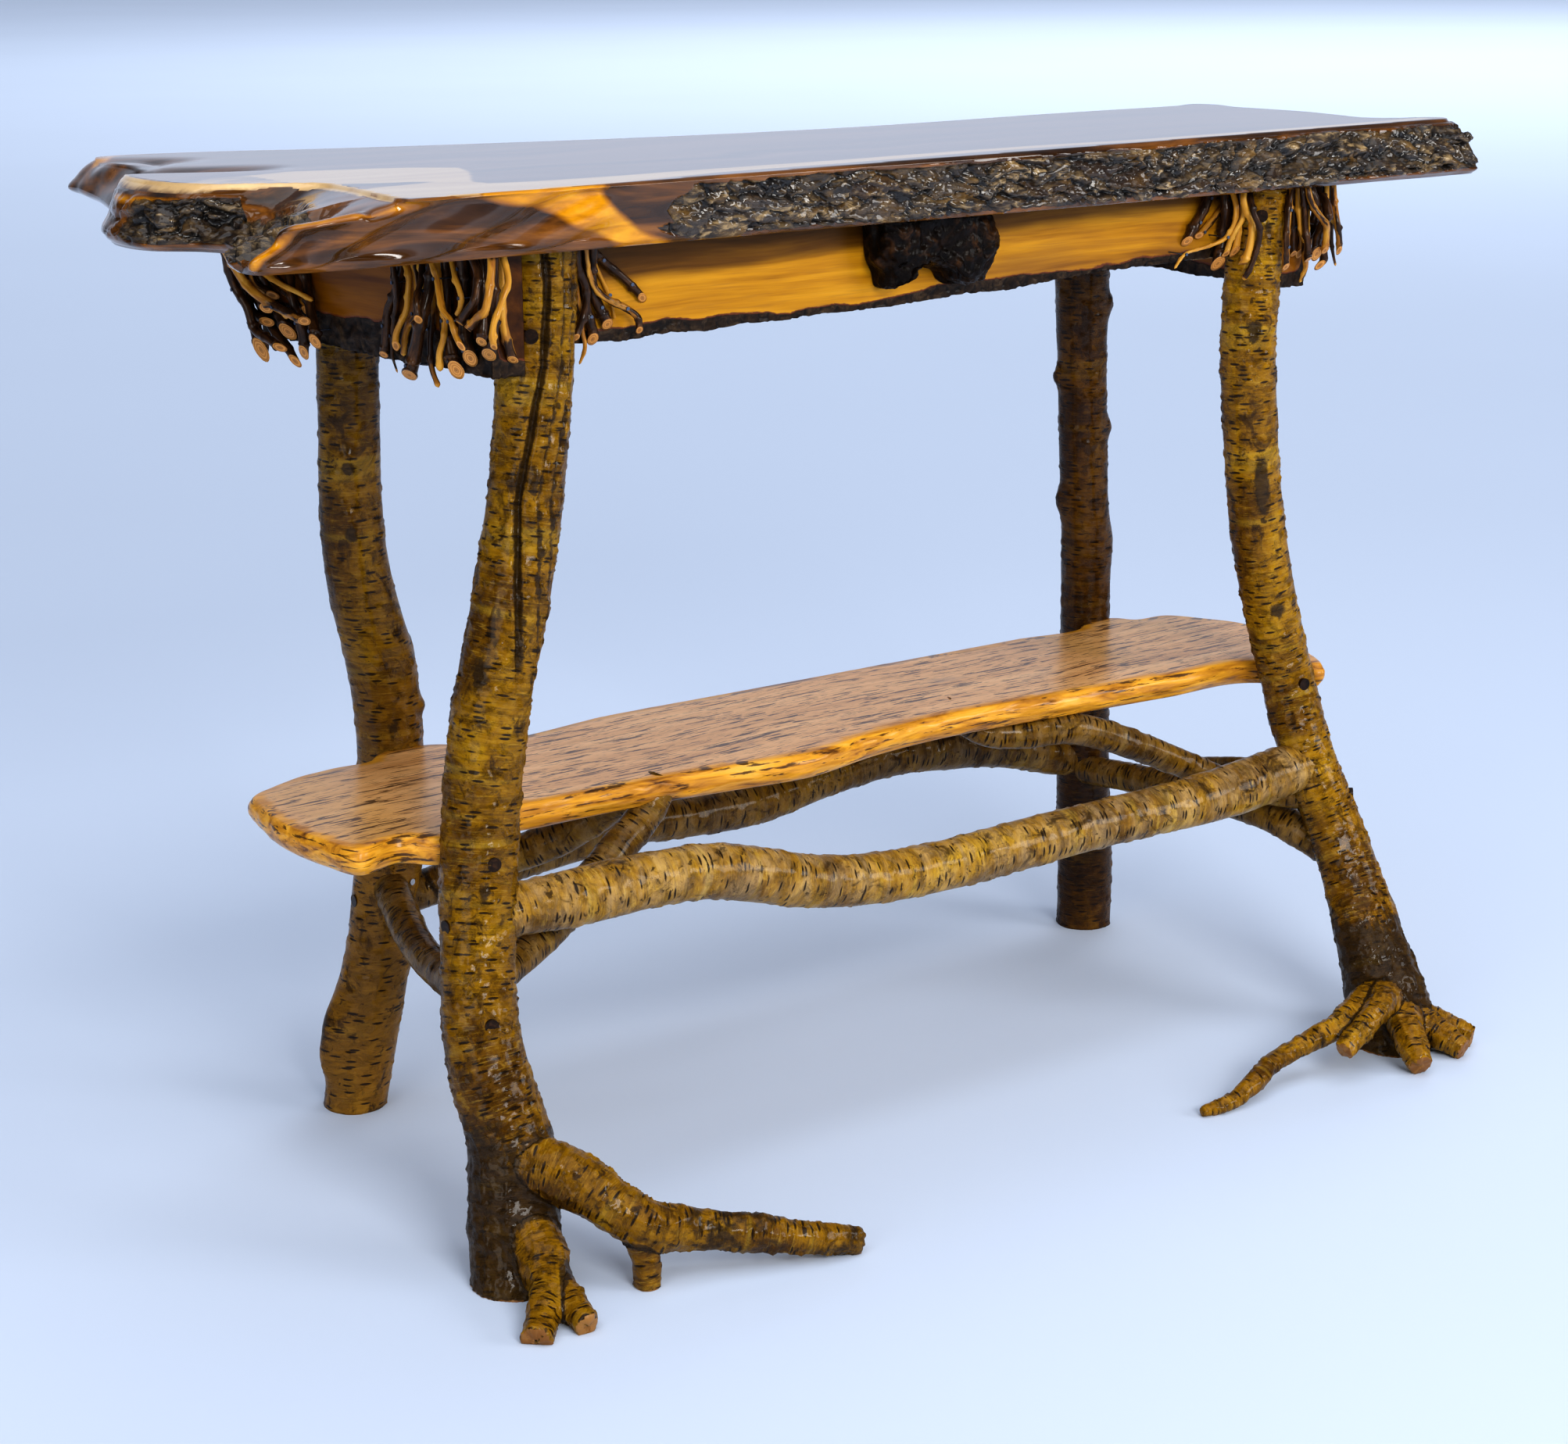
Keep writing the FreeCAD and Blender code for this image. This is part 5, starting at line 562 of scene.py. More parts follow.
def twig_bark_material():
    g = Graph("twig_bark", Coat_Weight=0.25, Coat_Roughness=0.16, Specular_IOR_Level=0.12)
    bc = g.attr("bc")
    a = g.noise(g.scaled(bc, (260, 260, 60)), 1, 5, 0.6, 0.5)
    c = g.ramp(a, [(0.30, (0.010, 0.004, 0.002)), (0.50, (0.034, 0.014, 0.005)), (0.68, (0.095, 0.038, 0.011)), (0.85, (0.20, 0.085, 0.022))])
    b = g.noise(g.scaled(bc, (120, 120, 700)), 1, 3, 0.6)
    c = g.mix(g.lim(b, 0.55, 0.75, 0.0, 0.6), c, (0.016, 0.009, 0.006))
    peel = g.attr("peel", "Fac")
    w = g.noise(g.scaled(bc, (200, 200, 26)), 1, 4, 0.6, 0.4)
    wood = g.ramp(w, [(0.30, (0.30, 0.115, 0.010)), (0.52, (0.56, 0.26, 0.028)), (0.75, (0.72, 0.40, 0.070))])
    m = g.lim(g.math("ADD", peel, g.math("MULTIPLY", g.math("SUBTRACT", a, 0.5), 0.6)), 0.44, 0.56)
    rim = g.math("MULTIPLY", m, g.lim(g.math("ADD", peel, g.math("MULTIPLY", g.math("SUBTRACT", a, 0.5), 0.6)), 0.72, 0.56))
    c = g.mix(m, c, wood)
    c = g.mix(g.math("MULTIPLY", rim, 0.6), c, (0.22, 0.07, 0.018))
    h = g.math("ADD", g.math("MULTIPLY", a, 0.7), g.math("MULTIPLY", b, 0.3))
    h = g.mixf(m, h, g.math("MULTIPLY", w, 0.3))
    return g.done(c, 0.32, g.bump(h, 0.6, 0.0006))


def burl_material():
    g = Graph("burl_dark_polished", Coat_Weight=0.07, Coat_Roughness=0.2, Specular_IOR_Level=0.05)
    o = g.obj()
    w = g.noise(g.scaled(o, (34, 34, 34)), 1, 5, 0.6, 1.8)
    c = g.ramp(w, [(0.30, (0.0025, 0.0018, 0.0014)), (0.52, (0.007, 0.004, 0.0025)), (0.68, (0.020, 0.009, 0.004)), (0.85, (0.075, 0.030, 0.008))])
    e = g.voronoi(g.scaled(o, (150, 150, 150)), 1.0)
    c = g.mix(g.lim(e, 0.35, 0.12, 0.0, 0.6), c, (0.010, 0.005, 0.004))
    edge = g.attr("edge", "Fac")
    c = g.mix(g.math("MULTIPLY", g.lim(edge, 0.3, 0.9), g.lim(w, 0.45, 0.75, 0.0, 0.55)), c, (0.120, 0.048, 0.012))
    f = g.noise(g.scaled(o, (260, 260, 260)), 1, 4, 0.6)
    return g.done(c, g.mixf(w, 0.18, 0.42), g.bump(g.math("ADD", f, g.math("MULTIPLY", e, 0.6)), 0.45, 0.0016))


def plain_wood(name, lo, hi):
    """Workshop pine or maple for the hidden pieces, grain by object place."""
    g = Graph(name, Coat_Weight=0.1, Coat_Roughness=0.4)
    o = g.obj()
    a = g.noise(g.scaled(o, (6, 70, 90)), 1, 4, 0.6, 0.4)
    c = g.ramp(a, [(0.3, lo), (0.7, hi)])
    f = g.noise(g.scaled(o, (30, 700, 700)), 1, 3, 0.6)
    c = g.mix(g.lim(f, 0.5, 0.75, 0.0, 0.35), c, tuple(v * 0.5 for v in lo))
    return g.done(c, 0.5, g.bump(f, 0.3, 0.0005))


def metal(name, col, rough):
    g = Graph(name)
    o = g.obj()
    n = g.noise(g.scaled(o, (700, 700, 700)), 1, 3, 0.6)
    c = g.mix(g.lim(n, 0.4, 0.8, 0.0, 0.6), col, tuple(v * 0.45 for v in col))
    return g.done(c, g.mixf(n, rough, rough + 0.2), g.bump(n, 0.2, 0.0002), 1.0)


def plug_material():
    g = Graph("plug_dark_wood_and_recess_shade", Coat_Weight=0.12, Coat_Roughness=0.2, Specular_IOR_Level=0.08)
    o = g.obj()
    n = g.noise(g.scaled(o, (240, 240, 240)), 1, 4, 0.6, 0.6)
    # Near black: dark wood, darkened further as the painted shade of the recess it sits in.
    c = g.ramp(n, [(0.3, (0.006, 0.003, 0.0015)), (0.55, (0.020, 0.009, 0.004)), (0.8, (0.06, 0.026, 0.010))])
    return g.done(c, 0.28, g.bump(n, 0.5, 0.0006))


# Each copy's brightness stands for the light on its part, which is painted light: the back legs and the pieces under
# the top are darker copies as painted shade, and the front rail is a paler copy as a painted sheen.
M_LEG_FL = birch("birch_front_left", 0.66)
M_LEG_FR = birch("birch_front_right", 0.82)
M_BACK = birch("birch_back_shaded", 0.23, 0.4, warm=(1.08, 0.82, 0.6))
M_RAIL = birch("birch_rail", 0.98, 0.0, 0.40, warm=(1.0, 0.97, 0.9))
M_UNDER = birch("birch_under_shaded", 0.50, 0.3, 0.45)
M_CUT = end_grain("cut_end", 0.60)
M_CUT_TWIG = end_grain("cut_end_twig", 1.25)
M_SLAB = slab_material()
M_BOARD = board_material("rail_board")
M_BOARD_END = board_material("end_board", (0.42, 0.32, 0.2))
M_SHELF = shelf_material()
M_TWIG = twig_bark_material()
M_BURL = burl_material()
M_PLUG = plug_material()
M_INNER = plain_wood("inner_wood", (0.42, 0.26, 0.12), (0.62, 0.43, 0.23))
M_STEEL = metal("screw_steel_grey", (0.50, 0.50, 0.52), 0.30)
M_NAIL = metal("nail_blue_steel", (0.10, 0.125, 0.18), 0.34)



# ------------------------------------------------------------- plates with shaped edges
def closed_curve(P, counts):
    """Smooth closed line through P (n, 2), counts[i] points on each span."""
    P = np.asarray(P, float)
    n = len(P)
    nx = np.roll(P, -1, 0)
    h = np.linalg.norm(nx - P, axis=1) + 1e-9
    hp = np.roll(h, 1)
    a, b = (P - np.roll(P, 1, 0)) / hp[:, None], (nx - P) / h[:, None]
    m = (a * h[:, None] + b * hp[:, None]) / (h + hp)[:, None]
    out = []
    for i in range(n):
        t = (np.arange(counts[i]) / counts[i])[:, None]
        j = (i + 1) % n
        t2, t3 = t * t, t * t * t
        out.append((2 * t3 - 3 * t2 + 1) * P[i] + (t3 - 2 * t2 + t) * h[i] * m[i] + (-2 * t3 + 3 * t2) * P[j] + (t3 - t2) * h[i] * m[j])
    return np.concatenate(out)


def plate_rows(levels, gap, rows):
    """levels: [(height, outline)], the same number of points in each. Rows of the side, top first, in metres."""
    mid = np.asarray(levels[len(levels) // 2][1], float)
    h = np.linalg.norm(np.roll(mid, -1, 0) - mid, axis=1)
    counts = [max(1, int(math.ceil(v / gap))) for v in h]
    L = np.array([closed_curve(o, counts) for _, o in levels])
    Z = np.array([z for z, _ in levels])
    full = np.concatenate([L, np.repeat(Z[:, None], L.shape[1], 1)[:, :, None]], 2)
    d = np.linalg.norm(np.diff(full, axis=0), axis=2).mean(1)
    k = np.concatenate([[0], np.cumsum(d)])
    k /= k[-1]
    t = np.linspace(0, 1, rows)
    # smooth through the levels
    m = np.gradient(full, k, axis=0)
    out = np.zeros((rows,) + full.shape[1:])
    for q, tt in enumerate(t):
        i = min(np.searchsorted(k, tt, side="right") - 1, len(k) - 2)
        w = (tt - k[i]) / (k[i + 1] - k[i])
        hh = k[i + 1] - k[i]
        w2, w3 = w * w, w * w * w
        out[q] = (2 * w3 - 3 * w2 + 1) * full[i] + (w3 - 2 * w2 + w) * hh * m[i] + (-2 * w3 + 3 * w2) * full[i + 1] + (w3 - w2) * hh * m[i + 1]
    return out, np.repeat(np.arange(len(counts)), counts), t


def inside(poly, Q):
    x, y = Q[:, 0], Q[:, 1]
    r = np.zeros(len(Q), bool)
    n = len(poly)
    for i in range(n):
        x1, y1 = poly[i]
        x2, y2 = poly[(i + 1) % n]
        c = (y1 > y) != (y2 > y)
        with np.errstate(divide="ignore", invalid="ignore"):
            r ^= c & (x < (x2 - x1) * (y - y1) / (y2 - y1) + x1)
    return r


def line_distance(L, Q, closed=False):
    L = np.asarray(L, float)
    d = np.full(len(Q), 1e9)
    n = len(L)
    for i in range(n if closed else n - 1):
        a, b = L[i], L[(i + 1) % n]
        ab = b - a
        k = np.clip(((Q - a) @ ab) / (ab @ ab + 1e-18), 0, 1)
        d = np.minimum(d, np.linalg.norm(Q - (a + k[:, None] * ab), axis=1))
    return d


def area_distance(poly, Q):
    """Positive inside, negative outside."""
    d = line_distance(poly, Q, True)
    return np.where(inside(poly, Q), d, -d)


def fill_ring(ring, gap, first):
    """Inner points and triangles that fill a closed ring; ring points keep 0..n-1, inner ones start at first."""
    n = len(ring)
    lo, hi = ring.min(0), ring.max(0)
    gx, gy = np.meshgrid(np.arange(lo[0], hi[0], gap), np.arange(lo[1], hi[1], gap * 0.87))
    gx = gx + (np.arange(gx.shape[0])[:, None] % 2) * gap * 0.5
    Q = np.stack([gx.ravel(), gy.ravel()], 1)
    Q = Q[inside(ring, Q)]
    Q = Q[line_distance(ring, Q, True) > gap * 0.55]
    co = [Vector(p) for p in ring.tolist()] + [Vector(p) for p in Q.tolist()]
    edges = [(i, (i + 1) % n) for i in range(n)]
    verts, _, faces, ov, _, _ = delaunay_2d_cdt(co, edges, [], 1, 1e-9)
    back = [o[0] for o in ov]
    out = []
    for f in faces:
        g = [back[i] for i in f]
        g = [i if i < n else first + i - n for i in g]
        if len(set(g)) == 3:
            a, b, c = [np.array(co[back[i]]) for i in f]
            if (b[0] - a[0]) * (c[1] - a[1]) - (b[1] - a[1]) * (c[0] - a[0]) < 0:
                g = g[::-1]
            out.append(g)
    return Q, out


def plate_mesh(rows3, gap_top, gap_bottom):
    """Side rows (top first) closed with a filled top and bottom. Outline runs counter-clockwise or clockwise, both work."""
    R, N = rows3.shape[0], rows3.shape[1]
    V = rows3.reshape(-1, 3)
    ring = rows3[0][:, :2]
    area = 0.5 * np.sum(ring[:, 0] * np.roll(ring[:, 1], -1) - np.roll(ring[:, 0], -1) * ring[:, 1])
    F = []
    for i in range(R - 1):
        a = i * N + np.arange(N)
        b = i * N + (np.arange(N) + 1) % N
        q = np.stack([a, a + N, b + N, b], 1)
        F += (q if area > 0 else q[:, ::-1]).tolist()
    kinds = [0] * len(F)
    Qt, ft = fill_ring(ring, gap_top, len(V))
    V = np.concatenate([V, np.concatenate([Qt, np.full((len(Qt), 1), rows3[0][:, 2].mean())], 1)])
    F += ft
    kinds += [1] * len(ft)
    low = rows3[-1][:, :2]
    n0 = len(V)
    Qb, fb = fill_ring(low, gap_bottom, 10 ** 7)
    V = np.concatenate([V, np.concatenate([Qb, np.full((len(Qb), 1), rows3[-1][:, 2].mean())], 1)])
    for f in fb:
        g = [((R - 1) * N + i) if i < 10 ** 7 else (n0 + i - 10 ** 7) for i in f]
        F.append(g[::-1])
        kinds.append(2)
    return V, F, kinds, len(Qt)


# ------------------------------------------------------------- branches
def birch_relief(seed, bumps=(), lump=1.0, flake=1.0):
    def f(bc, S, A, R, X):
        n = fbm(bc * np.array([20, 20, 8.0]), 3, seed) * 0.0015 * lump
        n += fbm(bc * np.array([70, 70, 45.0]), 3, seed + 5) * 0.00055
        n += vnoise(bc * np.array([24, 24, 380.0]), seed + 9) * 0.00020
        fl = fbm(bc * np.array([95, 95, 130.0]), 3, seed + 3)
        n += step(0.18, 0.42, fl) * 0.0009 * flake
        for b in bumps:
            n += bump_at(S, A, *b, R)
        return n
    return f


def dark_field(bc, seed, marks=(), base=0.0):
    S, A = bc[:, 2], np.arctan2(bc[:, 1], bc[:, 0])
    R = np.hypot(bc[:, 0], bc[:, 1])
    d = np.full(len(bc), base)
    for s0, a0, hs, ha, k in marks:
        e = (A - math.radians(a0) + np.pi) % (2 * np.pi) - np.pi
        d = np.maximum(d, k * np.exp(-((S - s0) / hs) ** 2 - (e * R / ha) ** 2))
    return d


def add_branch(name, pts, mat, seed, bumps=(), marks=(), node=None, level=False, seg=64, gap=0.003, lump=1.0, flake=1.0):
    V, F, cap, bc = branch_mesh(pts, seg, gap, level, birch_relief(seed, bumps, lump, flake))
    ob = mesh_object(name, V, F, [mat, M_CUT], cap, {"bc": bc, "dark": dark_field(bc, seed, marks)})
    if node:
        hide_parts(node)
    return ob


def unroll(X, parts, level_first=True):
    """For every point: which branch it is on, and its unrolled place on it."""
    best = np.full(len(X), 1e9)
    second = np.full(len(X), 1e9)
    which = np.zeros(len(X), int)
    bc = np.zeros((len(X), 3))
    for k, pts in enumerate(parts):
        P = np.asarray(pts, float)
        P = np.concatenate([to_m(P[:, :3]), P[:, 3:4] * MM], 1)
        Q, s = curve_through(P, 0.003)
        C, R = Q[:, :3], Q[:, 3]
        T, N, B = frames_along(C, k == 0 and level_first)
        tree = KDTree(len(C))
        for i, c in enumerate(C):
            tree.insert(Vector(c), i)
        tree.balance()
        idx = np.array([tree.find(Vector(x))[1] for x in X])
        d = X - C[idx]
        t = np.einsum("ij,ij->i", d, T[idx])
        a, b = np.einsum("ij,ij->i", d, N[idx]), np.einsum("ij,ij->i", d, B[idx])
        gap = np.linalg.norm(d, axis=1) - R[idx]
        ang = np.arctan2(b, a)
        here = np.stack([R[idx] * np.cos(ang), R[idx] * np.sin(ang), s[idx] + t], 1)
        near = gap < best
        second = np.where(near, best, np.minimum(second, gap))
        best = np.where(near, gap, best)
        which = np.where(near, k, which)
        bc[near] = here[near]
    return which, bc, second - best, second


def mesh_arrays(me):
    V = np.empty(len(me.vertices) * 3)
    me.vertices.foreach_get("co", V)
    F = [tuple(p.vertices) for p in me.polygons]
    return V.reshape(-1, 3), F


def vertex_normals(V, F):
    me = bpy.data.meshes.new("tmp_normals")
    me.from_pydata(V.tolist(), [], F)
    me.update()
    N = np.empty(len(V) * 3)
    me.vertices.foreach_get("normal", N)
    bpy.data.meshes.remove(me)
    return N.reshape(-1, 3)


def relax(V, F, w, times):
    """Evens the skin out where w is above zero."""
    E = set()
    for f in F:
        for i in range(len(f)):
            a, b = f[i], f[(i + 1) % len(f)]
            E.add((a, b) if a < b else (b, a))
    E = np.array(list(E))
    cnt = np.bincount(E.ravel(), minlength=len(V)).astype(float)
    V = V.copy()
    for _ in range(times):
        acc = np.zeros_like(V)
        for k in range(3):
            acc[:, k] = np.bincount(E[:, 0], V[E[:, 1], k], len(V)) + np.bincount(E[:, 1], V[E[:, 0], k], len(V))
        V += (acc / np.maximum(cnt, 1)[:, None] - V) * (0.6 * w)[:, None]
    return V


def union_skin(parts, voxel, level_first=True, seg=48):
    """One skin over several branches that grow into each other."""
    Vs, Fs, n = [], [], 0
    for k, pts in enumerate(parts):
        V, F, _, _ = branch_mesh(pts, seg, 0.004, k == 0 and level_first)
        Vs.append(V)
        Fs += [[i + n for i in f] for f in F]
        n += len(V)
    me = bpy.data.meshes.new("tmp_union")
    me.from_pydata(np.concatenate(Vs).tolist(), [], Fs)
    ob = bpy.data.objects.new("tmp_union", me)
    bpy.context.scene.collection.objects.link(ob)
    md = ob.modifiers.new("r", "REMESH")
    md.mode = "VOXEL"
    md.voxel_size = voxel
    dg = bpy.context.evaluated_depsgraph_get()
    ev = ob.evaluated_get(dg)
    out = bpy.data.meshes.new_from_object(ev)
    V, F = mesh_arrays(out)
    bpy.data.objects.remove(ob)
    bpy.data.meshes.remove(me)
    bpy.data.meshes.remove(out)
    return V, F


def cut_at_floor(V, F):
    """Everything under the floor goes, and the cut is closed flat."""
    bm = bmesh.new()
    for v in V.tolist():
        bm.verts.new(v)
    bm.verts.ensure_lookup_table()
    for f in F:
        try:
            bm.faces.new([bm.verts[i] for i in f])
        except ValueError:
            pass
    bmesh.ops.bisect_plane(bm, geom=bm.verts[:] + bm.edges[:] + bm.faces[:], dist=1e-6, plane_co=(0, 0, 0.0003), plane_no=(0, 0, -1), clear_outer=True)
    edges = [e for e in bm.edges if len(e.link_faces) == 1]
    bmesh.ops.holes_fill(bm, edges=edges, sides=0)
    bm.normal_update()
    bm.verts.index_update()
    V2 = np.array([v.co[:] for v in bm.verts])
    F2 = [tuple(v.index for v in f.verts) for f in bm.faces]
    bm.free()
    return V2, F2


def rooted_leg(name, node, trunk, toes, mat, seed, tips, extra=None, marks=(), voxel=0.0022):
    parts = [trunk] + [t for _, t in toes]
    V, F = union_skin(parts, voxel)
    which, bc, lead, second = unroll(V, parts)
    w = step(0.012, 0.002, second) * step(0.16, 0.10, V[:, 2])
    V = relax(V, F, np.clip(w + 0.12, 0, 1), 14)
    V, F = cut_at_floor(V, F)
    which, bc, lead, second = unroll(V, parts)
    N = vertex_normals(V, F)
    low = step(0.17, 0.06, V[:, 2])
    S, A, R = bc[:, 2], np.arctan2(bc[:, 1], bc[:, 0]), np.hypot(bc[:, 0], bc[:, 1])
    h = birch_relief(seed)(bc, S, A, R, V)
    h += low * (fbm(V * 55, 4, seed + 40) * 0.0022 + fbm(V * 150, 3, seed + 41) * 0.0008)
    ridge = 1 - np.abs(vnoise(bc * np.array([60, 60, 12.0]), seed + 50)) * 2
    h += low * step(0.5, 1.0, ridge) * 0.0012
    h += step(0.20, 0.45, fbm(bc * np.array([110, 110, 170.0]), 3, seed + 70)) * 0.0011 - 0.0003
    dark = dark_field(bc, seed, marks) * (which == 0)
    dark = np.maximum(dark, low * (np.where(which == 0, 0.90, 0.24) + 0.45 * fbm(V * 26, 3, seed + 60)))
    dark = np.maximum(dark, step(0.0045, 0.0005, lead) * step(0.15, 0.08, V[:, 2]) * 0.75)
    if extra:
        dh, dd = extra(bc, S, A, R, V)
        h += dh * (which == 0)
        dark = np.maximum(dark, dd * (which == 0))
    flat = V[:, 2] < 0.0006
    keep = ~flat
    V[keep] += (N * h[:, None])[keep]
    V[:, 2] = np.maximum(V[:, 2], 0.0)
    V[V[:, 2] < 0.0006, 2] = 0.0
    # sawn ends of the toes
    C = np.array([V[list(f)].mean(0) for f in F])
    FN = []
    for f in F:
        a, b, c = V[f[0]], V[f[1]], V[f[2]]
        q = np.cross(b - a, c - a)
        FN.append(q / (np.linalg.norm(q) + 1e-15))
    FN = np.array(FN)
    idx = np.zeros(len(F), int)
    for k, ok in tips:
        P = np.asarray(toes[k][1], float)
        e = to_m(P[-1, :3])
        d = P[-1, :3] - P[-2, :3]
        d /= np.linalg.norm(d)
        r = P[-1, 3] * MM
        idx[(np.linalg.norm(C - e, axis=1) < r * 1.25) & (FN @ d > 0.72)] = 1
    idx[(C[:, 2] < 0.0008)] = 1
    ob = mesh_object(name, V, F, [mat, M_CUT], idx, {"bc": bc, "dark": dark})
    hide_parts(node)
    return ob



# ------------------------------------------------------------- measured tables, millimetres
FL = [(-458, -234, 0, 36), (-447, -214, 50, 35), (-440, -200, 100, 33.5), (-445, -186, 140, 32),
      (-446, -172, 180, 30), (-441, -161, 220, 28.7), (-434, -151, 260, 29), (-427, -143, 300, 30),
      (-421, -138, 340, 30.3), (-407, -133.5, 420, 30.5), (-386, -131, 500, 30), (-368, -128.5, 580, 29.2),
      (-357, -126.6, 660, 29), (-351, -125.3, 720, 29), (-349, -124.6, 767, 29)]
FR = [(434, -300, 0, 37), (446, -272, 50, 37), (451, -247, 90, 33), (456.5, -225, 120, 30.4),
      (458, -208, 150, 28), (457, -191, 180, 27.6), (449.5, -172.5, 220, 27.1), (443, -157, 260, 26.4),
      (440.5, -143.5, 300, 26), (434, -134, 340, 25.9), (423, -131, 380, 25.6), (406, -126.2, 460, 25),
      (394, -125.4, 540, 24.7), (386.5, -125, 620, 24.6), (389.5, -124.4, 690, 24.7), (393.5, -124, 767, 24.6)]
BL = [(-398, 144, 0, 27.5), (-390, 143, 40, 28), (-382, 141.7, 80, 29), (-374.3, 140.6, 120, 29),
      (-367, 139.5, 160, 27.8), (-360.5, 138.4, 200, 28.6), (-355, 136.4, 260, 28.8), (-353, 135, 320, 27.9),
      (-355.4, 134, 360, 28.6), (-360.5, 133, 400, 29.4), (-371, 131.8, 440, 28.2), (-379, 130.6, 480, 26.2),
      (-382.8, 129, 540, 25.1), (-382, 127.3, 600, 25), (-380.6, 125.2, 690, 24.8), (-380.2, 124, 767, 24.8)]
BR = [(422, 115, 0, 26.7), (422.3, 115.5, 60, 27.2), (418.5, 116.4, 140, 27), (417, 117, 220, 25.6),
      (417, 118, 320, 24), (416, 119, 400, 23.6), (411, 119.8, 480, 23.4), (408.5, 120.8, 560, 23.6),
      (406.3, 121.6, 640, 25.4), (405.2, 121.7, 700, 26), (405.2, 121.7, 767, 26)]
ROOTS = {
    "front_left": [
        ("toe_long", [(-440, -222, 88, 21), (-424, -240, 84, 22), (-407, -262, 72, 21.2), (-395, -281, 60, 19.5),
                      (-378, -297, 49, 18.2), (-347, -305, 40, 16), (-305, -321, 31, 14), (-276, -333, 24, 12.8),
                      (-244, -344, 17, 10.4), (-217, -347, 8.6, 8.4)]),
        ("toe_drop", [(-385, -293, 50, 12.5), (-383, -297, 26, 11), (-382, -300, 2, 9.5), (-382, -301, -8, 9)]),
        ("toe_mid", [(-450, -228, 40, 27), (-450, -252, 30, 21), (-458, -284, 18, 16.5), (-482, -312, 8, 13.5), (-498, -330, 3, 12)]),
        ("toe_fork", [(-452, -262, 26, 16), (-455, -300, 13, 12.5), (-459, -338, 6, 9.5)]),
    ],
    "front_right": [
        ("toe_far", [(425, -288, 46, 17), (392, -298, 47, 14.5), (350, -312, 43, 11.6), (310, -309, 33, 10.2),
                     (272, -308, 24, 9.4), (235, -318, 15, 8), (205, -321, 8, 6.4), (176, -318, 4.5, 4.4)]),
        ("toe_stub", [(420, -300, 50, 16), (385, -324, 54, 12), (350, -334, 42, 10.4), (326, -337, 30, 10)]),
        ("toe_mid", [(428, -312, 32, 19), (405, -345, 24, 14), (395, -368, 10, 12)]),
        ("toe_right", [(440, -305, 28, 18), (450, -340, 18, 13), (456, -364, 9, 10.5)]),
        ("toe_side", [(446, -290, 28, 17), (470, -325, 18, 12), (486, -347, 10, 9.5)]),
    ],
}

FRONT_RAIL = [(-425, -153, 263, 20), (-400, -155, 265, 21), (-366, -156, 264.5, 22.2), (-319, -156, 264.5, 23),
              (-271, -157, 264.5, 22.3), (-222, -157.5, 261, 22.6), (-184, -158, 251, 22.6), (-134, -158.7, 235, 21.8),
              (-74, -159.5, 223.5, 21.4), (-17, -160.2, 219.3, 21.4), (41, -161, 219, 21.9), (101, -161.6, 220.5, 21.7),
              (183, -162.5, 222.2, 21.3), (250, -163.3, 222.6, 22), (313, -164, 222.8, 23.8), (361, -164.5, 225.5, 24.4),
              (412, -165, 230.5, 23.2), (440, -166, 233, 22)]
BACK_RAIL_B = [(-350, 134, 184, 18), (-300, 130, 190, 18), (-234, 128, 197, 18.2), (-170, 128, 203, 19.6),
               (-113, 128, 206.5, 20), (-72, 128, 203, 20.2), (-27, 128, 201, 20.4), (39, 128, 203, 20.6),
               (87, 128, 211, 20.8), (144, 128, 217, 21), (196, 128, 218.8, 21.2), (243, 128, 214.5, 21.3),
               (294, 127, 208, 21), (343, 124, 196, 19.5), (385, 120, 182, 18), (412, 118, 178, 17)]
BACK_FORK = [(-318, 127, 193, 16), (-290, 110, 205, 16), (-255, 88, 217, 16), (-222, 66, 234, 15.6), (-195, 47, 255, 15), (-168, 30, 284, 14.6), (-155, 22, 312, 14)]
LEFT_RAIL = [(-362, 135, 203, 15), (-374, 98, 197, 15.2), (-388, 50, 186, 14.8), (-400, -2, 179, 14.6),
             (-410, -62, 181, 15), (-424, -120, 189, 15.2), (-440, -160, 193, 15)]
RIGHT_RAIL = [(414, 120, 169, 14.5), (408.5, 97, 170, 14.8), (414, 58, 172.5, 14.4), (418, 13, 175.5, 14),
              (424, -62, 179.5, 14.6), (440, -140, 172, 15.6), (453, -178, 156, 15.6), (458, -205, 146, 15)]
LEFT_BRACE = [(-432, -158, 212, 13.5), (-406, -142, 214, 14), (-352, -116, 226, 14.4), (-309, -100, 246, 14.6),
              (-265, -86, 270, 14.6), (-236, -80, 290, 14.4), (-214, -76, 316, 14)]
RIGHT_BRACE = [(110, -38, 314, 11), (150, -55, 288, 12.4), (179, -68, 286, 13), (226, -80, 285.5, 13.6), (280, -90, 266, 13.6),
               (330, -100, 243.5, 13.4), (382, -118, 217, 13.2), (425, -150, 204, 13), (452, -178, 202, 12.5)]
SIDE_BRACE = [(418, 112, 197, 5), (421, 60, 197.5, 5), (425, -6, 201.5, 5.2), (430, -91, 219, 5.4), (437, -138, 227, 5.4), (444, -156, 230, 5.2)]

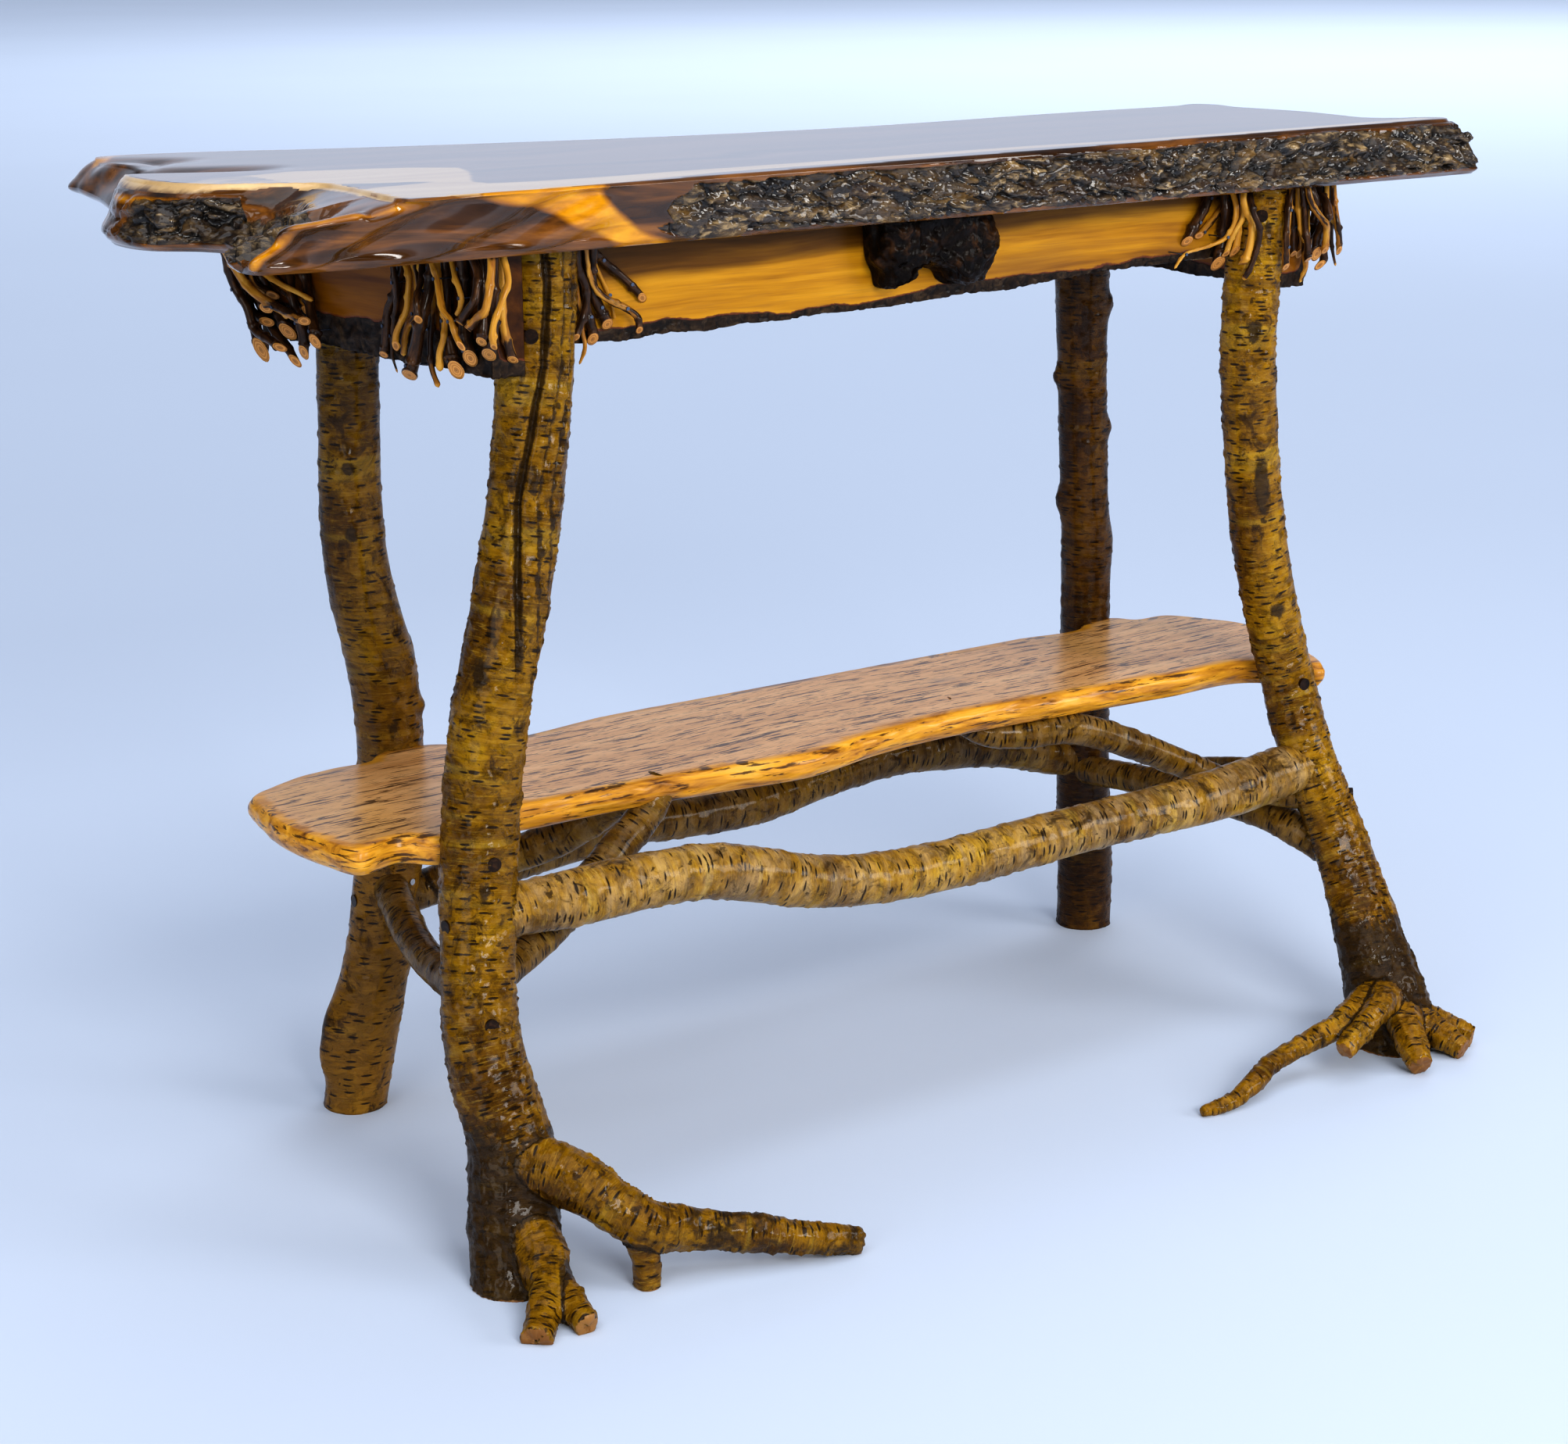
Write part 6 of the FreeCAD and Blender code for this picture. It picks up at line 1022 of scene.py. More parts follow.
SHELF = [(-518, 68), (-492, 84), (-465, 95), (-430, 101), (-392, 103), (-384, 112), (-322, 112), (-312, 104),
         (-150, 102), (0, 99), (150, 97), (300, 95), (386, 94), (394, 101), (440, 101), (450, 86), (488, 79), (512, 44),
         (528, 9), (524, -40), (516, -75), (503, -103), (488, -135), (470, -158), (450, -140), (426, -112), (330, -103),
         (200, -93), (72, -85), (0, -92), (-87, -110), (-150, -103), (-217, -95), (-330, -92), (-388, -94),
         (-398, -120), (-452, -124), (-472, -104), (-512, -111), (-527, -70), (-533, -10), (-528, 34)]
SLAB = [(-520, 268, -505, 262), (-480, 262, -472, 258), (-440, 252, -440, 250), (-360, 222, -360, 220), (-300, 203, -300, 201), (-240, 187, -240, 185),
        (-120, 158, -120, 156), (0, 138, 0, 136), (120, 129, 120, 127), (240, 134, 240, 132), (340, 143, 340, 141),
        (450, 147, 450, 145), (545, 150, 545, 148), (585, 158, 579, 154), (598, 140, 588, 137), (591, 100, 580, 100),
        (594, 50, 583, 46), (596, 10, 584, 6), (590, -40, 577, -40), (588, -85, 571, -83), (604, -110, 588, -104),
        (622, -125, 607, -112), (630, -145, 617, -123), (622, -168, 605, -137), (590, -176, 571, -143),
        (500, -177, 500, -151), (420, -178, 420, -156), (300, -179, 300, -164), (150, -180, 150, -174), (0, -181, 0, -182),
        (-106, -182, -110, -188), (-200, -184, -200, -194), (-262, -185, -268, -198), (-338, -187, -340, -202),
        (-431, -188, -420, -204), (-520, -188, -502, -197), (-575, -184, -552, -187), (-603, -174, -576, -174),
        (-606, -146, -575, -142), (-588, -104, -564, -98), (-562, -58, -547, -54), (-574, -22, -552, -18),
        (-602, 8, -571, 12), (-608, 48, -582, 54), (-598, 92, -578, 96), (-574, 128, -558, 128), (-592, 152, -572, 152),
        (-588, 204, -566, 204), (-566, 262, -546, 254), (-545, 274, -530, 264)]


BURL = [(-40, 764), (-38, 749), (-36, 731), (-30, 720), (-26, 708), (-18, 706), (-14, 714), (-9, 720), (-4, 727), (4, 731),
        (12, 729), (19, 724), (26, 720), (35, 717), (41, 709), (50, 704.5), (67, 705.5), (78, 712), (83, 731), (86, 739), (84, 752), (80, 763)]


DF = [(-318.6, 765), (-318.6, 687.5), (-300, 686.6), (-262, 685), (-225, 687.5), (-190, 686), (-150, 688.5), (-111, 688),
      (-70, 690.5), (-30, 689.5), (26, 691.5), (70, 694), (120, 694), (168, 697.5), (215, 700.5), (260, 702), (310, 702.5),
      (362.6, 704), (362.6, 765)]
TWIGS = {
    'left_end_front': [
        ('L1', 'd', 'c', [(-419.8, -48.1, 765.5, 3.5), (-420.1, -45.5, 751.7, 3.5), (-420.5, -41.3, 738.4, 3.5), (-421.2, -35.1, 725.8, 3.5), (-422.1, -26.1, 714.7, 3.5), (-422.5, -23, 701.5, 3.6), (-422.8, -20.2, 687.7, 3.6), (-423.2, -15.5, 674.5, 3.6)]),
        ('L3', 'd', 'p', [(-424.5, -43.6, 765.5, 2.4), (-427.9, -46.8, 751.1, 2.4), (-426.8, -47.1, 736.9, 2.4), (-422.8, -41, 722.7, 2.4), (-420.7, -32.7, 708.2, 2.3), (-420.4, -27.1, 694.1, 1.8), (-419.9, -24.6, 679.5, 1.3), (-418.7, -29.6, 665.9, 0.7)]),
        ('L2', 'y', 's', [(-422.9, -53.6, 765.5, 2.3), (-422.9, -56, 753.6, 2.3), (-423.2, -62.4, 742.8, 2.4), (-424.5, -63, 730.7, 2.4), (-426.3, -62.1, 718.1, 2.5), (-427.2, -54.2, 707.9, 2.5), (-427.8, -46.8, 697.4, 2.6), (-428, -45.2, 684.6, 2.6)]),
        ('L4', 'm', 'p', [(-418, -59.6, 765.5, 2.9), (-417.9, -61, 752.5, 2.9), (-417.5, -63.7, 739.6, 2.8), (-417.5, -63.2, 726.1, 2.8), (-417.8, -60.5, 714.3, 2.8), (-418.7, -50.2, 704.9, 2.7), (-419.3, -44.8, 693.5, 2.7), (-419.6, -41.9, 680.2, 2.7)]),
        ('L5', 'y', 's', [(-418.3, -66.3, 765.5, 1.6), (-418.6, -68.1, 758.5, 1.6), (-419, -70.8, 751.9, 1.6), (-419.6, -74.4, 745.7, 1.5), (-420.2, -78.1, 739.4, 1.4), (-420.9, -81.2, 733, 1.3), (-421.6, -83.9, 726.3, 1.2), (-422.4, -86.4, 719.6, 1.2)]),
        ('L6', 'd', 'c', [(-416.3, -71.6, 765.5, 2.3), (-417.7, -73.7, 756.9, 2.3), (-420.4, -77.7, 748.9, 2.3), (-424.1, -82.3, 741.5, 2.3), (-429.3, -87.1, 734.7, 2.4), (-434.4, -92.8, 727.9, 2.5), (-434.5, -94, 719.8, 2.7), (-433.8, -94.2, 711.7, 2.9)]),
        ('L7', 'd', 'c', [(-417.7, -91.1, 765.5, 4), (-419.2, -90.6, 750.4, 4), (-422.6, -90.6, 735.2, 4.2), (-427.4, -90.6, 720.4, 4.5), (-428.7, -85, 705.8, 4.8), (-427.7, -77.5, 691.7, 5), (-428.1, -70.8, 677.7, 5.3), (-429, -64.3, 663.9, 5.6)]),
        ('L8', 'm', 'p', [(-415.9, -83.6, 765.5, 3.2), (-415.8, -83.6, 750.3, 3.1), (-415.7, -83.8, 735.1, 3), (-415.6, -82.3, 720, 2.8), (-415.8, -79.4, 705, 2.7), (-415.8, -77.2, 690, 2.5), (-415.5, -78.3, 674.8, 2.3), (-414.3, -85.4, 661.5, 2)]),
        ('L9', 'y', 's', [(-426, -101.7, 765.5, 2.4), (-427.3, -106.3, 756.1, 2.4), (-426.1, -110.1, 745.8, 2.4), (-427.3, -115.1, 734.9, 2.4), (-429, -122, 724.8, 2.4), (-428, -132.5, 717.4, 2.3), (-427.3, -138, 706.6, 2.3), (-426.5, -146.2, 697.6, 2.3)]),
        ('L10', 'y', 'p', [(-420.8, -102.9, 765.5, 2.3), (-421.6, -104.3, 754.2, 2.3), (-421.3, -105.7, 740.9, 2.3), (-421.2, -107.7, 727.6, 2.3), (-420.6, -109.8, 714.7, 2.4), (-422.3, -110.5, 702.6, 2.5), (-424, -106.4, 690.1, 2.7), (-422.8, -104.2, 676.7, 2.9)]),
        ('L11', 'd', 'c', [(-414.6, -102, 765.5, 3.7), (-414.6, -103.1, 751.8, 3.8), (-414.8, -104.8, 738.1, 4.1), (-415.3, -103.2, 724.5, 4.4), (-415.7, -102.3, 711.1, 4.7), (-415.6, -106.7, 697.8, 5), (-415.3, -111.5, 684.9, 5.2), (-415, -117.2, 672.4, 5.5)]),
        ('L12', 'y', 'p', [(-415.2, -110.4, 765.5, 2.3), (-415.9, -115, 759.1, 2.3), (-417.6, -120.4, 752.8, 2.2), (-419.1, -125.5, 746.5, 2.2), (-419, -130.1, 740, 2.1), (-418.8, -132.6, 733.4, 2.1), (-419.1, -130.7, 726.7, 2), (-419.3, -124.9, 719.9, 2)]),
        ('L13', 'd', 'c', [(-417.3, -145.6, 765.5, 3.1), (-418.7, -154.6, 759.8, 3.1), (-419.9, -159.9, 752.6, 3.1), (-423, -163.1, 744, 3.1), (-425.7, -164, 735.2, 3.1), (-426.4, -156.3, 728.5, 3.1), (-427.1, -148.6, 721.6, 3.1), (-427.8, -141.6, 714.6, 3.1)]),
        ('L19', 'd', 'c', [(-412.6, -124.9, 765.5, 4), (-412.6, -124.9, 753.5, 4), (-412.6, -125.1, 741.6, 4), (-412.6, -125.2, 729.6, 4), (-412.7, -125.4, 717.6, 4.1), (-413.1, -126, 705.8, 4.5), (-412.9, -130.5, 694.6, 4.8), (-412.9, -134.3, 683.3, 5.1)]),
        ('L14', 'm', 'c', [(-414.5, -170.8, 765.5, 3.1), (-417.2, -174.7, 756.6, 3.1), (-420, -177.1, 747.3, 3.2), (-423.1, -178.5, 737.3, 3.2), (-424.7, -176.8, 729.5, 3.2), (-425.4, -167.4, 723.4, 3.3), (-426.2, -159.4, 717.3, 3.3), (-427.1, -151.3, 711.4, 3.4)]),
        ('L18', 'd', 'c', [(-410.8, -149.7, 765.5, 3.4), (-411.3, -150.7, 755.9, 3.4), (-412, -152.3, 746.4, 3.4), (-413.7, -155.1, 737.3, 3.4), (-416, -158.8, 728.3, 3.5), (-417.6, -161.1, 719, 3.6), (-419.1, -162, 709.7, 3.8), (-419.5, -159.8, 700.4, 4)]),
        ('L20', 'd', 'c', [(-407.4, -162.3, 765.5, 3.7), (-407.6, -162.1, 754.3, 3.7), (-407.9, -161.7, 743.1, 3.7), (-408.3, -161.2, 731.9, 3.7), (-408.8, -160.6, 720.7, 4), (-409.4, -159.7, 709.6, 4.7), (-410.2, -157.6, 698.7, 5.2), (-411.5, -154.1, 687.9, 5.7)]),
        ('L15', 'y', 'c', [(-400, -162.1, 765.5, 2.7), (-399.6, -166.1, 755.9, 2.6), (-401.1, -170.2, 746.9, 2.6), (-406.2, -172.4, 738.1, 2.6), (-410.7, -172.4, 728.9, 2.6), (-415.1, -172.4, 719.4, 2.6), (-416.5, -172.4, 709.5, 2.6), (-415.4, -172.3, 699.2, 2.5)]),
        ('L16', 'm', 'c', [(-397.6, -153.6, 765.5, 3.1), (-397.4, -153.6, 753.6, 3.1), (-397.2, -153.6, 741.9, 3.1), (-396.8, -153.8, 730.3, 3.3), (-397.1, -153.9, 718.8, 3.4), (-395.2, -154, 707.2, 3.5), (-392, -154.1, 695.6, 3.6), (-388.5, -154.2, 684.1, 3.7)]),
    ],
    'drawer_left': [
        ('R3', 'y', 'p', [(-305, -112.3, 765.5, 1.5), (-304.5, -112.3, 761.9, 1.5), (-303.7, -112.3, 758.4, 1.5), (-302.7, -112.2, 754.9, 1.4), (-301.4, -112.2, 751.5, 1.4), (-300, -112.1, 748.2, 1.3), (-298.5, -112, 744.8, 1.2), (-297, -112, 741.6, 1.2)]),
        ('R1', 'd', 'c', [(-316.1, -127.8, 765.5, 3.2), (-316.5, -127.6, 755.4, 3.2), (-313.3, -125.3, 744.3, 3.1), (-307.7, -123.9, 733.7, 3), (-305.9, -122.9, 722.4, 2.9), (-308.4, -122.6, 711.7, 2.8), (-312.7, -122.5, 701.4, 2.7), (-317.3, -122.4, 691.7, 2.6)]),
        ('R4', 'y', 'p', [(-302.6, -116, 765.5, 2.4), (-299, -114.7, 756.5, 2.3), (-293.1, -113.2, 748.5, 2.1), (-288.3, -112.7, 739.9, 1.9), (-283.7, -112.5, 731.2, 1.7), (-279.5, -112.3, 722.5, 1.5), (-276.6, -112.1, 713.2, 1.3), (-274.7, -112, 703.5, 1.2)]),
        ('R5', 'd', 's', [(-302.7, -122.1, 765.5, 2.9), (-296.6, -120.2, 757.2, 2.9), (-287.4, -115.7, 749.8, 3), (-278.1, -114.1, 743.3, 3.1), (-269.6, -113.9, 736.5, 3.1), (-261.5, -114, 729.5, 3.2), (-253.9, -114, 721.9, 3.2), (-246.7, -114.1, 713.8, 3.3)]),
        ('R6', 'm', 'c', [(-310.9, -130.6, 765.5, 2.6), (-309, -128.6, 753.1, 2.6), (-303.2, -123.7, 739.1, 2.7), (-295.6, -123.1, 727.1, 2.7), (-283.9, -122.8, 719.1, 2.8), (-271.4, -122.7, 712.8, 2.9), (-260.9, -122.7, 705.1, 2.9), (-258.8, -122.8, 691.5, 3)]),
        ('R7', 'd', 'c', [(-303.6, -129.8, 765.3, 3.8), (-302, -126.3, 755, 3.8), (-298.9, -119.1, 744.8, 3.8), (-296.9, -116.2, 734.3, 3.9), (-295, -115.2, 723.7, 4.1), (-290.4, -115.2, 714.5, 4.3), (-285.3, -115.4, 705.2, 4.6), (-281.2, -115.6, 695.5, 4.8)]),
        ('R8', 'd', 'c', [(-309.8, -121.1, 765.5, 3.5), (-308.5, -120.2, 754.7, 3.5), (-306.7, -118, 742.8, 3.5), (-304.9, -116.9, 731.2, 3.5), (-302.4, -115.7, 719.6, 3.6), (-299.8, -115, 708.1, 3.9), (-296.9, -115, 696.8, 4.2), (-296.3, -115.3, 685.3, 4.5)]),
        ('R9', 'm', 'p', [(-316, -121.9, 765.5, 2.1), (-316, -121.2, 753, 2.1), (-312.4, -118.4, 739.1, 2.1), (-310.1, -117, 725.3, 2.1), (-307.2, -115.2, 711.5, 2.1), (-304.8, -113.6, 697.7, 1.8), (-302.4, -113.1, 684.4, 1.5), (-307.4, -112.4, 671.9, 1.2)]),
    ],
    'drawer_right': [
        ('F1', 'd', 'c', [(343.3, -115.3, 765.5, 4.5), (340.6, -115.2, 757.8, 4.4), (337.3, -115.2, 750.6, 4.4), (333.3, -115.1, 743.8, 4.3), (328.2, -115.1, 737.5, 4.3), (323.5, -115, 731, 4.2), (319.1, -114.9, 724.3, 4.1), (315, -114.9, 717.4, 4.1)]),
        ('F2', 'm', 'c', [(362.5, -113.1, 765.5, 2.4), (362.5, -113.2, 757.5, 2.4), (362.3, -113.3, 750.6, 2.5), (356.2, -113.4, 744.4, 2.6), (349.9, -113.5, 738.8, 2.7), (343.1, -113.7, 733.5, 2.9), (336.4, -113.8, 728.3, 3), (329.6, -113.9, 723.2, 3.1)]),
        ('F3', 'y', 'p', [(357, -127.4, 765.5, 2.8), (356.9, -133.7, 750.8, 2.6), (354.9, -134.6, 737.6, 2.3), (348.5, -131.4, 724.6, 2.1), (333.3, -130.8, 719.1, 1.9), (316.9, -130.5, 716.3, 1.7), (300.8, -130.3, 713, 1.5), (288.8, -130.2, 701.3, 1.4)]),
        ('F5', 'd', 'c', [(357.3, -118.5, 765.5, 4.5), (356.5, -120.7, 755.7, 4.5), (356.6, -121.6, 745.2, 4.5), (358.6, -118.5, 734.2, 4.5), (359.8, -116.2, 723.6, 4.8), (357.7, -116, 713.4, 5.2), (354.8, -116.4, 703.2, 5.6), (352.5, -116.7, 693, 5.9)]),
        ('F4', 'y', 'c', [(361.4, -137, 765.5, 2.2), (360.5, -139.1, 758.6, 2.3), (363.1, -137.3, 748.8, 2.4), (361.5, -137.4, 739.6, 2.4), (357.7, -134.7, 731.1, 2.5), (355.9, -130.1, 722.7, 2.6), (356, -126.7, 714.2, 2.7), (353.6, -125.6, 705.9, 2.8)]),
        ('F7', 'm', 's', [(363.8, -131.5, 765.5, 3.1), (363.1, -132.1, 758.9, 3.1), (363.8, -131.3, 749.7, 3.1), (363.7, -131.2, 740.6, 3.2), (363.5, -131.1, 731.5, 3.3), (362.8, -130.6, 722.4, 3.5), (362, -129.9, 713.4, 3.7), (361, -127.6, 704.2, 3.8)]),
        ('F6', 'y', 'c', [(357.6, -141.9, 765.5, 2.8), (354, -145.2, 758.1, 2.8), (359.3, -144.1, 747.3, 3), (367.7, -142.7, 737.1, 3.2), (366.9, -144.2, 726.9, 3.3), (365.4, -143.9, 716.5, 3.5), (362.9, -142.2, 706.4, 3.6), (363, -136.2, 697.3, 3.8)]),
        ('F8', 'd', 'p', [(367.2, -138.5, 765.5, 2.8), (361.6, -147, 757.5, 2.7), (361.4, -151.3, 746.2, 2.7), (366.5, -153, 735.2, 2.7), (370.5, -149.9, 722.9, 2.6), (370.1, -146.5, 709.9, 2.5), (366.6, -144.8, 698.3, 2.5), (364.9, -138, 686.4, 2.4)]),
    ],
    'right_end_front': [
        ('G1', 'm', 'c', [(412.5, -144.9, 765.5, 3.1), (407.8, -148.1, 756, 3.1), (404.2, -150.7, 746.2, 3.2), (401.4, -152.9, 736, 3.2), (399.1, -154.7, 725.4, 3.2), (398.7, -155.1, 714.7, 3.3), (398.9, -155.1, 703.9, 3.3), (399.7, -155.1, 692.9, 3.3)]),
        ('G2', 'y', 'p', [(423.2, -143.6, 765.5, 3.7), (423.4, -143.4, 758.2, 3.5), (424, -143, 750.6, 3.2), (424.4, -143.6, 743.1, 2.9), (424.9, -144.7, 735.6, 2.5), (425.5, -145.3, 728.4, 2.1), (426.7, -146.5, 721.5, 1.7), (429.3, -147.2, 714.8, 1.4)]),
        ('G3', 'd', 'c', [(424.8, -136.6, 765.5, 2.8), (424.9, -136.6, 756.4, 2.8), (425.2, -136.6, 747.3, 2.8), (425.5, -136.5, 738.2, 2.8), (425.9, -136.5, 729.1, 2.7), (426.4, -136.4, 719.9, 2.6), (427, -136.3, 710.9, 2.5), (427.7, -136.2, 701.8, 2.4)]),
        ('G4', 'm', 's', [(433.5, -136.7, 765.5, 2.8), (433.6, -136.7, 756.1, 2.8), (433.9, -136.7, 746.8, 2.8), (434.3, -136.6, 737.4, 2.8), (434.7, -136.6, 728.1, 2.8), (435.4, -136.6, 718.7, 2.8), (435.8, -136.5, 709.4, 2.7), (434.9, -136.4, 700.1, 2.6)]),
        ('G8', 'd', 'c', [(420.8, -150.4, 765.5, 2.8), (420.8, -152, 756.2, 2.8), (425.1, -149.6, 746.4, 2.8), (425.8, -150.3, 736.8, 2.8), (426.7, -151, 726.6, 2.8), (427.9, -152.5, 716.4, 3.1), (430.5, -151, 706.3, 3.3), (434, -148.7, 696.5, 3.5)]),
        ('G9', 'm', 'p', [(432.8, -143.9, 765.5, 3.8), (433, -143.9, 753.1, 3.8), (433.3, -143.8, 740.5, 3.8), (433.8, -143.7, 727.8, 3.8), (434.1, -144.5, 715.2, 3.8), (435.1, -143.4, 702.5, 3.2), (440.7, -138.8, 690.3, 2.2), (437.3, -135.7, 678.2, 1.4)]),
        ('G6', 'd', 'c', [(428.3, -151.3, 765.5, 4.2), (429.4, -154.3, 759.3, 4.2), (432.3, -155.9, 751.4, 4.3), (437.9, -151.6, 743.3, 4.3), (446, -142.9, 735.2, 4.4), (450.1, -138.9, 727.1, 4.5), (452.1, -138.3, 719, 4.5), (452.9, -138.4, 710.5, 4.6)]),
        ('G7', 'd', 'c', [(449.3, -137.4, 765.5, 4.2), (447.8, -143.3, 757, 4.2), (442.7, -158.3, 749.9, 4.2), (440.2, -163.4, 740.8, 4.2), (444, -152.8, 728.7, 4.2), (446.8, -145.9, 717.7, 4.2), (446.7, -145.7, 708, 4.6), (445.4, -147.8, 698.7, 4.9)]),
        ('G5', 'm', 'c', [(421, -156.6, 765.5, 2.8), (421.7, -158.6, 757.1, 2.9), (426.3, -159.4, 748.1, 2.9), (430.3, -164.1, 740, 3), (436.8, -165.2, 732.7, 3.1), (443.9, -159.3, 723.7, 3.2), (447.4, -155.8, 713.9, 3.2), (447.2, -155.4, 704.1, 3.3)]),
        ('G10', 'd', 's', [(457.8, -137.6, 765.5, 3.5), (458.3, -137.6, 753.9, 3.5), (459.2, -137.5, 742.4, 3.5), (460.5, -137.4, 731, 3.5), (461.9, -137.4, 719.6, 3.5), (463.9, -137.3, 708, 3.5), (465.2, -137.1, 697.1, 3.3), (457.2, -137, 688, 3.2)]),
        ('G11', 'y', 'p', [(457.5, -144.1, 765.5, 2.4), (457.8, -144.3, 759, 2.3), (458.7, -143.8, 752.2, 2.1), (460, -143.5, 745.2, 2), (462.2, -144.2, 738.3, 1.7), (464.8, -144.4, 733, 1.6), (470, -144.4, 728.8, 1.4), (477.1, -144, 725.7, 1.2)]),
        ('G13', 'd', 'p', [(468, -138.1, 765.5, 3.2), (468.7, -137.9, 754.3, 3.2), (469.8, -137.5, 743.2, 3.2), (471.3, -137.1, 732.2, 3.2), (473.2, -136.4, 721.2, 2.7), (475.8, -135.8, 710.5, 2), (479.2, -135.3, 699.9, 1.5), (483.4, -134.9, 689.5, 1.1)]),
        ('G12', 'm', 's', [(464.9, -144.3, 765.5, 3.2), (465.9, -144.7, 756.9, 3.2), (467.1, -144.9, 747.3, 3.2), (465.9, -148.6, 738.3, 3.1), (466, -151.2, 728.8, 3.1), (471.1, -148.7, 719.2, 3), (474.9, -146.2, 709.8, 2.9), (476.1, -145.6, 700.3, 2.8)]),
    ],
    'left_end_back': [
        ('B1', 'd', 's', [(-473.6, 147.8, 765.5, 4.1), (-471.5, 150, 749.3, 4.1), (-467.6, 153.9, 730.2, 4.1), (-463.4, 151.4, 714.4, 4), (-459.7, 142.9, 702.3, 3.8), (-456.7, 136.6, 683.8, 3.7), (-454.3, 115.8, 677.5, 3.5), (-452.1, 95.4, 671, 3.4)]),
        ('B2', 'd', 's', [(-453, 160, 765, 4.7), (-453, 159.1, 749.5, 4.7), (-452.9, 161.7, 733.2, 4.7), (-451.7, 163.2, 716.5, 4.7), (-449.7, 161.2, 700.7, 4.7), (-447.9, 155.7, 686.4, 4.9), (-448.2, 147.2, 672.2, 5.3), (-449.7, 138.7, 657.4, 5.6)]),
        ('B3', 'd', 'c', [(-453.1, 147.3, 765.5, 3.8), (-458.7, 140.2, 757.4, 3.8), (-466, 136.3, 743.4, 3.8), (-462.6, 140.8, 731, 3.8), (-453.5, 146.1, 720.2, 3.8), (-452.1, 138.8, 711.6, 3.9), (-453.4, 127.2, 705.3, 3.9), (-454.8, 114.3, 700.6, 4)]),
        ('B5', 'd', 's', [(-464.6, 160.1, 765.5, 3.2), (-462.9, 160.8, 753.1, 3.2), (-461.3, 161.8, 737.9, 3.2), (-461.4, 158.8, 724.4, 3.2), (-458, 157.6, 711.6, 3.2), (-452.9, 152, 698.8, 3.4), (-447.8, 143.1, 690.9, 3.6), (-446.7, 127.2, 687.7, 3.7)]),
        ('B6', 'm', 's', [(-447.3, 154.2, 765.5, 2.8), (-449.9, 147.2, 756.7, 2.8), (-452.4, 143.7, 744.1, 2.8), (-455.2, 138.8, 733, 2.8), (-456.8, 134.6, 724.9, 2.8), (-454.8, 129.9, 718.1, 3), (-448.1, 126, 713, 3.2), (-445.5, 116.4, 709.5, 3.4)]),
        ('B7', 'y', 'p', [(-470.3, 157.1, 765.4, 2.5), (-464.5, 149, 756.8, 2.5), (-458.8, 144.4, 745.1, 2.5), (-457.7, 130.4, 736, 2.5), (-450.8, 120.6, 727.4, 2.5), (-448, 102.7, 722.2, 2.3), (-445.1, 83.6, 718.3, 2.1), (-439.5, 65.4, 712.6, 1.8)]),
        ('B8', 'm', 's', [(-453.6, 172, 765.5, 4), (-445.7, 172, 752.3, 4), (-441.7, 162.6, 739.6, 4), (-440.1, 147, 729.2, 4), (-438.5, 130.9, 720.3, 4), (-436.8, 113.6, 713.3, 4), (-434.7, 95.6, 707.5, 3.8), (-433, 79.6, 698.1, 3.7)]),
        ('B9', 'm', 'c', [(-482, 153.4, 765.5, 3.7), (-481.5, 138.7, 756.7, 3.7), (-473, 136.2, 738.1, 3.7), (-464.9, 132.9, 721.9, 3.7), (-460.6, 116.4, 712.2, 3.7), (-452.6, 103.6, 704.6, 3.7), (-450.2, 84.2, 700.8, 3.7), (-448.7, 58.9, 697, 3.6)]),
        ('B10', 'd', 'c', [(-442.1, 162.2, 765.5, 4.4), (-441.8, 156.3, 750.8, 4.4), (-446.6, 144.4, 737.1, 4.4), (-449, 134.7, 724.1, 4.4), (-443.8, 133.4, 711.4, 4.4), (-439.5, 129.6, 699.6, 4.4), (-438.5, 120.1, 688.9, 5), (-438.2, 111, 677.4, 5.6)]),
        ('B11', 'd', 's', [(-436.8, 117.8, 765.5, 3.7), (-436.6, 115.8, 749.9, 3.7), (-437, 110.8, 735.2, 3.7), (-440.7, 100.3, 721.9, 3.7), (-443, 92.2, 707.7, 3.7), (-438.5, 91.9, 692.2, 3.8), (-435.1, 94.3, 676.6, 3.9), (-434.8, 96.6, 661.2, 4)]),
        ('B12', 'd', 'c', [(-435.3, 99.7, 765.5, 4), (-435.1, 96.9, 751.2, 4), (-434.6, 92.6, 737.7, 4), (-434, 86.6, 724.8, 4), (-435.7, 79.8, 712.6, 4), (-437.6, 73.3, 700.7, 4), (-439.1, 66.6, 688.9, 4.3), (-440.9, 62.2, 675.8, 4.6)]),
        ('B13', 'd', 's', [(-460.2, 166.5, 765.4, 3.8), (-453.7, 168.8, 747.4, 3.8), (-445.7, 171.4, 727.6, 3.8), (-441.8, 165.3, 710, 3.8), (-440.4, 152.3, 694.7, 3.8), (-438.9, 137.9, 680.8, 3.7), (-436.7, 120.4, 669.6, 3.6), (-435.1, 106.1, 655.2, 3.4)]),
    ],
}


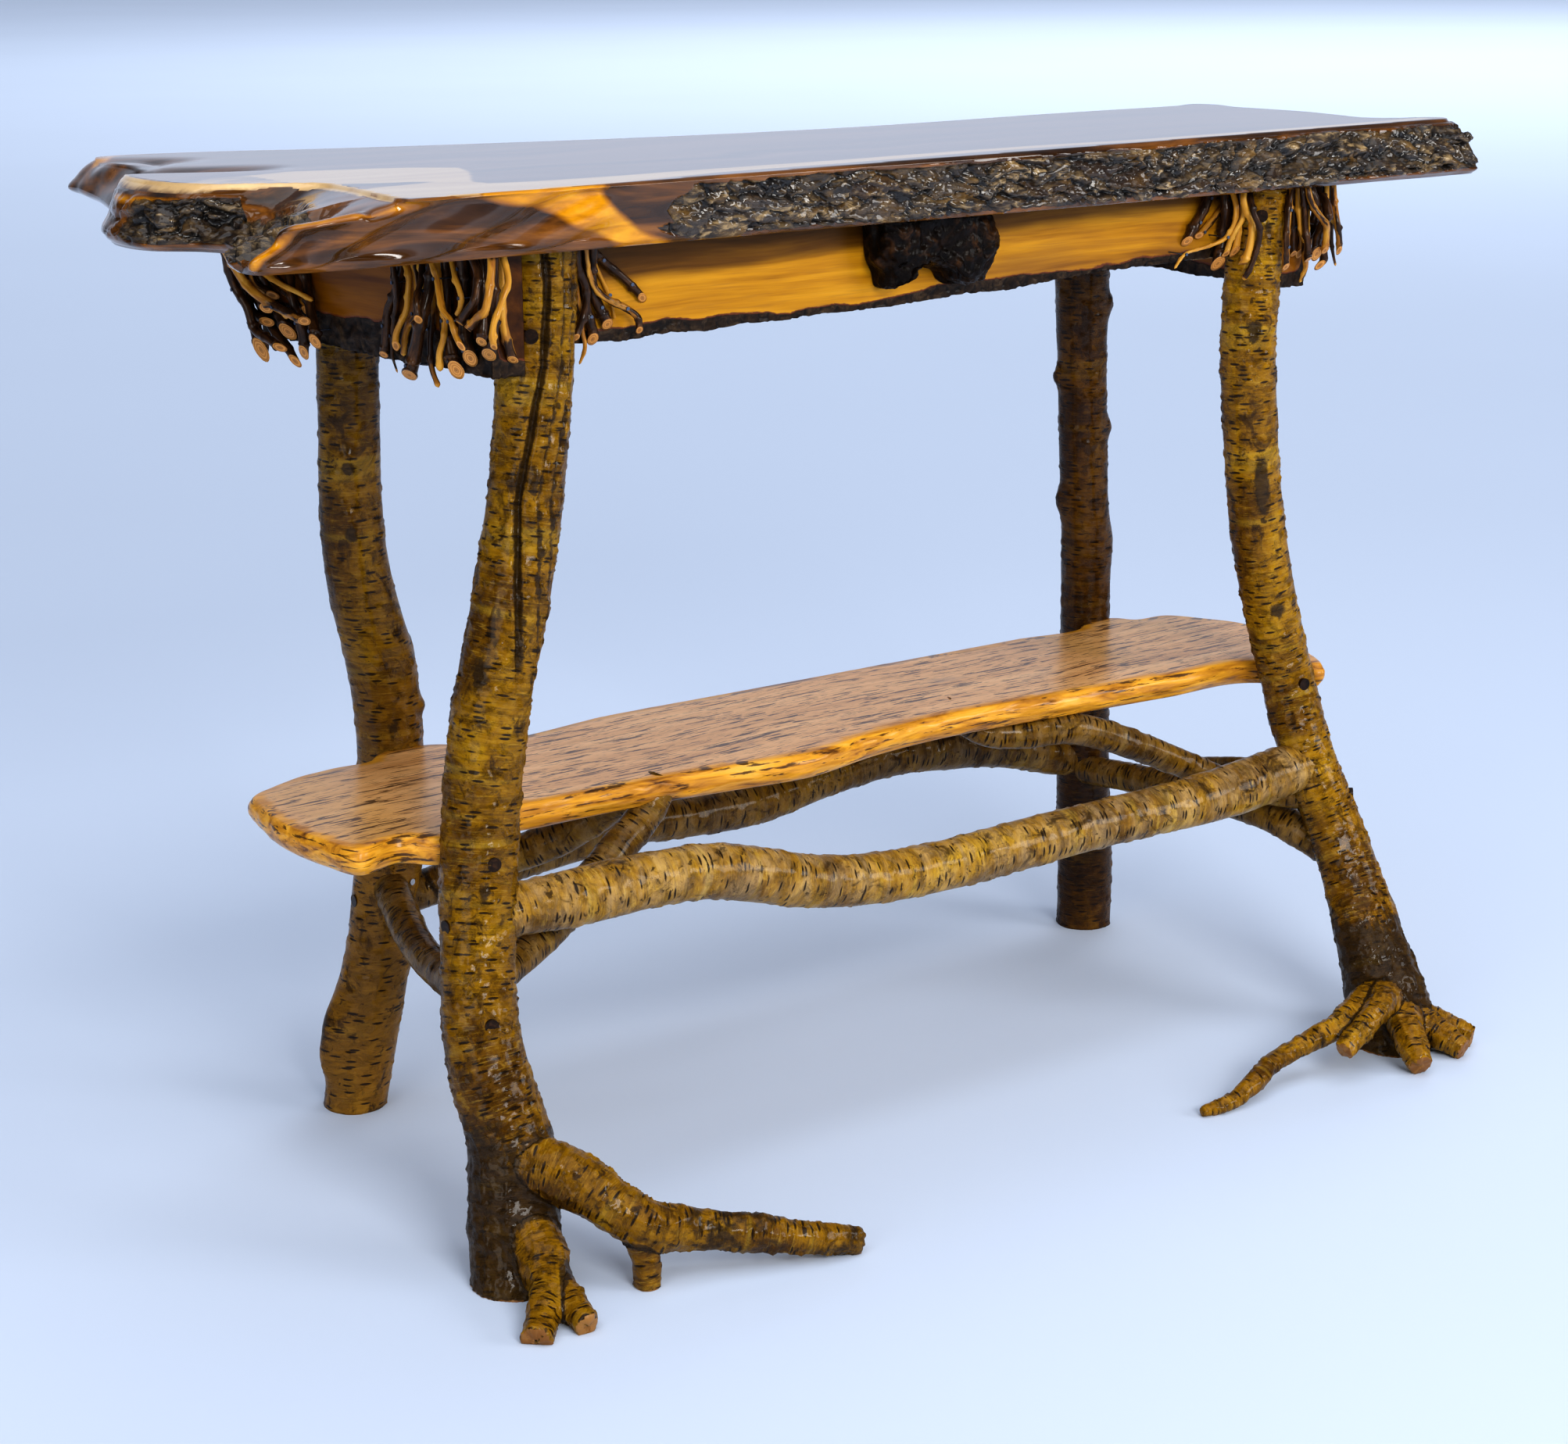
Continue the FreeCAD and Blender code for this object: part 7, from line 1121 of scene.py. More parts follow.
# where the left end isn't a plain bevel: outline number -> (x, y) at 802, (x, y) on top
LEFT_END = {35: ((-512, -203), (-505, -199)), 36: ((-566, -197), (-504, -186)), 37: ((-577, -188), (-503, -172)),
            38: ((-558, -150), (-499, -140)), 39: ((-533, -105), (-495, -100)), 40: ((-522, -62), (-497, -66)),
            41: ((-548, -36), (-530, -42)), 42: ((-588, -4), (-562, -24)), 43: ((-600, 42), (-584, 28)),
            45: ((-562, 128), (-550, 128)), 46: ((-558, 150), (-545, 151)), 47: ((-553, 197), (-546, 195)), 48: ((-550, 241), (-540, 236)),
            49: ((-541, 269), (-531, 259)), 0: ((-520, 271), (-508, 263)),
            20: ((596, -106), (590, -103)), 21: ((615, -117), (609, -109)), 22: ((629, -137), (626, -127)), 23: ((620, -166), (616, -143)), 24: ((586, -166), (574, -147))}
# the rear lobe is widest above its underside: outline number -> (x, y) at the underside and (x, y) 21 mm up
BELLY = {45: ((-574, 128), (-574, 127)), 46: ((-562, 148), (-569, 149)), 47: ((-546, 190), (-560, 190)), 48: ((-527, 234), (-553, 240)),
         49: ((-514, 254), (-546, 274)), 0: ((-500, 264), (-522, 271))}

# ------------------------------------------------------------- tabletop
def slab_levels():
    bot = [(a, b) for a, b, c, d in SLAB]
    top = [(c, d) for a, b, c, d in SLAB]
    mid = [(a + (c - a) * 0.62, b + (d - b) * 0.62) for a, b, c, d in SLAB]
    for k, (m, tp) in LEFT_END.items():
        mid[k], top[k] = m, tp
    bot[23] = (630, -168)
    for k, (lw, wide) in BELLY.items():
        bot[k] = lw
    def toward(A, B, k):
        return [(p[0] + (q[0] - p[0]) * k, p[1] + (q[1] - p[1]) * k) for p, q in zip(A, B)]
    bot, mid, top = np.array(bot, float), np.array(mid, float), np.array(top, float)

    def inset(P, d):
        nx, pv = np.roll(P, -1, 0), np.roll(P, 1, 0)
        e1, e2 = P - pv, nx - P
        e1 /= np.linalg.norm(e1, axis=1)[:, None]
        e2 /= np.linalg.norm(e2, axis=1)[:, None]
        m = e1 + e2
        m /= np.linalg.norm(m, axis=1)[:, None]
        area = 0.5 * np.sum(P[:, 0] * nx[:, 1] - nx[:, 0] * P[:, 1])
        s = 1 if area > 0 else -1
        return P + s * d * np.stack([-m[:, 1], m[:, 0]], 1)
    belly = mid + (bot - mid) * 0.48
    for k, (lw, wide) in BELLY.items():
        belly[k] = wide
    lv = [(815, inset(top, 3.0)), (813.6, inset(top, 0.6)), (810.5, top + (mid - top) * 0.34), (802, mid), (788, belly), (776, bot),
          (770, inset(bot, 2.2)), (767, inset(bot, 7.0))]
    return lv


gapu = 2.2
rows, span, tt = plate_rows(slab_levels(), gapu, 34)
rows = to_m(rows)
R0, N0 = rows.shape[:2]
V, F, kinds, n_top = plate_mesh(rows, 0.007, 0.016)
nside = R0 * N0
XY = V[:, :2] / MM - np.array([OX, OY])
Zm = V[:, 2] / MM
rowi = np.full(len(V), -1.0)
rowi[:nside] = np.repeat(tt, N0)
spn = np.full(len(V), -1)
spn[:nside] = np.tile(span, R0)
N = vertex_normals(V, F)
up = np.zeros(len(V), bool)
up[nside:nside + n_top] = True
dn = np.zeros(len(V), bool)
dn[nside + n_top:] = True
x, y = XY[:, 0], XY[:, 1]
side = ~(up | dn)

# how barky each stretch of the edge is, by outline number
NB = len(SLAB)
barky = np.zeros(NB)
for k in range(17, 33):
    barky[k] = 1.0          # right front
for k in range(38, 43):
    barky[k] = 1.0          # between the second and third lobes, and the second lobe's face
barky[43] = 0.30
for k in range(3, 13):
    barky[k] = 0.8          # back edge
u_frac = np.zeros(len(V))
cnt = np.bincount(span, minlength=NB)
loc = np.concatenate([np.arange(c) / c for c in cnt])
u_frac[:nside] = np.tile(loc, R0)
b0 = barky[np.clip(spn, 0, NB - 1)]
b1 = barky[(np.clip(spn, 0, NB - 1) + 1) % NB]
bk = np.where(side, b0 * (1 - u_frac) + b1 * u_frac, 0.0)
# rows: bark begins under a polished strip and stops just above the underside
wob = fbm(V * np.array([18, 18, 18.0]), 3, 71)
front = side & (y < -60) & (x > -340)
leftface = side & (x < -470) & (y < 30)
t_start = np.where(front, 0.12 - 0.05 * step(100, 420, x), 0.21)
t_start = t_start + 0.05 * wob
t_end = np.where(front, 0.985 - 0.10 * step(250, 560, x), 0.87) + 0.03 * wob
mrow = step(t_start, t_start + 0.07, rowi) * (1 - step(t_end - 0.05, t_end, rowi))
bark = bk * mrow
bark = np.where(side, bark, 0.0)
left_line = np.interp(Zm, [766, 772, 778, 783, 793, 804, 815], [-240, -268, -281, -268, -273, -258, -246])
bark = np.where(front, bark * step(-2.5, 2.5, x - left_line + 14 * wob), bark)
# the second lobe's bark fades into smooth dark wood towards the top plane
smooth_dark = leftface & (y < -25) & (x > -545)
bark = bark * np.where(smooth_dark, step(0.20, 0.62, rowi + 0.25 * wob), 1.0)

# relief: long overlapping plates, lower edges standing proud, with deep cracks between
wv = np.stack([fbm(V * 13, 3, 5), fbm(V * 13, 3, 6), fbm(V * 13, 3, 7)], 1)
wf = np.stack([fbm(V * 48, 3, 8), fbm(V * 48, 3, 9), fbm(V * 48, 3, 10)], 1)
slant = V.copy()
slant[:, 2] += 0.10 * V[:, 0] * np.sin(V[:, 0] * 9 + 1.0)
Pw = slant * np.array([21.0, 21.0, 74.0]) + wv * np.array([1.3, 1.3, 1.5]) + wf * np.array([0.30, 0.30, 0.62])
f1, f2, cid, off = cells(Pw, 11, True)
Pw2 = slant * np.array([52.0, 52.0, 165.0]) + wv * 1.8 + wf * 0.9
g1, g2, cid2, off2 = cells(Pw2, 23, True)
crack = step(0.17, 0.0, f2 - f1)
crack2 = step(0.14, 0.0, g2 - g1)
plate_h = (cid - 0.5) * 0.0056 + (cid2 - 0.5) * 0.0018
tilt = -off[:, 2] * 0.0034 - off2[:, 2] * 0.0012 + off[:, 0] * 0.0010
ridges = 1 - np.abs(fbm(slant * np.array([42, 42, 150.0]) + wf * 0.6, 3, 61)) * 3.2
rough_h = fbm(V * 130, 4, 31) * 0.0010 + fbm(V * 42, 3, 33) * 0.0016 - step(0.55, 1.0, ridges) * 0.0016
relief = plate_h + tilt + rough_h - crack * 0.0052 - crack2 * 0.0016
relief = np.clip(relief - 0.0012, -0.0125, 0.0014)
# arris of the front lobe, as a line in space
ARR = np.array([(-604, -174, 770), (-598, -178, 780), (-586, -183.5, 788), (-576, -189, 799), (-563, -195.5, 803.5), (-535, -199, 806.5),
                (-513, -201.5, 808.5), (-490, -202.5, 810), (-460, -204, 811.5), (-415, -205, 812)], float)


def dist3(L, P):
    d = np.full(len(P), 1e9)
    for i in range(len(L) - 1):
        ab = L[i + 1] - L[i]
        k = np.clip(((P - L[i]) @ ab) / (ab @ ab), 0, 1)
        d = np.minimum(d, np.linalg.norm(P - (L[i] + k[:, None] * ab), axis=1))
    return d


P3 = np.stack([x, y, Zm], 1)
arr_near, arr_far = dist3(ARR[:6], P3), dist3(ARR[5:], P3)
bark = bark * step(11, 20, np.minimum(arr_near, arr_far) + 90 * wob * 0.05)
disp = relief * bark
# carved, wavy face of the front lobe
carve = side & (y < -150) & (x < -300)
cw = np.where(carve, step(-300, -345, x), 0.0) * step(0.03, 0.25, rowi) * (1 - 0.6 * step(0.85, 1.0, rowi))
ph = (x * 0.062 + rowi * 6.6 + 1.8 * fbm(V * 8, 2, 44))
disp += cw * step(3, 14, arr_near) * (-0.0040 + 0.0040 * np.sin(ph) + 0.0016 * fbm(V * np.array([12, 12, 32.0]), 2, 46))
# shallow flutes over the rear lobe and between the lobes, and soft hand-worked waves on every polished edge
pol = side & (bark < 0.02)
disp += np.where(pol, -0.0010 + 0.0010 * fbm(V * np.array([16, 16, 30.0]), 3, 48), 0.0)
dvec = N.copy()
V2 = V.copy()
flatok = side & (rowi > 0.02) & (rowi < 0.995)
V2[flatok] += (dvec * disp[:, None])[flatok]
# valley that runs from the notch between the rear lobes on to the top, and the dip behind the front lobe
def valley(line, width, depth):
    d = line_distance(np.array(line, float), np.stack([x, y], 1))
    return depth * np.exp(-(d / width) ** 2)
dip = valley([(-590, 132), (-545, 118), (-500, 96), (-462, 84)], 15, 0.0052) + valley([(-556, 236), (-520, 214), (-490, 190)], 16, 0.0030)
dip += valley([(-566, 128), (-540, 140), (-515, 172), (-505, 200)], 10, 0.0022)
fade = step(-430, -500, x)
V2[:, 2] -= np.where(up | (side & (rowi < 0.45)), dip * fade, 0.0) * np.where(side, 1 - step(0.2, 0.45, rowi), 1.0)
V2[:, 2] = np.clip(V2[:, 2], 0.767, 0.815)
V2[:, 0] = np.clip(V2[:, 0], -0.6188, 0.6188)
V2[:, 1] = np.minimum(V2[:, 1], 0.3244)

# colours by signed distance, metres, positive inside
Qxy = np.stack([x, y], 1)
CREAM = [(-560, 2), (-540, 18), (-498, 27), (-467, 35), (-427, 24), (-400, 16), (-381, 10), (-354, -14), (-362, -44), (-377, -72), (-402, -120), (-398, -142),
         (-356, -150), (-295, -150), (-220, -146), (-110, -146), (58, -137), (146, -137), (221, -143), (348, -140), (487, -131), (601, -120),
         (606, -128), (487, -139), (348, -148), (221, -153), (146, -149), (58, -150), (-110, -165), (-220, -168), (-295, -186),
         (-380, -200), (-470, -204), (-503, -190), (-498, -140), (-494, -100), (-494, -70), (-510, -49), (-531, -39), (-556, -28), (-585, -22)]
cream = area_distance(np.array(CREAM, float), Qxy) + 2.8
BACKEDGE = np.array([(c, d) for a, b, c, d in SLAB])[list(range(1, 13))]
cream = np.maximum(cream, 3.5 - line_distance(BACKEDGE + np.array([0, -3.0]), Qxy))
RIM_B = [(-566, -26), (-584, 4), (-590, 50), (-586, 92), (-572, 112), (-540, 100), (-500, 84), (-455, 70)]
cream = np.maximum(cream, 6.0 * step(-440, -520, x) - line_distance(RIM_B, Qxy))
cream = np.where(side, np.where(rowi < 0.12, cream, -20 * (rowi - 0.12) / 0.1), cream)
rimB = side & (x < -560) & (y > -30) & (y < 112)
cream = np.where(rimB, np.where(rowi < 0.20, 4.0 - 34 * rowi, -6.0), cream)
cream = np.where(dn, -10, cream)

amber = np.full(len(V), -20.0)
amber = np.maximum(amber, 4.6 - arr_near)
amber = np.maximum(amber, 2.8 - arr_far)
# broad orange band that sweeps down the front, from the top edge to the underside
BAND = [(-440, 809), (-422, 805), (-393, 801), (-384.3, 797), (-369.8, 792), (-356.6, 784.5), (-336.1, 776.5), (-312, 766), (-300, 758), (-254, 758),
        (-262, 766), (-296.4, 779), (-319.5, 794.5), (-331.8, 805), (-334, 811), (-334, 818), (-440, 818)]
amber = np.maximum(amber, np.where(side & (y < -150), area_distance(np.array(BAND, float), np.stack([x, Zm], 1)), -20))
amber = np.maximum(amber, np.where(side & (y < -150) & (x > -500) & (x < -330), 2.6 - np.abs(Zm - 812), -20))
# rear lobe: orange along its back edge
amber = np.maximum(amber, np.where((y > 225) & (x < -380), 8 - line_distance([(-536, 236), (-524, 254), (-505, 264), (-472, 258), (-430, 248), (-390, 234)], Qxy), -20))
# lower left rim of the second lobe
amber = np.maximum(amber, np.where(side & (x < -575) & (y > -12) & (y < 100), 4.0 - 60 * np.abs(rowi - 0.30) - 14 * step(60, 110, y), -20))
# polished inner bark: strip between stripe and bark, the front lobe's face, the rear lobe, the right end
polish = np.full(len(V), -20.0)
polish = np.maximum(polish, np.where(side, 12.0, -20))
polish = np.maximum(polish, np.where(up & (x < -505), 0.0, -20))
STRIP = np.array([(c, d) for a, b, c, d in SLAB])[18:33]
polish = np.maximum(polish, np.where(up & (y < -60) & (x > -330), 5.2 - line_distance(STRIP, Qxy), -20))
WEDGE = [(-585, -22), (-560, -30), (-531, -41), (-510, -51), (-494, -72), (-470, -84), (-440, -92), (-418, -104), (-450, -112), (-480, -118), (-496, -130), (-560, -80)]
polish = np.maximum(polish, np.where(up, area_distance(np.array(WEDGE, float), Qxy), polish))
LOBE_A = [(-620, 140), (-560, 132), (-528, 150), (-500, 176), (-478, 200), (-470, 232), (-500, 262), (-560, 300), (-640, 240)]
polish = np.maximum(polish, np.where(up, area_distance(np.array(LOBE_A, float), Qxy), polish))
polish = np.where((cream > 0) & (rowi < 0.12) & side, -20, polish)
polish = np.where(rimB & (rowi < 0.16), -6, polish)
tone = _h(np.floor(cid * 9999).astype(np.int64), 0 * np.floor(cid).astype(np.int64), 0 * np.floor(cid).astype(np.int64), 3)
# Near black in cracks and the deepest hollows: partly dark furrows, partly painted shade.
crack_and_shade = np.clip(crack * 1.0 + 0.5 * crack2 + step(-0.0070, -0.0120, relief) * 0.7, 0, 1) * step(0.2, 0.8, bark)
# Where plates stand proud they turn ochre: partly their lighter worn face, partly a painted highlight.
high = step(-0.0040, 0.0010, relief) * step(0.3, 0.9, bark)
slab = mesh_object("tabletop_live_edge", V2, F, [M_SLAB], None,
                   {"sap": cream * MM, "amber": amber * MM, "polish": polish * MM, "bark": bark, "deep": crack_and_shade, "tone": tone, "high": high})
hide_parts("tabletop_slab")

# ------------------------------------------------------------- shelf
def shelf_levels():
    P = np.array(SHELF, float)

    def inset(P, d):
        nx, pv = np.roll(P, -1, 0), np.roll(P, 1, 0)
        e1, e2 = P - pv, nx - P
        e1 /= np.linalg.norm(e1, axis=1)[:, None]
        e2 /= np.linalg.norm(e2, axis=1)[:, None]
        m = e1 + e2
        m /= np.linalg.norm(m, axis=1)[:, None]
        s = 1 if np.sum(P[:, 0] * nx[:, 1] - nx[:, 0] * P[:, 1]) > 0 else -1
        return P + s * d * np.stack([-m[:, 1], m[:, 0]], 1)
    return [(323, inset(P, 8)), (322.4, inset(P, 5)), (319.5, inset(P, 1.6)), (313, P), (306, inset(P, 1.8)), (301.5, inset(P, 5.5)), (300, inset(P, 9))]


rows, span, tt = plate_rows(shelf_levels(), 3.0, 18)
rows = to_m(rows)
Rs, Ns = rows.shape[:2]
V, F, kinds, n_top = plate_mesh(rows, 0.012, 0.02)
N = vertex_normals(V, F)
ns = Rs * Ns
rowi = np.full(len(V), 0.0)
rowi[:ns] = np.repeat(tt, Ns)
sd = np.zeros(len(V), bool)
sd[:ns] = True
w = fbm(V * np.array([24, 24, 60.0]), 4, 81) * 0.0020 + fbm(V * np.array([70, 70, 200.0]), 3, 83) * 0.0009
k = step(0.0, 0.2, rowi) * (1 - step(0.85, 1.0, rowi))
V2 = V + N * np.where(sd, (w - 0.0016) * k, 0)[:, None]
ringd = line_distance(V[:Ns, :2], V[:, :2], True)
edge = np.where(sd, 1.0, step(0.012, 0.001, ringd + fbm(V * 30, 2, 85) * 0.004))
shelf = mesh_object("shelf_live_edge", V2, F, [M_SHELF], None, {"edge": edge})
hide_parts("shelf_board")

# ------------------------------------------------------------- legs
def fl_extra(bc, S, A, R, X):
    """The front left trunk is two stems grown together: a long seam with ragged lips on its right."""
    z = X[:, 2]
    on = step(0.40, 0.50, z)
    wob = 0.10 * fbm(np.stack([z * 14, z * 0, z * 0], 1), 3, 5)
    line = np.interp(z, [0.40, 0.44, 0.475, 0.53, 0.583, 0.61, 0.682, 0.767], [276, 273, 264, 245, 230, 236, 253, 254])

    def groove(da, w, depth):
        d = (A - np.radians(line + da) - wob + np.pi) % (2 * np.pi) - np.pi
        return -depth * np.exp(-(d * R / w) ** 2), np.exp(-(d * R / (w * 1.5)) ** 2)
    h1, d1 = groove(0, 0.0024, 0.0070)
    h2, d2 = groove(31, 0.0018, 0.0034)
    h3, d3 = groove(52, 0.0020, 0.0036)
    d = (A - np.radians(line + 34) + np.pi) % (2 * np.pi) - np.pi
    zone = np.exp(-(d * R / 0.020) ** 2)
    ragg = fbm(X * np.array([120, 120, 60.0]), 4, 91)
    h = on * (h1 + h2 * step(0.5, 0.6, z) + h3 * step(0.55, 0.62, z) + zone * (0.0018 + ragg * 0.0026))
    return h, on * np.clip(d1 * 1.1 + d2 * 0.6 + d3 * 0.6 + zone * step(0.1, 0.5, ragg) * 0.6, 0, 1)


rooted_leg("leg_front_left_skin", "leg_front_left", FL, ROOTS["front_left"], M_LEG_FL, 101,
           [(0, 1), (2, 1), (3, 1)], fl_extra, voxel=0.0021,
           marks=[(0.47, 215, 0.016, 0.010, 0.8), (0.30, 250, 0.010, 0.006, 0.8), (0.62, 250, 0.02, 0.006, 0.6)])
rooted_leg("leg_front_right_skin", "leg_front_right", FR, ROOTS["front_right"], M_LEG_FR, 131,
           [(1, 1), (2, 1), (3, 1), (4, 1)], None, voxel=0.0021,
           marks=[(0.55, 245, 0.034, 0.009, 0.9), (0.43, 243, 0.010, 0.008, 0.9), (0.69, 238, 0.012, 0.008, 0.8), (0.78, 250, 0.010, 0.006, 0.6)])
seg_b = 80
# The back left leg is a darker copy as painted shade, and its foot is lightened as painted light.
add_branch("leg_back_left_skin", BL, birch("birch_back_left", 0.46, 0.2, 0.0, 0.42), 151,
           bumps=[(0.075, 160, 0.030, 0.016, 0.010), (0.045, 170, 0.018, 0.014, 0.006), (0.36, 330, 0.008, 0.007, 0.004), (0.135, 328, 0.007, 0.006, 0.004), (0.535, 240, 0.006, 0.005, 0.0022), (0.585, 240, 0.006, 0.005, 0.0022)],
           marks=[(0.52, 240, 0.007, 0.006, 1.0), (0.575, 240, 0.006, 0.006, 1.0), (0.345, 250, 0.012, 0.008, 0.7), (0.075, 160, 0.026, 0.014, 0.7)],
           node="leg_back_left", level=True, seg=seg_b, gap=0.0026)
add_branch("leg_back_right_skin", BR, M_BACK, 171,
           bumps=[(0.70, 330, 0.012, 0.010, 0.005), (0.635, 325, 0.012, 0.010, 0.0045), (0.565, 150, 0.009, 0.008, 0.0045), (0.515, 328, 0.011, 0.009, 0.005), (0.44, 150, 0.012, 0.009, 0.005), (0.40, 330, 0.02, 0.01, 0.003)],
           marks=[(0.70, 330, 0.012, 0.010, 0.7), (0.565, 150, 0.01, 0.01, 0.7), (0.44, 150, 0.012, 0.01, 0.7), (0.61, 240, 0.03, 0.01, 0.7), (0.50, 245, 0.02, 0.012, 0.6)],
           node="leg_back_right", level=True, seg=seg_b, gap=0.0026)

# ------------------------------------------------------------- stretchers and braces
add_branch("stretcher_front_skin", FRONT_RAIL, M_RAIL, 201,
           bumps=[(0.09, 250, 0.008, 0.007, 0.003), (0.115, 262, 0.008, 0.007, 0.003), (0.23, 215, 0.009, 0.008, 0.003), (0.47, 60, 0.010, 0.010, 0.003), (0.60, 250, 0.006, 0.006, 0.002)],
           marks=[(0.09, 250, 0.008, 0.006, 1.0), (0.12, 262, 0.009, 0.007, 1.0), (0.60, 240, 0.006, 0.005, 0.9), (0.665, 250, 0.008, 0.005, 0.8), (0.72, 235, 0.006, 0.006, 0.9), (0.80, 240, 0.007, 0.005, 0.8)],
           node="stretcher_front", seg=64, gap=0.0028)

add_branch("stretcher_left_skin", LEFT_RAIL, M_UNDER, 221, bumps=[(0.14, 200, 0.008, 0.008, 0.003)], marks=[(0.14, 200, 0.01, 0.01, 0.8), (0.22, 240, 0.012, 0.01, 0.8)],
           node="stretcher_left", seg=48, gap=0.003)
add_branch("stretcher_right_skin", RIGHT_RAIL, M_UNDER, 231, bumps=[(0.12, 30, 0.008, 0.008, 0.003)], marks=[(0.20, 200, 0.01, 0.01, 0.8)],
           node="stretcher_right", seg=48, gap=0.003)
add_branch("brace_left_skin", LEFT_BRACE, M_UNDER, 241, bumps=[(0.12, 240, 0.007, 0.007, 0.003)], marks=[(0.12, 240, 0.01, 0.01, 0.8)],
           node="brace_left", seg=44, gap=0.003)
add_branch("brace_right_skin", RIGHT_BRACE, M_UNDER, 251, bumps=[(0.15, 250, 0.007, 0.007, 0.0028)], marks=[(0.15, 250, 0.009, 0.009, 0.8), (0.27, 200, 0.01, 0.01, 0.6)],
           node="brace_right", seg=44, gap=0.003)
add_branch("brace_right_side_skin", SIDE_BRACE, M_UNDER, 261, node="brace_right_side", seg=28, gap=0.003, lump=0.35, flake=0.4)


def forked_branch(name, node, parts, mat, seed, bumps=(), marks=()):
    V, F = union_skin(parts, 0.0025, False)
    which, bc, lead, second = unroll(V, parts, False)
    V = relax(V, F, np.clip(step(0.012, 0.002, second) + 0.12, 0, 1), 12)
    which, bc, lead, second = unroll(V, parts, False)
    N = vertex_normals(V, F)
    S, A, R = bc[:, 2], np.arctan2(bc[:, 1], bc[:, 0]), np.hypot(bc[:, 0], bc[:, 1])
    h = birch_relief(seed, bumps)(bc, S, A, R, V)
    dark = dark_field(bc, seed, marks) * (which == 0)
    dark = np.maximum(dark, step(0.004, 0.0005, lead) * step(0.02, 0.0, second) * 0.7)
    ob = mesh_object(name, V + N * h[:, None], F, [mat], None, {"bc": bc, "dark": dark})
    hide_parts(node)
    return ob


forked_branch("stretcher_back_skin", "stretcher_back", [BACK_RAIL_B, BACK_FORK], M_UNDER, 271,
              bumps=[(0.22, 90, 0.012, 0.012, 0.004), (0.47, 270, 0.01, 0.01, 0.003), (0.60, 60, 0.008, 0.008, 0.003)],
              marks=[(0.22, 90, 0.015, 0.012, 0.8), (0.47, 270, 0.01, 0.01, 0.9), (0.60, 200, 0.01, 0.01, 0.7)])


# ------------------------------------------------------------- boards of the rail box
def grown(P, d):
    """Outline moved in by d."""
    P = np.asarray(P, float)
    nx, pv = np.roll(P, -1, 0), np.roll(P, 1, 0)
    e1, e2 = P - pv, nx - P
    e1 /= np.linalg.norm(e1, axis=1)[:, None]
    e2 /= np.linalg.norm(e2, axis=1)[:, None]
    n1, n2 = np.stack([-e1[:, 1], e1[:, 0]], 1), np.stack([-e2[:, 1], e2[:, 0]], 1)
    m = n1 + n2
    m /= np.linalg.norm(m, axis=1)[:, None]
    s = 1 if np.sum(P[:, 0] * nx[:, 1] - nx[:, 0] * P[:, 1]) > 0 else -1
    k = np.maximum(0.5, np.sum(m * n1, axis=1))
    return P + s * m * (d / k)[:, None]


def divide(P, gap):
    """Straight edges cut into short ones, so corners stay sharp."""
    out = []
    n = len(P)
    for i in range(n):
        a, b = np.array(P[i], float), np.array(P[(i + 1) % n], float)
        k = max(1, int(round(np.linalg.norm(b - a) / gap)))
        out += [tuple(a + (b - a) * j / k) for j in range(k)]
    return out


def board_mesh(name, node, outline, w0, w1, place, mat, bark, grain, seed, body="frame", gap=4.0, relief=1.0, heart=lambda u, v: 0 * u - 60.0):
    """Board with a plan outline (u, v) and faces at w1 (outer) and w0. place turns u, v, w into x, y, z.
    bark(u, v, w) gives a signed distance in millimetres, positive where there is bark."""
    P = np.array(divide(outline, gap), float)
    lv = [(w1, grown(P, 1.3)), (w1 - 0.4, grown(P, 0.45)), (w1 - 1.3, P)]
    n_mid = max(2, int((w1 - w0) / 2.6))
    lv += [(w1 - 1.3 - (w1 - w0 - 2.6) * k / n_mid, P) for k in range(1, n_mid)]
    lv += [(w0 + 1.3, P), (w0 + 0.4, grown(P, 0.45)), (w0, grown(P, 1.3))]
    rows = np.array([np.concatenate([q, np.full((len(q), 1), float(z))], 1) for z, q in lv])
    V, F, kinds, n_top = plate_mesh(rows, gap * 0.9, gap * 2.2)
    u, v, w = V[:, 0], V[:, 1], V[:, 2]
    bk = bark(u, v, w)
    Q = V * 0.001
    wob = fbm(Q * np.array([45, 90, 90.0]), 3, seed) * 3.0
    m = step(-0.6, 1.2, bk + wob)
    f1, f2, cid = cells(Q * np.array([95.0, 140.0, 140.0]) + fbm(Q * 60, 2, seed + 2)[:, None] * 0.8, seed + 4)
    crack = step(0.22, 0.0, f2 - f1)
    rel = (fbm(Q * 170, 4, seed + 6) * 0.9 - 0.4 - crack * 1.6 + (cid - 0.5) * 0.8) * relief
    rel = np.clip(rel, -2.6, 0.9)
    N = vertex_normals(V, F)
    V2 = V + N * (rel * m + (1 - m) * (fbm(Q * np.array([20, 60, 60.0]), 3, seed + 8) * 0.25 - 0.30))[:, None]
    xyz = to_m(place(V2))
    ob = mesh_object(name, xyz, F, [mat], None, {"grain": grain(V) * 0.001, "bark": np.clip(0.5 + (bk + wob) * 0.12, 0, 1), "deep": crack * m, "heart": heart(u, v) * 0.001}, body=body)
    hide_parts(node)
    return ob


def low_edge(pts):
    a = np.array(pts, float)
    return lambda u: np.interp(u, a[:, 0], a[:, 1])


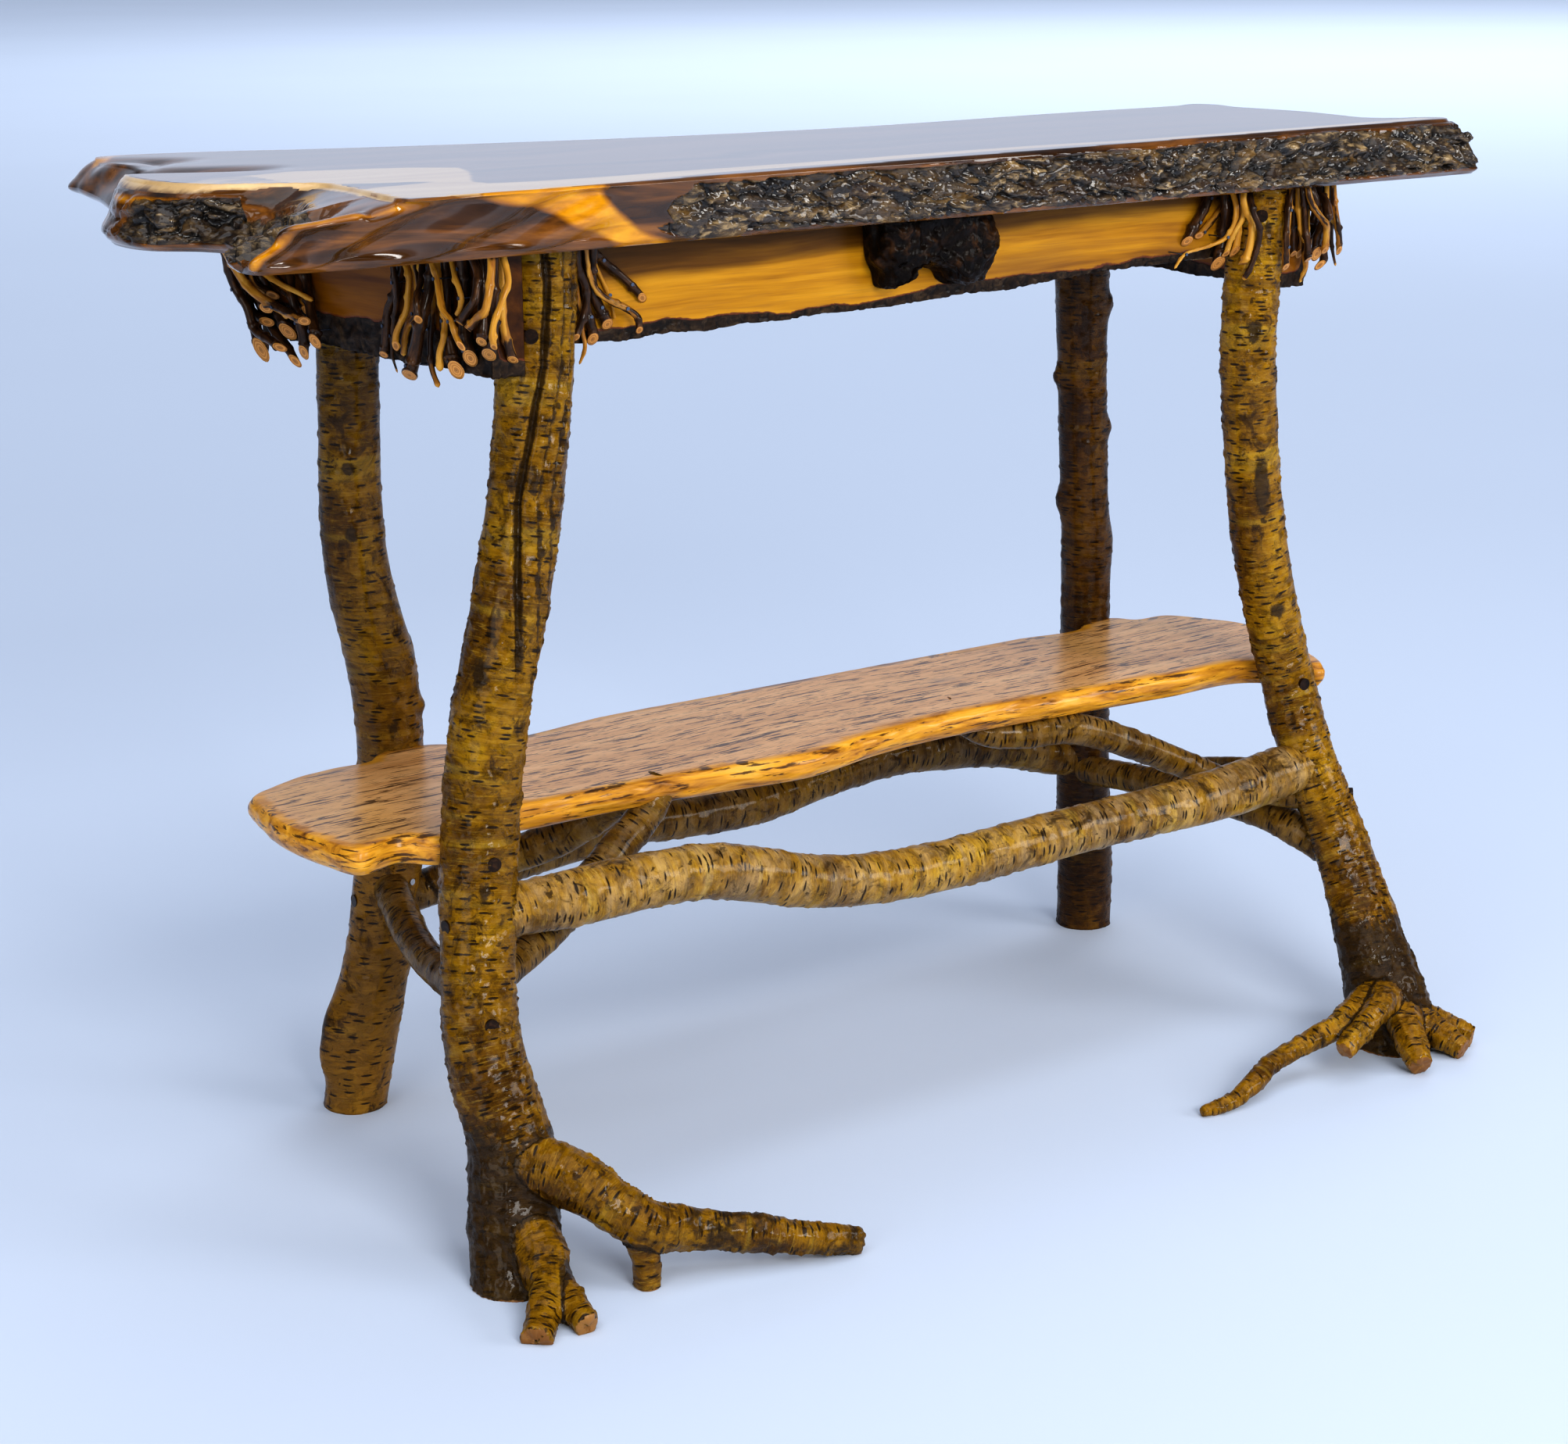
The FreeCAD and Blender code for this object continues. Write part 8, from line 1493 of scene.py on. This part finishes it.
# drawer front: live lower edge, and above a line across it a darker band that is partly heartwood and partly the
# painted shadow of the overhanging top
df_low = low_edge([p for p in DF[1:-1]])
board_mesh("drawer_front_board", "drawer_front", DF, 90.0, 110.0, lambda V: np.stack([V[:, 0], -V[:, 2], V[:, 1]], 1), M_BOARD,
           lambda u, v, w: (df_low(u) + 8.5 + 3.0 * np.sin(u * 0.021)) - v - 4.0 * step(100, 92, w) * 0, lambda V: np.stack([V[:, 0], V[:, 2], V[:, 1]], 1), 301, body="drawer", gap=3.6,
           # The band above this line is darker: partly heartwood, partly the painted shadow of the overhanging top.
           heart=lambda u, v: v - np.interp(u, [-330, -150, -60, 40, 120, 330], [728, 731, 735, 742, 746, 750]))


# left end: outer face looks to -x; u = -y, v = z, w = -x on a face that leans with y
def place_left(V):
    y = -V[:, 0]
    return np.stack([-V[:, 2] - 0.1012 * y, y, V[:, 1]], 1)


LE = [(-165, 767), (-165, 674.5), (-120, 673.2), (-70, 675.5), (-20, 674), (40, 673.4), (90, 675.6), (150, 674), (150, 767)]
board_mesh("end_board_left", "end_rail_left", LE, 391.4, 420.6, place_left, M_BOARD_END,
           lambda u, v, w: (703 + 2.5 * np.sin(u * 0.03)) - v - 14 * step(418.5, 410, w), lambda V: np.stack([V[:, 0], V[:, 2], V[:, 1]], 1), 321, gap=4.2,
           # The front of this board, where y is below -96 mm, is darkened as a painted shadow.
           heart=lambda u, v: 0.6 * (u - 96))


def place_right(V):
    y = V[:, 0]
    return np.stack([V[:, 2] + 0.0532 * (y + 132), y, V[:, 1]], 1)


RE = [(-132, 767), (-132, 674), (-80, 675.5), (-20, 673.4), (40, 675), (100, 673.6), (150, 675), (150, 767)]
board_mesh("end_board_right", "end_rail_right", RE, 416.6, 448.0, place_right, M_BOARD_END,
           lambda u, v, w: (700 + 2.5 * np.sin(u * 0.04 + 1)) - v - 14 * step(446, 438, w), lambda V: np.stack([V[:, 0], V[:, 2], V[:, 1]], 1), 341, gap=4.2)
BRL = [(-386, 767), (-386, 695.5), (-260, 697), (-120, 695.4), (0, 697.5), (140, 695.6), (260, 697), (362, 695.5), (362, 767)]
board_mesh("back_board", "back_rail", BRL, 105.0, 125.0, lambda V: np.stack([-V[:, 0], V[:, 2], V[:, 1]], 1), M_BOARD,
           lambda u, v, w: (703 + 2.5 * np.sin(u * 0.02)) - v, lambda V: np.stack([V[:, 0], V[:, 2], V[:, 1]], 1), 361, gap=4.6)

# ------------------------------------------------------------- burl pull
BP = np.array(BURL, float)


def burl_ring(sx, sz, dz=0.0):
    c = np.array([22.0, 738.0])
    return (BP - c) * np.array([sx, sz]) + c + np.array([0, dz])


rows, span, tt = plate_rows([(147, burl_ring(0.72, 0.60, -1)), (144.8, burl_ring(0.84, 0.75, -1)), (140, burl_ring(0.94, 0.88, -1)), (130, burl_ring(1.0, 0.98)),
                             (118, burl_ring(1.0, 1.0)), (110, burl_ring(0.95, 0.98))], 2.0, 26)
V, F, kinds, n_top = plate_mesh(rows, 2.0, 5.0)
V = relax(V, F, np.where(V[:, 2] > 112, 0.5, 0.0), 2)
N = vertex_normals(V, F)
Q = V * 0.001
lump = fbm(Q * 42, 3, 411) * 4.6 + fbm(Q * 130, 3, 413) * 3.0 + fbm(Q * 330, 2, 417) * 0.9
f1, f2, cid = cells(Q * 95, 415)
lump += -1.9 * np.exp(-(f1 / 0.22) ** 2) + 1.0 * (f1 - 0.4)
keep = step(110.5, 116, V[:, 2])
V2 = V + N * ((lump - 1.6) * keep)[:, None]
V2[:, 1] = np.minimum(V2[:, 1], 764.6)
V2[:, 2] = np.clip(V2[:, 2], 110.0, 149.0)
ridge = np.clip(lump / 4.0 + 0.3, 0, 1)
burl = mesh_object("drawer_pull_burl_carved", to_m(np.stack([V2[:, 0], -V2[:, 2], V2[:, 1]], 1)), F, [M_BURL], None, {"edge": ridge}, body="drawer")
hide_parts("drawer_pull_burl")


# ------------------------------------------------------------- clusters of short branches
def twig(pts, style, tip, seed, seg=16, gap=0.0017):
    rng = np.random.RandomState(seed)
    L = sum(np.linalg.norm(np.subtract(pts[i + 1][:3], pts[i][:3])) for i in range(len(pts) - 1)) * MM
    knots = [(k + rng.uniform(-0.25, 0.25)) * 0.021 for k in range(1, int(L / 0.021) + 1)]
    side = rng.uniform(0, 2 * math.pi, len(knots) + 1)

    def relief(bc, S, A, R, X):
        h = fbm(bc * np.array([240, 240, 60.0]) + seed, 3, seed) * 0.00035
        for s0, a0 in zip(knots, side):
            h = h + R * 0.16 * np.exp(-((S - s0) / 0.0022) ** 2)
            d = (A - a0 + np.pi) % (2 * np.pi) - np.pi
            h = h + R * 0.42 * np.exp(-((S - s0) / 0.0020) ** 2 - (d / 0.55) ** 2)
        if style != "d":
            h = h - 0.00012
        return h
    pts = [tuple(p[:3]) + (max(p[3], 0.5),) for p in pts]
    V, F, cap, bc = branch_mesh(pts, seg, gap, False, relief, round_tip=(tip == "p"))
    n = (len(V) - 2 * (2 * seg + 1)) // seg
    if tip in "sc":
        # knife-cut end: the last few rings slide along the branch so that the cut looks outwards
        P = to_m(np.array(pts)[:, :3])
        t = P[-1] - P[-2]
        t /= np.linalg.norm(t)
        out = OUTWARD - t * OUTWARD.dot(t)
        out /= np.linalg.norm(out) + 1e-9
        c = P[-1]
        s_all = bc[:, 2]
        s_end = s_all.max()
        r = pts[-1][3] * MM
        w = np.clip(1 - (s_end - s_all) / (3.4 * r), 0, 1)
        lean = ((V - c) @ out)
        V = V - t[None, :] * (w * (lean + r) * (1.7 if tip == "s" else 1.15))[:, None]
    peel = np.zeros(len(V))
    if style == "y":
        peel[:] = 0.95
    elif style == "m":
        peel = 0.5 + 0.75 * fbm(bc * np.array([150, 150, 22.0]) + seed * 1.7, 3, seed + 1)
    else:
        peel = 0.10 + 0.55 * fbm(bc * np.array([150, 150, 24.0]) + seed * 1.3, 3, seed + 1)
    if tip in "sp":
        s_all = bc[:, 2]
        peel = np.maximum(peel, 0.8 * step(s_all.max() - 0.006, s_all.max() - 0.001, s_all))
    return V, F, cap, bc, np.clip(peel, 0, 1)


for group, node, body, out in (("left_end_front", "twigs_left_end_front", "frame", (-0.7, -0.7, -0.2)), ("left_end_back", "twigs_left_end_back", "frame", (-0.8, -0.5, -0.2)),
                               ("right_end_front", "twigs_right_end_front", "frame", (-0.2, -0.95, -0.2)), ("drawer_left", "twigs_drawer_left", "drawer", (-0.2, -0.95, -0.2)),
                               ("drawer_right", "twigs_drawer_right", "drawer", (-0.2, -0.95, -0.2))):
    OUTWARD = np.array(out, float)
    Vs, Fs, caps, bcs, pl, n = [], [], [], [], [], 0
    for k, (tag, style, tip, pts) in enumerate(TWIGS[group]):
        V, F, cap, bc, peel = twig(pts, style, tip, 500 + 31 * k + len(group) * 7, 18, 0.0015)
        Vs.append(V)
        Fs += [[i + n for i in f] for f in F]
        caps += cap if tip != "p" else [0] * len(cap)
        bcs.append(bc + np.array([0, 0, 0.37 * k]))
        pl.append(peel)
        n += len(V)
    bcv = np.concatenate(bcs)
    V = np.concatenate(Vs)
    V[:, 2] = np.minimum(V[:, 2], 0.7668)
    ob = mesh_object(node + "_peeled", V, Fs, [M_TWIG, M_CUT_TWIG], caps, {"bc": bcv, "peel": np.concatenate(pl)}, body=body)
    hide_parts(node)

# ------------------------------------------------------------- pieces kept as they are
KEPT = {"leg_plugs": M_PLUG, "leg_lag_screws": M_STEEL, "tabletop_screws": M_STEEL, "rail_screws": M_STEEL, "hanger_screws": M_STEEL,
        "stop_block_screws": M_STEEL, "twig_nails_frame": M_NAIL, "twig_nails_drawer": M_NAIL, "pull_screws": M_STEEL, "drawer_brads": M_NAIL,
        "top_cleat_left": M_INNER, "top_cleat_right": M_INNER, "drawer_hanger_left": M_INNER, "drawer_hanger_right": M_INNER,
        "drawer_stop_blocks": M_INNER, "drawer_side_left": M_INNER, "drawer_side_right": M_INNER, "drawer_back": M_INNER, "drawer_bottom": M_INNER}
for nm, mat in KEPT.items():
    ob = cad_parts[nm]
    if len(ob.material_slots) == 0:
        ob.data.materials.append(mat)
    for sl in ob.material_slots:
        sl.material = mat

# ------------------------------------------------------------- studio
def stage_material(name, col):
    g = Graph(name)
    o = g.obj()
    n = g.noise(g.scaled(o, (0.5, 0.5, 0.5)), 1, 2, 0.5)
    c = g.mix(g.lim(n, 0.3, 0.7), col, tuple(v * 0.985 for v in col))
    return g.done(c, 0.85)


fl = bpy.data.meshes.new("studio_floor")
fl.from_pydata([(-40, -40, 0), (40, -40, 0), (40, 40, 0), (-40, 40, 0)], [], [(0, 1, 2, 3)])
fl.materials.append(stage_material("floor_pale", (0.60, 0.685, 0.84)))
floor = bpy.data.objects.new("studio_floor", fl)
bpy.context.scene.collection.objects.link(floor)

world = bpy.data.worlds.new("pale_room")
bpy.context.scene.world = world
world.use_nodes = True
wt = world.node_tree
bg = wt.nodes["Background"]


def wnode(kind, ins=(), **props):
    n = wt.nodes.new(kind)
    for k, v in props.items():
        setattr(n, k, v)
    for k, v in ins:
        if isinstance(v, bpy.types.NodeSocket):
            wt.links.new(v, n.inputs[k])
        else:
            n.inputs[k].default_value = v
    return n


# a bright backdrop on the far side, a dim room on the near side, a soft ceiling
way = wnode("ShaderNodeTexCoord").outputs["Generated"]
far = wnode("ShaderNodeVectorMath", [(0, way), (1, (0.58, 0.81, 0.0))], operation="DOT_PRODUCT").outputs["Value"]
high = wnode("ShaderNodeVectorMath", [(0, way), (1, (0.0, 0.0, 1.0))], operation="DOT_PRODUCT").outputs["Value"]
far = wnode("ShaderNodeMapRange", [("Value", far), ("From Min", 0.55), ("From Max", 0.98), ("To Min", 0.0), ("To Max", 0.68)], interpolation_type="SMOOTHSTEP").outputs[0]
high = wnode("ShaderNodeMapRange", [("Value", high), ("From Min", 0.45), ("From Max", 0.95), ("To Min", 0.06), ("To Max", 0.34)], interpolation_type="SMOOTHSTEP").outputs[0]
power = wnode("ShaderNodeMath", [(0, far), (1, high)], operation="ADD").outputs[0]
wt.links.new(power, bg.inputs["Strength"])
bg.inputs["Color"].default_value = (0.74, 0.82, 1.0, 1)


def area(name, loc, target, size, size_y, power, col=(1, 1, 1)):
    L = bpy.data.lights.new(name, "AREA")
    L.shape = "RECTANGLE"
    L.size, L.size_y = size, size_y
    L.energy = power
    L.color = col
    ob = bpy.data.objects.new(name, L)
    bpy.context.scene.collection.objects.link(ob)
    ob.location = loc
    d = Vector(target) - Vector(loc)
    ob.rotation_euler = d.to_track_quat("-Z", "Y").to_euler()
    return ob


area("window_left", (-3.6, -1.5, 1.3), (0, 0, 0.45), 2.0, 1.6, 27, (1.0, 0.97, 0.93))
area("beside_camera", (-0.8, -3.6, 2.05), (0, 0, 0.45), 1.6, 1.0, 84, (1.0, 0.98, 0.95))
area("front_right", (2.5, -3.2, 1.7), (0.1, 0, 0.45), 1.6, 1.3, 52, (0.99, 0.99, 1.0))
area("far_floor", (13.5, 10.5, 8.5), (13.5, 10.5, 0.0), 14.0, 14.0, 1150, (0.95, 0.98, 1.0))
bpy.data.objects["far_floor"].visible_glossy = False
sun = bpy.data.lights.new("overhead_soft", "SUN")
sun.energy = 1.32
sun.angle = 1.25
sun.color = (0.93, 0.96, 1.0)
sun_ob = bpy.data.objects.new("overhead_soft", sun)
bpy.context.scene.collection.objects.link(sun_ob)
sun_ob.rotation_euler = Vector((0.10, 0.22, -1.0)).to_track_quat("-Z", "Y").to_euler()
bpy.context.scene.view_settings.view_transform = "Standard"
bpy.context.scene.view_settings.look = "Medium High Contrast"

# ------------------------------------------------------------- camera
cam_data = bpy.data.cameras.new("camera")
cam_data.lens = 66.05
cam_data.sensor_width = 36.0
cam_data.sensor_fit = "HORIZONTAL"
cam_data.clip_start, cam_data.clip_end = 0.05, 200.0
cam = bpy.data.objects.new("camera", cam_data)
bpy.context.scene.collection.objects.link(cam)
Rv, Uv, Fv = Vector((0.81217, -0.58340, -0.00493)), Vector((0.16379, 0.21989, 0.96168)), Vector((0.55996, 0.78185, -0.27414))
cam.matrix_world = Matrix(((Rv.x, Uv.x, -Fv.x, -1.4606), (Rv.y, Uv.y, -Fv.y, -1.921406), (Rv.z, Uv.z, -Fv.z, 1.0091), (0, 0, 0, 1)))
bpy.context.scene.camera = cam

bpy.context.view_layer.update()
